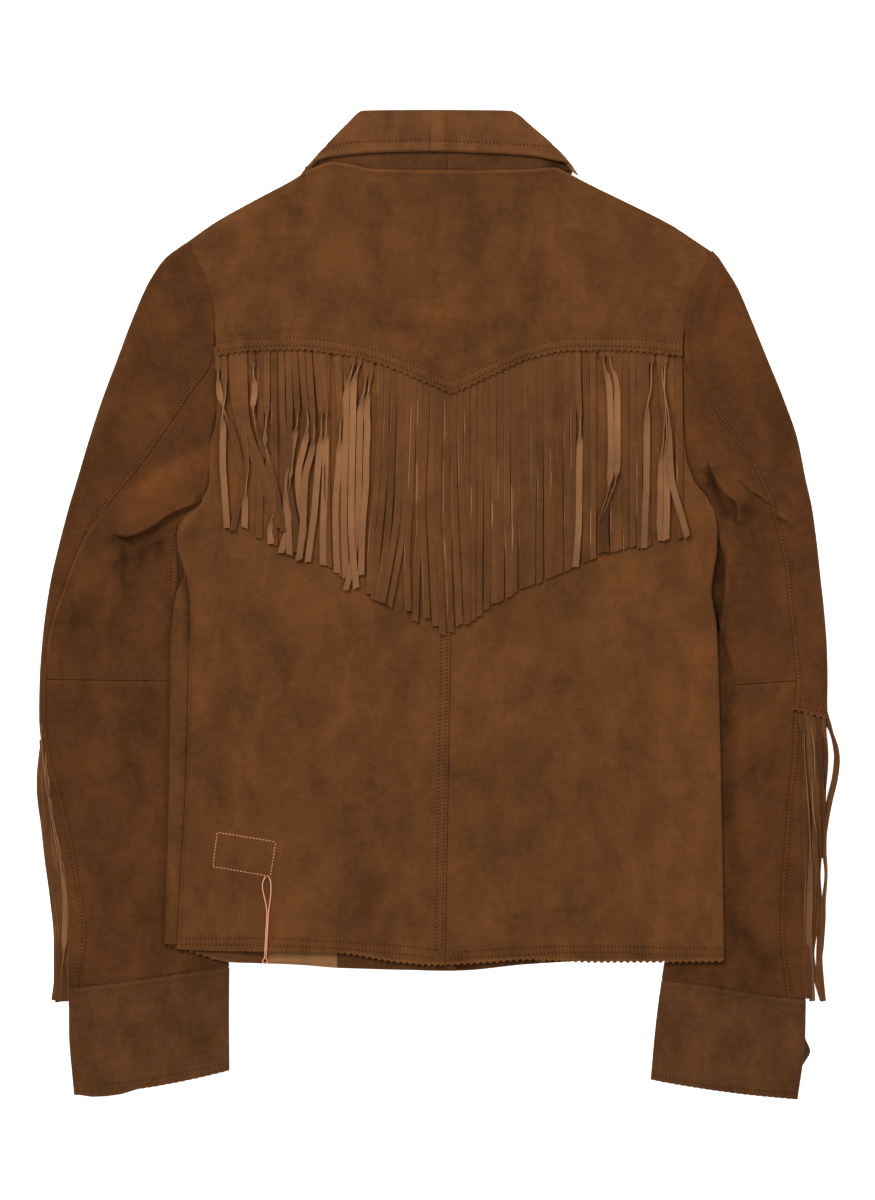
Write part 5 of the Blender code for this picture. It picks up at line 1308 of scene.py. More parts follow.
def make_top(side, name, first, last, fine, lines):
    word = "left" if side < 0 else "right"
    table = SLEEVE_LEFT if side < 0 else SLEEVE_RIGHT
    ats, row, width = sleeve_frame(table, first, last, fine)
    e = 2.0 / width
    seam = row[4] - SEAM / width
    seam = np.where(ats <= 3.0, 1.0, seam)
    seam = np.maximum(seam, 2.2 * e)
    cols, shade = [], []
    near = np.minimum(e, 0.45)
    spread = np.concatenate([[0.0, 0.012, 0.028, 0.05], np.linspace(0.08, 1.0, 44)])
    # The seam allowance turns down under the next piece.
    for reach, drop in ((5.0, 1.9), (2.2, 1.6), (0.5, 0.9)):
        point = wall_point(row, seam + reach / width, "top", word)
        point[..., 2] -= drop
        cols.append(point)
    for s in spread:
        point = wall_point(row, lerp(seam, near, s), "top", word)
        gap = (seam - lerp(seam, near, s)) * width
        body = smooth((ats - 3.0) / 1.5)
        # On the left sleeve's forearm the other panel makes the ridge.
        other = smooth((ats - 8.0) / 0.8) * (1.0 - smooth((ats - 12.0) / 1.0)) if side < 0 else 0.0
        point[..., 2] += (seam_roll(gap - 1.2, 0.65, 1.8) + seam_roll(gap - 7.5, 0.15, 3.0)) * body * (1.0 - other)
        point[..., 2] -= seam_roll(gap, 0.5, 2.5) * other
        lit = 0.20 if side > 0 else 0.12
        shade.append((lit * seam_roll(gap - 0.9, 1.0, 1.0) - 0.10 * seam_roll(gap - 2.8, 1.0, 1.0)) * body * (1.0 - other)
                     - 0.25 * seam_roll(gap, 1.0, 1.4) * other)
        cols.append(point)
    cols += fold_points(row, False, 7, word)
    low_end = np.where(ats < UNDERARM_ROW, 1.0, 1.0 - e)
    cols += [wall_point(row, lerp(near, low_end, s), "bottom", word) for s in np.linspace(0.0, 1.0, 14)]
    count = len(cols)
    if side < 0:
        cols += list(reversed(fold_points(row, True, 5, word)))
        cols += [wall_point(row, 1.0 - e * s, "top", word) for s in (1.0, 1.7, 2.5)]
    grid = np.stack(cols, axis=1)
    tone = np.zeros(grid.shape[:2])
    tone[:, 3:3 + len(shade)] = np.stack(shade, axis=1)
    tuck_ends(grid, first, last, row)
    if first == 0.0:
        # The cap's top goes on to the shoulder's corner.
        grid[0, 3:, 0] -= side * 3.2
        grid[0, 3:, 1] += 2.6
        grid[0, :3, 0] -= side * 5.0
        grid[0, :3, 1] += 1.5
    if side > 0 and first == 0.0:
        # The pinked end lies over the fringe's heading.
        upper = np.arange(grid.shape[1]) < 3 + len(spread) + 4
        lift = smooth((ats - 13.62) / 0.22)[:, None] * upper[None, :]
        grid[..., 2] += 2.5 * lift
        wave = np.abs(np.mod(grid[-1, :, 0] / TOOTH_PITCH, 1.0) - 0.5) * 4.0 - 1.0
        grid[-1, :, 1] = np.where(upper, ELBOW_END(grid[-1, :, 0]) + 1.15 * wave, grid[-1, :, 1])
        # The row above it follows the teeth closely, so that the lit cut edge stays narrow.
        near_edge = lerp(grid[-1], grid[-3], 0.16)
        grid[-2] = np.where(upper[:, None], near_edge, grid[-2])
        tone[-1] += 1.2 * upper
        tone[-2] += 0.30 * upper
    keep = None
    if side < 0:
        keep = np.ones((grid.shape[0] - 1, grid.shape[1] - 1), bool)
        keep[:, count - 1:] = (ats[:-1] >= UNDERARM_ROW)[:, None]
    return leather(f"{name}_{word}_suede", f"{name}_{word}", grid, lines=lines, keep=keep,
                   anchor=(grid.shape[0] // 2, 25), outside=SLEEVE_SUEDE, tone=tone)


def make_under(side, name, first, last, fine, lines):
    word = "left" if side < 0 else "right"
    table = SLEEVE_LEFT if side < 0 else SLEEVE_RIGHT
    ats, row, width = sleeve_frame(table, first, last, fine)
    e = 2.0 / width
    seam = np.maximum(row[4], 2.2 * e + SEAM / width)
    end = np.where(ats >= UNDERARM_ROW, 1.0 - ((5.0 + SEAM) / width if side < 0 else e), 1.0)
    end = np.maximum(end, seam + 0.004)
    spread = np.concatenate([[0.0, 0.012, 0.028], np.linspace(0.05, 0.62, 38), np.linspace(0.632, 0.988, 40), [1.0]])
    cols, shade = [], []
    for reach, drop in ((4.0, 1.8), (1.8, 1.5), (0.4, 0.9)):
        point = wall_point(row, seam - reach / width, "top", word)
        point[..., 2] -= drop
        cols.append(point)
    for s in spread:
        part = lerp(seam, end, s)
        point = wall_point(row, part, "top", word)
        gap = (part - seam) * width
        other = smooth((ats - 8.0) / 0.8) * (1.0 - smooth((ats - 12.0) / 1.0)) if side < 0 else 0.0
        point[..., 2] += (seam_roll(gap - 3.0, 0.25, 2.0) - seam_roll(gap, 0.45, 1.6)) * (1.0 - other)
        point[..., 2] += seam_roll(gap - 1.2, 1.2, 1.8) * other
        shade.append(0.30 * seam_roll(gap - 0.9, 1.0, 1.1) * other - 0.30 * seam_roll(gap, 1.0, 1.3) * (1.0 - other))
        if side < 0:
            inner = (end - part) * width
            point[..., 2] += np.where(ats >= UNDERARM_ROW, seam_roll(inner, 0.35, 2.0), 0.0)
        cols.append(point)
    folded = fold_points(row, True, 3, word)[:2]
    for k, (reach, drop) in enumerate(((0.5, 0.9), (2.2, 1.6), (5.0, 1.9))):
        point = wall_point(row, end + reach / width, "top", word)
        point[..., 2] -= drop
        if side > 0:
            # Below the underarm the panel turns round the inner fold instead.
            point = np.where((ats >= UNDERARM_ROW)[:, None], folded[min(k, 1)] + [0.0, 0.0, -0.3 * (k == 2)], point)
        cols.append(point)
    grid = np.stack(cols, axis=1)
    tone = np.zeros(grid.shape[:2])
    tone[:, 3:3 + len(shade)] = np.stack(shade, axis=1)
    # Painted shade where the panel reaches past its fold, under the body.
    past = np.where(grid[..., 0] < 0, grid[..., 0] - inner_left(grid[..., 1]), inner_right(grid[..., 1]) - grid[..., 0])
    tone -= 0.34 * smooth((past - 0.3) / 1.5) * smooth((70.0 - grid[..., 1]) / 10.0)
    tuck_ends(grid, first, last, row)
    return leather(f"{name}_{word}_suede", f"{name}_{word}", grid, lines=lines,
                   anchor=(grid.shape[0] // 2, 25), outside=SLEEVE_SUEDE, tone=tone)


LEFT_SEAM = seam_line(SLEEVE_LEFT, 4.2, 9.0, 3.4)
LEFT_LOWER = seam_line(SLEEVE_LEFT, 17.0, 19.9, 2.0)
LEFT_INNER = curve_through(at((176, 533.5), (171.4, 563), (171.4, 610), (171.4, 648)), 3.0)
RIGHT_SEAM = seam_line(SLEEVE_RIGHT, 4.2, 13.0, 2.0)
RIGHT_LOWER = seam_line(SLEEVE_RIGHT, 14.0, 19.9, 1.8)
RIGHT_ELBOWS = [
    curve_through(at((799, 699), (812, 702.5), (826, 706)), 3.0),
    curve_through(at((800, 706), (813, 709.5), (826, 713)), 3.0),
]
LEFT_ABOVE_CUFF = curve_through(at((70, 984.5), (118, 983), (156, 976), (170, 974), (226, 964.5)), 3.0)
RIGHT_ABOVE_CUFF = curve_through(at((667, 977), (715, 986), (752, 994), (787, 997), (803, 997.5)), 3.0)


def make_sleeve(side):
    if side < 0:
        fine, low_fine = (98.0, 40.0, 1.0), (-1e3, -1e3, 3.0)
        make_top(side, "sleeve_top_upper", 0.0, 13.97, fine, [LEFT_SEAM])
        make_under(side, "sleeve_under_upper", 4.0, 12.97, fine, [LEFT_INNER])
        make_top(side, "sleeve_top_lower", 14.0, 19.97, low_fine, [LEFT_LOWER, LEFT_ABOVE_CUFF])
        make_under(side, "sleeve_under_lower", 13.03, 19.97, low_fine, [LEFT_ABOVE_CUFF])
        rows = [LEFT_SEAM, LEFT_INNER, LEFT_LOWER, LEFT_ABOVE_CUFF]
    else:
        fine, low_fine = (120.0, 30.0, 0.9), (-1e3, -1e3, 3.0)
        make_top(side, "sleeve_top_upper", 0.0, 13.97, fine, [RIGHT_SEAM, *RIGHT_ELBOWS])
        make_under(side, "sleeve_under_upper", 4.0, 12.97, fine, [])
        make_top(side, "sleeve_top_lower", 14.0, 19.97, low_fine, [RIGHT_LOWER, RIGHT_ABOVE_CUFF])
        make_under(side, "sleeve_under_lower", 13.03, 19.97, low_fine, [RIGHT_ABOVE_CUFF])
        rows = [RIGHT_SEAM, RIGHT_LOWER, RIGHT_ABOVE_CUFF, *RIGHT_ELBOWS]
    for line in rows:
        stitch(line)


CUFF_HEM_LEFT = curve_through(at((77, 1085), (100, 1083.5), (135, 1081), (180, 1072.5), (227, 1063)), 3.0)
CUFF_HEM_RIGHT = curve_through(at((653, 1074), (686, 1080.5), (720, 1086.5), (760, 1090), (796, 1092)), 3.0)


def make_cuff(side):
    word = "left" if side < 0 else "right"
    table = CUFF_LEFT if side < 0 else CUFF_RIGHT
    ats = np.linspace(0.012, 2.0, 40)
    row = table_rows(table, ats)
    width = np.hypot(row[2] - row[0], row[3] - row[1])
    e = 2.0 / width
    lap = CUFF_OVERLAP / width
    middle = 0.62 if side < 0 else 0.2
    six = 6.0 / width

    def low(part, lift=0.0):
        point = wall_point(row, part, "bottom", word)
        point[..., 2] += lift
        return point

    cols = [low(lerp(middle, middle + lap, s), STEP) for s in (0.0, 0.25, 0.5, 0.75, 1.0)]
    cols += [low(middle + lap + six * s, STEP * (1.0 - smooth(s))) for s in (0.33, 0.67, 1.0)]
    cols += [low(lerp(middle + lap + six, 1.0 - e, s)) for s in (0.35, 0.7, 1.0)]
    cols += list(reversed(fold_points(row, True, 7, word)))
    for s in np.linspace(0.0, 1.0, 46):
        point = wall_point(row, lerp(1.0 - e, e, s), "top", word)
        point[..., 2] += seam_roll(ats * 38.0 - 2.6, 0.75, 2.4) - seam_roll(ats * 38.0 - 7.5, 0.25, 3.0)
        point[..., 2] += seam_roll((2.0 - ats) * 45.0 - 5.0, 0.35, 3.0)
        cols.append(point)
    cols += fold_points(row, False, 7, word)
    cols += [low(lerp(e, middle + lap - 2.0 / width, s)) for s in np.linspace(0.0, 1.0, 9)]
    grid = np.stack(cols, axis=1)
    at_y = ats[:, None]
    # The hem sags between its corners.
    x0, x1 = (-290.5, -167.2) if side < 0 else (170.5, 287.0)
    sag = np.sin(np.pi * np.clip((grid[..., 0] - x0) / (x1 - x0), 0.0, 1.0)) ** 0.9
    grid[..., 1] -= (3.4 if side < 0 else 1.8) * sag * smooth((at_y - 1.2) / 0.8)
    if side < 0:
        # The lower layer's end shows below the edge.
        under = np.exp(-(((grid[..., 0] + 264.0) / 21.0) ** 8)) * (grid[..., 2] < 1.4)
        grid[..., 1] -= 3.2 * under * smooth((at_y - 1.7) / 0.3)
    else:
        # The lower layer's corner shows beside the fold.
        under = np.exp(-(((grid[..., 1] + 357.0) / 9.0) ** 2)) * smooth((grid[..., 0] - 270.0) / 14.0)
        grid[..., 0] += 6.5 * under * (grid[..., 2] < 0.9)
    # Painted highlight on the roll below the cuff's seam and painted shade in the seam; lighter along the hem's edge.
    tone = 0.16 * seam_roll(ats * 38.0 - 2.0, 1.0, 1.6) - 0.25 * seam_roll(ats * 38.0 + 0.2, 1.0, 0.9)
    tone = np.tile((tone + 0.10 * seam_roll((2.0 - ats) * 45.0, 1.0, 1.4))[:, None], (1, grid.shape[1]))
    bite = 0.22 * tooth(grid.shape[1])
    grid[-1, :, 1] += bite
    lines = [CUFF_HEM_LEFT] if side < 0 else [CUFF_HEM_RIGHT]
    stitch(lines[0])
    return leather(f"cuff_{word}_suede", f"cuff_{word}", grid, lines=lines, anchor=(20, 40),
                   outside=CUFF_SUEDE, tone=tone)


# ------------------------------------------------------------------ collar
def collar_columns(ats):
    table = []
    for row in COLLAR:
        sx, sy = row[4], row[5]
        if sy == "back":
            sy = float(yoke_top(sx)) + 1.4
        elif sy == "front":
            sy = float(front_neck(sx)) + 1.4
        table.append((*row[:5], sy, *row[6:]))
    return table_rows(table, ats)


COLLAR_ATS = np.concatenate([np.linspace(0, 5, 50)[:-1], np.linspace(5, 15, 190)[:-1], np.linspace(15, 20, 50)])
COLLAR_STITCH = curve_through(at(
    (322, 154), (329, 148.5), (349, 144.5), (364, 143), (394, 142.4), (414, 141.6), (450, 142.6), (475, 143.6),
    (509, 145.3), (539, 147), (552, 148.3), (560, 153)), 3.0)
STAND_STITCH = curve_through(at((366, 164.6), (386, 165.4), (430, 165.6), (470, 166), (500, 166), (540, 163.6)), 3.0)


def make_collar():
    rx, ry, fx, fy, sx, sy, rz, fz, sz = collar_columns(COLLAR_ATS)
    rx = np.sign(rx) * (np.minimum(np.abs(rx), 55.0) + 0.80 * np.maximum(np.abs(rx) - 55.0, 0.0))
    length = np.hypot(fx - rx, fy - ry)
    ux, uy = (fx - rx) / length, (fy - ry) / length
    back = smooth((fz - 3.0) / 2.6)
    cols = []
    # The roll line: the fall comes up from inside and turns over.
    for a, up in ((-62.0, 0.0), (-30.0, 0.0), (0.0, 0.0), (35.0, 0.0), (65.0, 0.0)):
        turn = math.radians(a)
        inward = 1.3 * (1.0 - math.cos(turn))
        cols.append(np.stack([rx + ux * inward, ry + uy * inward, rz - 0.9 * back * (1.0 - math.sin(turn)) + 0.3 * back], axis=-1))
    for s in np.concatenate([np.linspace(0.05, 0.90, 22), [0.925, 0.95, 0.97, 0.985, 1.0]]):
        crown = 0.9 * math.sin(math.pi * s) * back
        # At the neck's sides the fall's outline bows outwards.
        bow = (1.0 * np.exp(-(((COLLAR_ATS - 5.0) / 0.9) ** 2)) + 2.6 * np.exp(-(((COLLAR_ATS - 15.0) / 0.9) ** 2))) * math.sin(math.pi * s**1.4)
        x, y = lerp(rx, fx, s) + 0.74 * bow * np.sign(rx), lerp(ry, fy, s) + 0.67 * bow
        z = lerp(rz, fz, smooth(s / 0.4)) + crown
        z = z + back * (relief("collar", x, y) + seam_roll((1.0 - s) * length - 2.0, 0.75, 2.2)
                        - seam_roll((1.0 - s) * length - 7.8, 0.30, 2.2)
                        + 0.5 * np.exp(-(((x + 0.5) / 4.0) ** 2)))
        z = z - back * 0.7 * smooth((s - 0.97) / 0.03)
        cols.append(np.stack([x, y, np.maximum(z, 0.6)], axis=-1))
    grid = np.stack(cols, axis=1)
    stitch(COLLAR_STITCH)
    gx = grid[..., 0]
    # A lighter band at the centre with dark lines at its sides, a painted highlight on the fall's rolled free edge, and
    # a lighter band above that edge.
    tone = 0.15 * np.exp(-(((gx + 0.4) / 5.8) ** 8)) - 0.24 * seam_roll(gx + 6.6, 1.0, 0.9) - 0.16 * seam_roll(gx - 5.8, 1.0, 0.9)
    edge_gap = np.concatenate([np.full(5, 50.0), (1.0 - np.concatenate([np.linspace(0.05, 0.90, 22), [0.925, 0.95, 0.97, 0.985, 1.0]])) * 36.0])
    tone = tone + (0.16 * seam_roll(edge_gap - 1.0, 1.0, 1.5) + 0.07 * smooth((9.0 - edge_gap) / 2.0))[None, :]
    leather("collar_fall_suede", "collar_fall", grid, tone=tone, lines=[COLLAR_STITCH], anchor=(120, 12),
            outside=COLLAR_SUEDE, inside=REVERSE_SUEDE, edge=DULL_EDGE)

    inside = smooth((sz - 2.0) / 1.5) * smooth((5.6 - sz) / 1.2)
    x0 = rx - np.sign(rx) * 8.0 * inside
    y0 = ry - 5.0 * inside
    length = np.hypot(sx - x0, sy - y0)
    cols = []
    for k, s in enumerate([*np.linspace(0.0, 1.0, 16), 2.0, 3.0]):
        s = lerp(3.2 / length, 1.0, s) if k < 16 else 1.0 + (1.5, 5.0)[k - 16] * (1.0 - 0.9 * smooth((np.abs(sx) - 90.0) / 10.0)) / length
        x, y = lerp(x0, sx, s), lerp(y0, sy, s)
        z = sz + 0.25 * smooth((sz - 5.0)) * relief("collar", x, y)
        z = z - (0.0 if k < 16 else (0.8, 1.5)[k - 16]) * smooth(sz - 5.0)
        cols.append(np.stack([x, y, z], axis=-1))
    grid = np.stack(cols, axis=1)
    stitch(STAND_STITCH, length=1.2, radius=0.24)
    gx = grid[..., 0]
    tone = 0.20 * seam_roll(gx - 8.8, 1.0, 1.0) - 0.50 * seam_roll(gx - 7.1, 1.0, 0.8)
    # Painted shade on the stand's ends, in the hollow under the fall.
    tone -= 0.50 * smooth((np.abs(gx) - 83.0) / 9.0)
    leather("collar_stand_suede", "collar_stand", grid, tone=tone, anchor=(120, 8),
            outside=STAND_SUEDE, inside=REVERSE_SUEDE, edge=DULL_EDGE)


# ------------------------------------------------------------------ fringes
STRIP = 0.85     # thickness of the fringe's strips, as they look


class Strips:
    """Strips of one fringe, gathered as one mesh."""

    def __init__(self):
        self.points, self.faces, self.kinds, self.tone, self.red = [], [], [], [], []
        self.count, self.area = 0, 0.0

    def add(self, line, height, rolls=((0.0, 0.0),), width=5.1, lift=0.0, tone=0.0, red=0.0, slant=0.0, cup=0.2,
            ramp=(7.0, 14.0), cut=None, bevel=None, fade=0.0):
        """line: points (mm) from the top down. rolls: (distance from the top as a part, degrees).

        cut is what each side (left, right) loses, and bevel how much of its cut edge shows from above.
        """
        line = np.asarray(line, float)
        step = np.linalg.norm(np.diff(line, axis=0), axis=1)
        run = np.concatenate([[0.0], np.cumsum(step)]) / step.sum()
        tangent = np.gradient(line, axis=0)
        tangent /= np.linalg.norm(tangent, axis=1, keepdims=True)
        side = np.stack([-tangent[:, 1], tangent[:, 0]], axis=1)
        at_, angle = np.array([r[0] for r in rolls]), np.array([r[1] for r in rolls])
        roll = np.zeros(len(line))
        for k in range(len(at_)):
            if k == 0:
                roll += angle[0]
            else:
                roll += (angle[k] - angle[k - 1]) * smooth((run - at_[k - 1]) / max(1e-6, at_[k] - at_[k - 1]))
        roll = np.radians(roll)
        fallen = run * step.sum()
        wide = width * (1.0 - 0.70 * np.sin(roll) ** 2)
        z = height(line[:, 0], line[:, 1]) + lift * smooth((fallen - ramp[0]) / ramp[1]) + 0.5 * wide * np.abs(np.sin(roll))
        wide = wide[:, None]
        centre = np.column_stack([line, z])
        flat = np.column_stack([side, np.zeros(len(line))])
        up = np.array([0.0, 0.0, 1.0])
        across = np.cos(roll)[:, None] * flat + np.sin(roll)[:, None] * up
        normal = -np.sin(roll)[:, None] * flat + np.cos(roll)[:, None] * up
        nothing = np.zeros((len(line), 2))
        cut, bevel = nothing if cut is None else cut, nothing + 0.08 if bevel is None else bevel
        sections = []
        for w, h in ((-0.5, 0.0), (0.0, cup), (0.5, 0.0)):
            k = 0 if w < 0 else 1
            inset = -2.0 * w * (cut[:, k:k + 1] + bevel[:, k:k + 1])
            sections.append(centre + across * (w * wide + inset) + normal * (h + 0.5 * STRIP))
        for w, h in ((0.5, 0.0), (0.0, cup), (-0.5, 0.0)):
            k = 0 if w < 0 else 1
            sections.append(centre + across * (w * wide - 2.0 * w * cut[:, k:k + 1]) + normal * (h - 0.5 * STRIP))
        points = np.stack(sections, axis=1)
        ends = np.array([-0.5, 0.0, 0.5, 0.5, 0.0, -0.5])
        points[-1, :, :2] += tangent[-1] * (slant * ends)[:, None]
        n, base = len(line), sum(len(p) for p in self.points)
        quads, kinds = [], []
        for k in range(6):
            j = (k + 1) % 6
            i = np.arange(n - 1) * 6 + base
            quads.append(np.stack([i + k, i + 6 + k, i + 6 + j, i + j], axis=1))
            kinds.append(np.full(n - 1, (0, 0, 2, 1, 1, 2)[k]))
        for first in (0, (n - 1) * 6):
            cap = np.array([[0, 1, 4, 5], [1, 2, 3, 4]]) + base + first
            quads.append(cap if first == 0 else cap[:, ::-1])
            kinds.append(np.full(2, 2))
        self.points.append(points.reshape(-1, 3))
        self.faces.append(np.vstack(quads))
        self.kinds.append(np.concatenate(kinds))
        fine_x, fine_y = points[..., 0].ravel(), points[..., 1].ravel()
        # Each strip is lighter near its top and darker towards its end, by fade.
        top_to_end_tone = np.repeat(fade * (0.5 - run), points.shape[1])
        self.tone.append(tone + top_to_end_tone + 0.06 * noise(fine_x, fine_y, 24.0, self.count))
        self.red.append(np.full(len(fine_x), red))
        self.count += 1
        self.area += float(step.sum() * width) * 1e-6

    def finish(self, name, node, flat, rests_on):
        points, faces = np.vstack(self.points), np.vstack(self.faces)
        # Every strip's faces point out of it.
        values = {"tone": np.concatenate(self.tone), "red": np.concatenate(self.red)}
        obj = new_mesh(name, points, faces, [FRINGE_SUEDE, REVERSE_SUEDE, EDGE_SUEDE], np.concatenate(self.kinds), values)
        obj.data.set_sharp_from_angle(angle=math.radians(45))
        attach(obj, "root")
        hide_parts(node)
        area = min(self.area, 0.999 * flat[0] * flat[1])
        FLATS[node] = (*flat, area)
        MADE[name] = obj
        print(f"{name}: {self.count} strips")


def fringe_end_line():
    left = at((226, 528), (233.5, 531), (245, 528), (257, 536), (271, 544), (280, 553), (290, 555), (299.5, 560),
              (307, 563), (323, 565), (337, 573), (346, 578), (356, 587), (369, 595), (375, 601), (382, 598), (390, 605),
              (409, 611), (415, 620.6), (427, 617), (438, 626.5), (445.5, 636), (452, 633), (459, 626), (468, 623),
              (483, 614), (491, 604.5), (499, 602), (512, 595), (518, 590), (528, 586), (536, 584), (544, 580),
              (559, 574), (573, 567), (581, 563), (593, 559.6), (605.5, 554.5), (620, 550), (634, 547), (646, 547),
              (654.5, 540), (667, 540), (688, 537))
    return [tuple(p) for p in left]


STRIP_END = column(fringe_end_line(), 1, 0)
# Strips that lie out of line: the way they take, their turns (layout y, degrees) and lift.
LOOSE_STRIPS = [
    ([(217, 366), (219, 385), (222, 402), (227, 416), (232.5, 430), (237.5, 447), (241, 465), (243, 480), (241.5, 495), (237, 512), (233, 531)],
     [(366, 0), (374, 70), (385, 150), (398, 195), (412, 300), (430, 345), (480, 362), (531, 356)], 0.8),
    ([(224, 362), (225, 392), (223.3, 415), (223.6, 428), (223.2, 462), (224.7, 487), (226.5, 512), (227.3, 528)],
     [(366, 0), (392, 50), (412, 96), (430, 176), (528, 182)], 1.3),
    ([(232, 362), (234, 392), (240, 420), (250, 450), (262, 478), (270, 508), (275, 537)], [(362, 0), (420, -10), (537, 8)], 0.6),
    ([(238, 362), (240, 400), (245, 440), (247, 468), (246.6, 488), (245.4, 508), (245, 528)],
     [(362, 0), (466, 30), (486, 84), (506, 176), (528, 182)], 0.5),
    ([(250, 358), (254, 375), (255, 392), (253.6, 408), (258, 428), (264, 446), (270.5, 464), (276, 490), (280.5, 512), (283.5, 532)],
     [(362, 0), (372, 80), (386, 165), (402, 192), (416, 300), (440, 345), (470, 352), (532, 362)], 1.6),
    ([(244, 360), (246, 410), (252, 440), (262, 466), (270, 492), (278, 528)], [(360, 0), (440, 14), (528, 8)], 1.2),
    ([(267, 358), (267, 400), (266.6, 420), (265.5, 440), (268, 462), (272.5, 490), (273, 512), (271, 530), (271, 544)],
     [(358, 0), (408, 20), (424, 96), (440, 140), (454, 60), (470, 20), (508, 20), (530, 176), (544, 180)], 0.9),
    ([(281, 358), (283, 420), (285.5, 468), (285.6, 490), (287, 512), (287.4, 530), (281, 553)],
     [(358, 0), (460, 20), (484, 88), (506, 178), (553, 182)], 0.9),
    ([(288, 358), (290, 420), (288, 462), (287, 490), (288.4, 520), (289.6, 555)],
     [(358, 0), (460, 20), (482, 88), (504, 178), (555, 180)], 1.5),
    ([(294, 356), (297, 400), (297.6, 423), (293.8, 440), (291.2, 455), (290, 472), (291.6, 500), (296, 525), (295, 552)],
     [(358, 0), (402, 10), (422, 92), (440, 178), (470, 186), (494, 345), (552, 360)], 0.9),
    ([(301, 356), (305, 400), (308.3, 423), (304.6, 445), (299, 470), (299.5, 497), (304, 525), (301.6, 545), (298.8, 560)],
     [(358, 0), (402, 10), (422, 92), (444, 178), (560, 180)], 1.1),
    ([(308, 356), (312, 405), (314.6, 434), (311.5, 453), (306, 474), (304.5, 495), (303.5, 520), (299.5, 560)],
     [(358, 0), (410, 14), (434, 96), (454, 178), (560, 180)], 1.9),
    ([(316, 356), (320, 400), (321.8, 430), (319.4, 453), (317.4, 478), (314.6, 512), (311.5, 535), (308, 562)],
     [(358, 0), (406, 10), (428, 94), (450, 178), (562, 180)], 1.0),
    ([(322, 356), (325, 400), (326.7, 427), (325.8, 453), (325.2, 478), (323.8, 512), (323, 540), (323, 565)],
     [(358, 0), (406, 10), (427, 94), (448, 178), (565, 180)], 0.7),
    ([(337, 360), (340, 405), (340.4, 431), (339, 465), (335.7, 505), (336.2, 545), (337.2, 573)],
     [(362, 0), (412, 10), (431, 92), (456, 178), (573, 180)], 0.6),
    ([(353, 362), (352, 371), (346.6, 395), (346.5, 425), (345, 465), (344, 515), (344.6, 545), (346, 578)],
     [(362, 20), (370, 84), (384, 150), (398, 179), (578, 180)], 1.0),
    ([(360, 364), (358.6, 368), (354, 385), (353, 425), (352, 465), (351.5, 525), (353.5, 557), (356.5, 588)],
     [(363, 20), (368, 84), (380, 150), (394, 179), (588, 180)], 1.6),
    ([(366, 368), (365, 388), (360.6, 411), (360, 430), (359.2, 465), (358, 515), (353, 560), (346, 590)],
     [(368, 0), (387, 88), (402, 150), (414, 179), (560, 180), (590, 160)], 0.8),
    ([(371, 372), (369.4, 385), (367, 411), (367.4, 430), (366.4, 457), (366, 485), (363.5, 515), (362, 545), (361.5, 575)],
     [(372, 0), (386, 88), (402, 150), (416, 179), (515, 184), (575, 188)], 1.2),
    ([(577, 352), (578, 395), (580, 424), (579.5, 445), (579, 470), (578.6, 520), (577, 545), (575.3, 567)],
     [(354, 0), (408, 20), (426, 92), (448, 178), (567, 180)], 0.7),
    ([(600, 352), (603, 362), (608.5, 384), (610, 405), (610.6, 430), (610.6, 460), (609, 484), (604.5, 506), (601, 526), (600, 553)],
     [(354, 5), (362, 88), (382, 165), (400, 180), (474, 184), (492, 262), (508, 320), (530, 354), (553, 360)], 0.9),
    ([(606, 352), (609.6, 362), (616, 382), (617, 405), (617, 430), (617, 460), (615, 482), (609, 500), (604.5, 522), (606, 552)],
     [(354, 5), (362, 88), (380, 150), (400, 172), (466, 178), (482, 262), (500, 300), (522, 352), (552, 360)], 1.5),
    ([(651, 356), (651, 368), (650.5, 388), (647.5, 405), (646.5, 430), (646.4, 460), (645.8, 490), (644.5, 520), (643.8, 548)],
     [(358, 0), (368, 84), (400, 98), (416, 150), (428, 178), (548, 180)], 0.9),
    ([(659, 356), (661, 380), (663, 420), (662.6, 445), (660.4, 475), (660, 500), (659.4, 520), (660.6, 541)],
     [(358, 0), (400, 20), (440, 80), (466, 170), (541, 180)], 0.7),
    ([(665, 356), (664, 388), (666, 420), (667, 445), (666.6, 470), (666.4, 500), (666, 520), (665.4, 540)],
     [(358, 0), (368, 82), (424, 98), (456, 178), (540, 180)], 1.5),
    ([(660, 356), (662, 380), (665.5, 400), (668.6, 420), (669.2, 445), (669.6, 465), (671.8, 484), (676, 500), (681.5, 518), (686.6, 537)],
     [(358, 0), (374, 82), (416, 110), (440, 150), (462, 178), (537, 180)], 2.3),
]
# Strips whose lower ends lie out of line: number from the left, way below the yoke, turn at the end, lift.
ASTRAY = {
    24: ([(380, 420), (377, 480), (371.5, 540), (369, 594)], 8, 0.0), 25: ([(386.5, 420), (384, 480), (378, 545), (374.6, 600)], -12, 0.3),
    26: ([(393, 420), (390, 500), (385.5, 550), (377.6, 601)], 26, 0.9), 27: ([(400, 420), (398, 500), (393, 545), (382.5, 602)], 14, 1.6),
    28: ([(406.4, 430), (404, 500), (401, 540), (395, 575), (389, 606)], 10, 0.5), 29: ([(412, 450), (409, 520), (407.2, 560), (408.6, 611)], -10, 0.2),
    30: ([(419.6, 440), (419, 519), (417, 570), (415, 621)], 12, 0.7), 31: ([(425, 440), (422, 500), (424, 550), (427.2, 618)], -14, 0.3),
    32: ([(432, 450), (431, 520), (433, 570), (435.6, 626)], 7, 0.1), 33: ([(438.6, 450), (437.5, 520), (440, 570), (443, 635)], -8, 0.2),
    34: ([(446.4, 450), (446, 520), (448.5, 570), (450.8, 632)], 5, 0.1), 35: ([(453.6, 450), (455, 520), (457.5, 570), (459.4, 625)], -5, 0.1),
    36: ([(460.4, 450), (462.4, 520), (465, 570), (467, 622)], 4, 0.0),
}
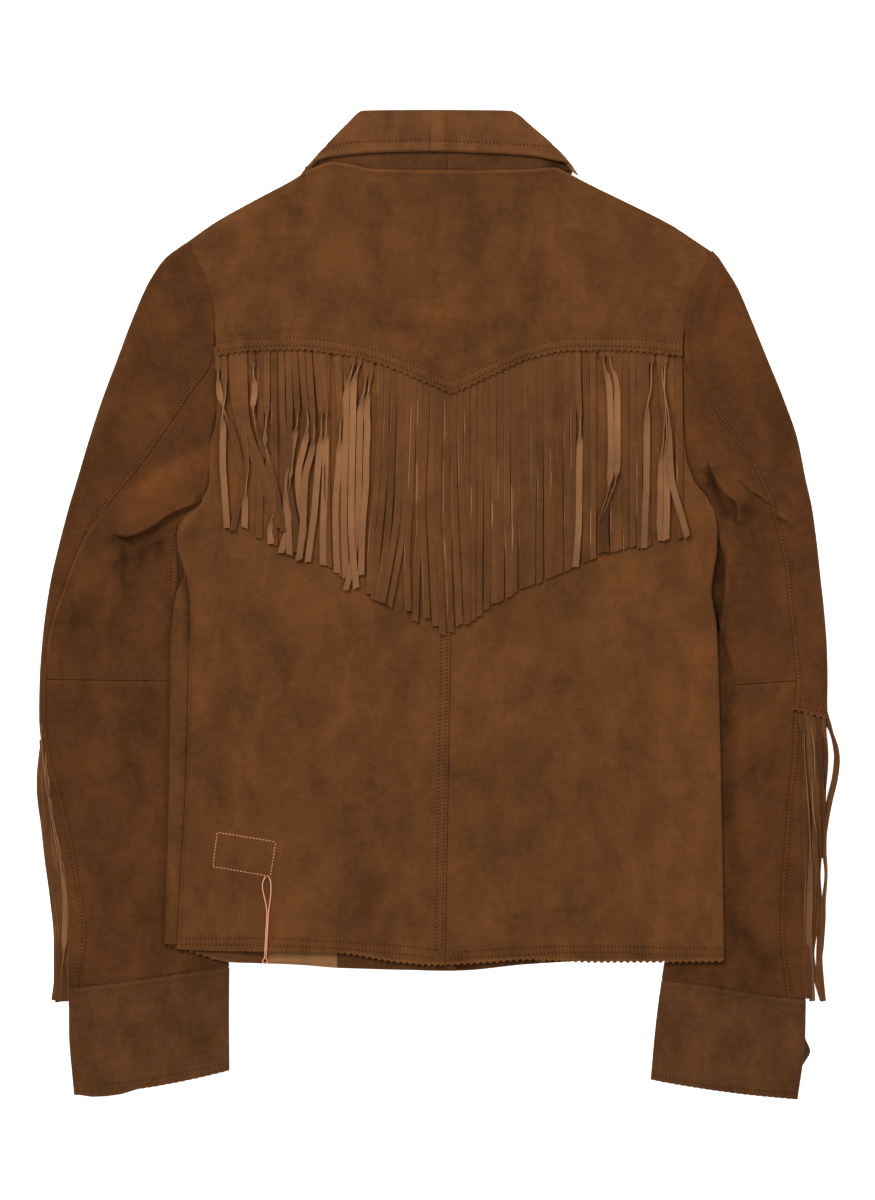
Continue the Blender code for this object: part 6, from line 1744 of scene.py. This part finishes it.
# Slits between strips: the way (layout), how far the strips part (mm), how much cut edge shows (mm).
SLITS = [
    ([(241, 372), (240, 400)], 0.8, 0.4), ([(234, 365), (233, 385)], 0.3, 0.4), ([(228, 372), (227, 400)], 0.7, 0.3),
    ([(279, 356), (279, 375)], 0.4, 0.3), ([(282, 372), (281, 420)], 0.5, 0.3), ([(335, 380), (334, 430)], 0.4, 0.3),
    ([(377.5, 371), (376.6, 397)], 0.5, 0.5), ([(389.4, 383), (386, 433), (386, 441)], 1.0, 0.3), ([(400.6, 399), (396.6, 525)], 0.7, 0.2),
    ([(412, 385), (410, 485), (409, 515)], 0.6, 0.6), ([(418, 395), (417.4, 430)], 0.2, 0.5), ([(431, 379), (430, 445)], 0.5, 0.2),
    ([(446, 391), (446, 425), (445, 449)], 0.9, 0.6), ([(453, 457), (449, 517), (447, 600)], 0.6, 0.2), ([(465, 413), (465, 473)], 0.5, 0.3),
    ([(417, 517), (417.6, 538)], 0.9, 0.2), ([(441, 571), (440, 621)], 0.5, 0.6), ([(571, 386), (573.6, 434), (568, 476)], 0.6, 0.5),
    ([(562.4, 426), (562.4, 452)], 0.2, 0.6), ([(583, 370), (583.6, 436)], 0.7, 0.2), ([(590, 366), (590.4, 392)], 0.5, 0.2),
    ([(596.4, 360), (596.4, 380)], 0.2, 0.6), ([(597, 426), (594, 470), (593, 496)], 0.7, 0.5), ([(622, 368), (625, 390)], 0.5, 0.2),
    ([(629, 366), (631, 396)], 0.5, 0.2), ([(637, 366), (640, 392)], 0.5, 0.2), ([(655, 394), (655, 412)], 0.6, 0.3),
    ([(671, 404), (671, 426)], 0.7, 0.4), ([(574, 510), (574, 566)], 0.8, 0.3), ([(647, 520), (647.6, 544)], 0.7, 0.5),
    ([(621, 530), (620.6, 552)], 0.7, 0.5), ([(486, 384), (486, 430)], 0.5, 0.3), ([(500, 420), (500, 520)], 0.4, 0.4),
    ([(520, 372), (520, 420)], 0.4, 0.4), ([(533, 460), (533, 560)], 0.5, 0.3), ([(546, 380), (546, 470)], 0.4, 0.4),
]


def make_back_fringe():
    rng = np.random.default_rng(21)
    strips = Strips()

    def height(x, y):
        return back_height(x, y) + relief("body", x, y) + STEP + 0.05

    pitch = 371.0 / 70
    taken = [at(path[0])[0][0] for path, _, _ in LOOSE_STRIPS]
    slots = [-176.0 + pitch * (k + 0.5) for k in range(70)]
    loose_slots = set()
    for x in taken:
        order = sorted(range(70), key=lambda k: abs(slots[k] - x))
        loose_slots.add(next(k for k in order if k not in loose_slots))
    # Where two strips part: from and to (layout y), how far, and how much cut edge shows.
    parted = {}
    borders = np.array([438.0 + (x - 0.5 * pitch) / 0.8 for x in slots])
    for way, dark, light in SLITS:
        k = int(np.argmin(np.abs(borders - np.mean([p[0] for p in way]))))
        parted.setdefault(k, []).append((way[0][1], way[-1][1], dark, light))
    for k in range(1, 70):
        top = 605.5 - float(yoke_low(slots[k])) / 0.8
        end = 605.5 - float(STRIP_END(np.clip(slots[k], -168.0, 198.0))) / 0.8
        for _ in range(2):
            if rng.uniform() < (0.55 if k in parted else 0.75):
                y0 = rng.uniform(top + 12.0, lerp(top, end, 0.75))
                parted.setdefault(k, []).append((y0, min(y0 + rng.uniform(24.0, 90.0), end + 10.0), rng.uniform(0.0, 0.36), rng.uniform(0.15, 0.75)))
    drift = 0.0
    for k, x_top in enumerate(slots):
        if k in loose_slots:
            continue
        drift = 0.7 * drift + 0.55 * rng.normal()
        t = (x_top + 175.8) / (194.3 + 175.8)
        x_end = lerp(-176.0, 195.0, t) + drift * 0.8
        y_top = float(yoke_low(x_top)) + 7.0
        y_end = float(STRIP_END(np.clip(x_end, -168.0, 198.0)))
        y_end += rng.normal() * (1.4 if x_top < 11 else 0.25)
        lift = rng.uniform(0.0, 0.2)
        ramp = (7.0, 14.0)
        tilt = rng.uniform(-5, 5)
        rolls = [(0.0, 0.0), (0.25, tilt), (0.65, tilt + rng.uniform(-6, 6)), (1.0, rng.uniform(-8, 8))]
        if k in ASTRAY:
            way, turn, high = ASTRAY[k]
            line = curve_through(np.vstack([[x_top, y_top], [x_top, y_top - 22.0], at(*way)]), 4.0)
            lift, ramp = lift + high, (95.0, 40.0)
            rolls = [(0.0, 0.0), (0.3, tilt), (0.7, 0.4 * turn), (1.0, turn)]
        else:
            n = max(24, int((y_top - y_end) / 3.4))
            s = np.linspace(0.0, 1.0, n)
            sway = 1.1 if x_top < 11 else 0.7
            xs = lerp(x_top, x_end, s) + sway * s * np.sin(s * rng.uniform(2.0, 5.0) + rng.uniform(0, 6.28))
            xs += 0.4 * s * noise(s * 150.0, s * 0.0 + k, 30.0, k)
            line = np.column_stack([xs, lerp(y_top, y_end, s)])
        py = 605.5 - line[:, 1] / 0.8
        cut, bevel = np.zeros((len(line), 2)), np.full((len(line), 2), 0.06)
        for border, edge, share in ((k, 0, 0.65), (k + 1, 1, 0.35)):
            for y0, y1, dark, light in parted.get(border, []):
                part = (py - y0) / (y1 - y0)
                opened = smooth(4.0 * np.minimum(part, 1.0 - part))
                cut[:, edge] += share * dark * opened
                bevel[:, edge] += (1.8 * share if edge == 0 else 0.5 * share) * light * opened
        strips.add(line, height, rolls, width=pitch * rng.uniform(0.985, 1.005), lift=lift, ramp=ramp, cut=cut, bevel=bevel,
                   tone=rng.normal() * 0.05, red=rng.uniform(0.0, 0.5), cup=rng.uniform(0.02, 0.14),
                   slant=(rng.uniform(0.4, 2.6) if x_top < 11 else rng.uniform(-2.4, -1.8)))
    for path, turns, lift in LOOSE_STRIPS:
        px = np.array(path, float)
        first = at(*path[:1])[0]
        start = np.array([[first[0], float(yoke_low(first[0])) + 7.0]])
        points = np.vstack([start, at(*path[1:])])
        line = curve_through(points, 3.0)
        ys = 605.5 - line[:, 1] / 0.8
        total = np.linalg.norm(np.diff(line, axis=0), axis=1)
        run = np.concatenate([[0], np.cumsum(total)]) / total.sum()
        rolls = [(float(np.interp(y, ys, run)), a) for y, a in turns]
        rolls = [(max(0.0, r[0]), r[1]) for r in rolls]
        strips.add(line, height, rolls, width=5.1, lift=lift, tone=rng.normal() * 0.06, red=0.2, ramp=(16.0, 30.0), fade=0.45,
                   slant=rng.uniform(-2.5, 2.5), cup=0.25)
    strips.finish("back_fringe_strips", "back_fringe", (0.373, 0.225), ["back_left_suede", "back_right_suede"])


def sleeve_skin(side):
    """Height of a strip that lies on a sleeve and hangs over its outer fold to the floor."""
    def height(x, y):
        outer = OUTER_LEFT(y) if side < 0 else OUTER_RIGHT(y)
        inside = (x - outer) if side < 0 else (outer - x)
        top = sleeve_height(x, y) + relief("left" if side < 0 else "right", x, y) * smooth(inside / 6.0) + STEP
        if side < 0:
            # These strips come out of the fold, not over it.
            return lerp(0.7, 2.4, smooth((inside + 4.0) / 5.0))
        return lerp(0.9, top - 0.4, smooth((inside + 6.5) / 9.0))
    return height


# Left: start (layout y), end, place across the gap from the outline (0) to the fold (1) at the start,
# a third down and the end, lift, turned over (1) from a part of the way.
LEFT_STRIPS = [
    (700, 999.5, 1.00, 0.10, 0.06, 0.1, 0), (706, 1000, 1.00, 0.22, 0.16, 0.5, 0), (712, 999, 1.00, 0.06, 0.10, 0.9, 0),
    (722, 1002, 1.00, 0.36, 0.28, 0.3, 0), (734, 999, 1.00, 0.16, 0.04, 1.3, 0), (750, 1001, 1.00, 0.44, 0.34, 0.8, 0),
    (768, 1000, 1.00, 0.30, 0.14, 1.6, 0), (790, 1000, 1.00, 0.52, 0.52, 0.5, 0), (812, 1001, 1.00, 0.60, 0.72, 0.3, 0),
    (836, 1000, 1.00, 0.74, 0.84, 0.1, 0), (862, 1001, 1.00, 0.82, 0.88, 0.5, 0), (890, 999, 1.00, 0.92, 0.94, 0.2, 0),
]
LEFT_OUTLINE = [(y, x) for x, y in ((43, 700), (40.5, 714), (31.8, 735), (31.8, 755), (34.8, 785), (40.4, 820), (44.4, 860), (49.2, 900), (53.2, 940), (53.6, 980), (51, 1002))]
LEFT_FOLD = [(y, x) for x, y in ((43, 690), (44, 712), (47, 760), (51.5, 805), (60, 851), (69, 897), (70, 930), (69, 963), (69, 985), (70, 1004))]
# Right: each strip's way (layout), turns (part of the way, degrees), width and lift.
RIGHT_WAYS = [
    ([(801, 706), (802.5, 740), (806, 784), (809, 830), (809.6, 860), (809, 900), (808.4, 930), (810, 965), (812, 1001)],
     [(0, 0), (0.04, 0), (0.12, 60), (0.22, 88), (0.44, 96), (0.56, 150), (0.66, 178), (1, 182)], 4.9, 1.5, -0.34),
    ([(806, 706), (808, 750), (811, 800), (814.6, 850), (816.6, 890), (816.2, 918), (814.0, 934), (811.4, 950), (812.4, 964), (817, 982), (822.4, 1001)],
     [(0, 0), (0.04, 0), (0.2, 26), (0.34, 60), (0.5, -14), (0.8, -8), (1, 8)], 4.6, 1.1, 0.06),
    ([(812, 706), (814, 745), (816.4, 790), (818.6, 850), (817.8, 876), (819.4, 900), (819.8, 925), (819.4, 938), (818.8, 960), (821.6, 1000)],
     [(0, 0), (0.04, 0), (0.15, -44), (0.32, -10), (0.6, 12), (1, -8)], 4.3, 0.2, -0.05),
    ([(819, 706), (822.4, 726), (825.6, 745), (826.0, 760), (824.2, 780), (822.4, 802), (822.6, 838), (824.6, 858), (825.5, 876), (823.6, 900), (822.4, 928), (820.6, 946), (820, 960), (821.2, 978), (823.4, 1001)],
     [(0, 0), (0.04, 0), (0.14, 40), (0.35, -24), (0.5, 20), (0.58, 34), (0.66, 20), (0.8, 14), (1, 10)], 4.0, 0.5, 0.04),
    ([(823, 708), (825.6, 718), (830.4, 731), (835.0, 746), (836.6, 760), (834.8, 778), (829.6, 800), (825.4, 822), (823.4, 842), (825.6, 872), (823.4, 905), (820.6, 945), (819, 962), (821, 996)],
     [(0, 0), (0.04, 10), (0.09, 40), (0.15, 20), (0.22, 0), (0.45, 10), (0.56, 60), (0.64, 60), (0.76, 10), (1, 0)], 5.2, 0.3, 0.0),
    ([(803, 708), (804.4, 750), (806.6, 810), (807.6, 860), (806.6, 905), (807, 950), (808, 996)],
     [(0, 0), (0.3, 10), (0.6, -10), (1, 4)], 4.6, 0.2, -0.08),
    ([(809, 708), (811, 750), (814, 800), (814.4, 850), (812, 905), (810.6, 950), (810.4, 996)],
     [(0, 0), (0.3, -26), (0.6, 12), (1, 4)], 4.6, 0.5, -0.04),
]


def make_sleeve_fringe(side):
    word = "left" if side < 0 else "right"
    rng = np.random.default_rng(31 + side)
    strips = Strips()
    height = sleeve_skin(side)
    if side < 0:
        outline, fold = column(LEFT_OUTLINE, 1, 0), column(LEFT_FOLD, 1, 0)
        for y0, y1, a, b, c, lift, turned in LEFT_STRIPS:
            s = np.linspace(0.0, 1.0, 44)
            ys = lerp(y0, y1, s)
            u = lerp(a, b, smooth(s / 0.38)) + (c - b) * smooth((s - 0.3) / 0.7)
            xs = lerp(outline(ys) + 2.2, fold(ys) - 0.5, u) + 0.5 * np.sin(s * 8.0 + rng.uniform(0, 6))
            line = np.column_stack([(xs - 438.0) * 0.8, (605.5 - ys) * 0.8])
            rolls = [(0.0, 62.0), (0.12, 40.0), (0.35, rng.uniform(-22, 22)), (0.7, rng.uniform(-22, 22)), (1.0, rng.uniform(-12, 12))]
            if turned:
                rolls = [(0.0, 70.0), (0.1, 95.0), (0.3, 150.0), (0.45, 182.0), (1.0, 176.0)]
            strips.add(line, height, rolls, width=rng.uniform(4.5, 5.0), lift=lift, tone=rng.normal() * 0.08 - 0.03,
                       bevel=np.tile([0.10, 0.40], (len(line), 1)),
                       red=rng.uniform(0, 0.4), slant=rng.uniform(-2, 2), cup=rng.uniform(0.05, 0.3), ramp=(0.0, 10.0))
        # Strips that lie beneath the others, painted darker as shade.
        for y0, y1, a in ((700.0, 992.0, 0.98), (740.0, 994.0, 0.70), (800.0, 993.0, 0.84)):
            ys = lerp(y0, y1, np.linspace(0.0, 1.0, 40))
            xs = lerp(outline(ys) + 2.2, fold(ys) + 0.5, a)
            line = np.column_stack([(xs - 438.0) * 0.8, (605.5 - ys) * 0.8])
            strips.add(line, height, width=4.8, lift=-0.15, tone=-0.45, ramp=(0.0, 10.0))
        # One strip stands on its edge, a thin light line along the fold, then shows its reverse side.
        line = curve_through(at((42, 714), (42.6, 742), (45.6, 775), (50, 805), (55.4, 838), (60.4, 862), (64.8, 885), (65.6, 910),
                                (64.6, 940), (63.6, 965), (63.6, 1001)), 3.0)
        strips.add(line, height, [(0.0, 80.0), (0.06, 96.0), (0.50, 98.0), (0.60, 165.0), (0.78, 190.0), (0.90, 330.0), (1.0, 352.0)],
                   width=4.7, lift=2.1, tone=-0.18, ramp=(0.0, 10.0))
    else:
        for way, rolls, width, lift, tone in RIGHT_WAYS:
            line = curve_through(at(*way), 3.0)
            strips.add(line, height, rolls, width=width, lift=lift, tone=tone, fade=0.2,
                       bevel=np.tile([0.45, 0.08], (len(line), 1)),
                       red=rng.uniform(0, 0.4), slant=rng.uniform(-2, 2), cup=rng.uniform(0.05, 0.2), ramp=(12.0, 18.0))
        # Beneath them lie strips that reach the outline, down to where the bundle opens; they are painted darker as
        # shade.
        for k in range(6):
            s = np.linspace(0.0, 1.0, 40)
            ys = lerp(707.0, (996.0, 998.0, 996.0, 862.0, 858.0, 852.0)[k], s)
            xs = lerp(802.0 + 4.3 * k, (806.0, 808.4, 810.0, 818.4, 820.6, 822.4)[k], smooth(s / 0.9)) + 0.5 * np.sin(s * 6.0 + k)
            line = np.column_stack([(xs - 438.0) * 0.8, (605.5 - ys) * 0.8])
            strips.add(line, height, [(0.0, 0.0), (0.5, rng.uniform(-14, 14)), (1.0, rng.uniform(-10, 10))], width=4.5,
                       lift=-0.1, tone=-0.30, slant=rng.uniform(-2, 2), cup=0.1)
    length = 0.236
    strips.finish(f"sleeve_fringe_{word}_strips", f"sleeve_fringe_{word}", (0.0782, length),
                  [f"sleeve_top_lower_{word}_suede", "floor"])


# ------------------------------------------------------------------ stitches, tack and loose thread
def make_stitches():
    points = np.vstack([p for p, _ in ROOF])
    start = np.cumsum([0] + [len(p) for p, _ in ROOF[:-1]])
    faces = np.vstack([f + s for (_, f), s in zip(ROOF, start)])
    tree = BVHTree.FromPolygons(points.tolist(), faces.tolist())
    ring = 6
    template = []
    for along, radius in ((-1.0, 0.35), (-0.72, 0.9), (0.0, 1.0), (0.72, 0.9), (1.0, 0.35)):
        for k in range(ring):
            a = 2 * math.pi * k / ring
            template.append((along, radius * math.cos(a), radius * math.sin(a)))
    template = np.array(template)
    quads = []
    for r in range(4):
        for k in range(ring):
            j = (k + 1) % ring
            quads.append((r * ring + k, r * ring + j, (r + 1) * ring + j, (r + 1) * ring + k))
    quads = np.array(quads)
    groups = {}
    rng = np.random.default_rng(5)
    for line, colour, pitch, length, radius in STITCHES:
        step = np.linalg.norm(np.diff(line, axis=0), axis=1)
        run = np.concatenate([[0.0], np.cumsum(step)])
        for s in np.arange(pitch * 0.5, run[-1], pitch):
            x, y = (float(np.interp(s, run, line[:, k])) for k in (0, 1))
            ahead = np.array([float(np.interp(s + 0.6, run, line[:, k])) for k in (0, 1)])
            behind = np.array([float(np.interp(s - 0.6, run, line[:, k])) for k in (0, 1)])
            hit, normal, _, _ = tree.ray_cast(Vector((x, y, 40.0)), Vector((0.0, 0.0, -1.0)))
            if hit is None or normal.z < 0.35:
                continue
            way = np.append(ahead - behind, 0.0)
            turn = rng.normal() * 0.10
            way = np.array([way[0] * math.cos(turn) - way[1] * math.sin(turn), way[0] * math.sin(turn) + way[1] * math.cos(turn), 0.0])
            n = np.array(normal)
            way -= n * way.dot(n)
            way /= np.linalg.norm(way)
            aside = np.cross(n, way)
            big = rng.uniform(0.9, 1.08)
            made = (np.array(hit) + n * 0.02 + template[:, :1] * way * 0.5 * length * big
                    + template[:, 1:2] * aside * radius + template[:, 2:] * n * radius * 0.8)
            groups.setdefault(colour, []).append(made)
    for colour, made in groups.items():
        count = len(made)
        points = np.vstack(made)
        faces = (quads[None] + (np.arange(count) * len(template))[:, None, None]).reshape(-1, 4)
        finish = {"brown": STITCH_BROWN, "rust": STITCH_RUST, "light": STITCH_LIGHT, "salmon": THREAD_SALMON}[colour]
        name = {"salmon": "label_tack_stitches"}.get(colour, f"seam_stitches_{colour}")
        obj = new_mesh(name, points, faces, [finish], np.zeros(len(faces)), {})
        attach(obj, "root")
        print(f"{name}: {count} stitches")
    return tree


def make_thread(tree):
    """The loose thread, from the tack's lower edge down over the hem and back up."""
    route = [(x - gap, y) for y, x, gap in THREAD_ROUTE] + [(x + gap, y) for y, x, gap in THREAD_ROUTE[-2::-1]]
    line = np.array(route, float)
    fine = curve_through(line, 0.4)
    run = np.concatenate([[0.0], np.cumsum(np.linalg.norm(np.diff(fine, axis=0), axis=1))])
    hits = []
    for x, y in fine:
        hit, _, _, _ = tree.ray_cast(Vector((x, y, 40.0)), Vector((0.0, 0.0, -1.0)))
        hits.append(hit.z if hit is not None else 0.0)
    hits = np.array(hits)
    # It comes down from the hem's edge in a slope, not in a step.
    z = np.array([np.max(hits - 0.55 * np.abs(run - r)) for r in run])
    z = np.array([z[np.abs(run - r) < 2.0].mean() for r in run]) + 0.5 * THREAD + 0.15
    points = []
    for x, y in line:
        k = int(np.argmin(np.hypot(fine[:, 0] - x, fine[:, 1] - y)))
        points.append([x, y, max(z[k], 0.5 * THREAD)])
    points = np.array(points)
    curve = bpy.data.curves.new("loose_thread_salmon", "CURVE")
    curve.dimensions = "3D"
    curve.bevel_depth = 0.5 * THREAD * 0.001
    curve.bevel_resolution = 2
    curve.resolution_u = 5
    curve.use_fill_caps = True
    spline = curve.splines.new("BEZIER")
    spline.bezier_points.add(len(points) - 1)
    world = (points + SHIFT) * 0.001
    for point, place in zip(spline.bezier_points, world):
        point.co = place
        point.handle_left_type = point.handle_right_type = "AUTO"
    curve.materials.append(THREAD_SALMON)
    obj = bpy.data.objects.new("loose_thread_salmon", curve)
    bpy.context.scene.collection.objects.link(obj)
    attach(obj, "root")
    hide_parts("loose_thread")


def make_tack():
    corners = at((217.6, 832), (276, 841.5), (270.7, 876), (213.5, 866), (217.6, 832))
    for a, b in zip(corners[:-1], corners[1:]):
        line = np.array([lerp(a, b, s) for s in np.linspace(0.02, 0.98, 12)])
        stitch(line, "salmon", pitch=2.7, length=1.9, radius=0.27)


make_front(1)
make_facing(1)
make_front(-1)
make_facing(-1)
make_sleeve(-1)
make_sleeve(1)
make_cuff(-1)
make_cuff(1)
make_back(1)
make_back(-1)
make_collar()
make_back_fringe()
make_yoke()
make_sleeve_fringe(-1)
make_sleeve_fringe(1)
make_tack()
make_thread(make_stitches())

for node, (w, l, a) in sorted(FLATS.items()):
    print(f"flat {node}: {w * 1000:.0f} x {l * 1000:.0f} mm, {a * 1e4:.0f} cm2")
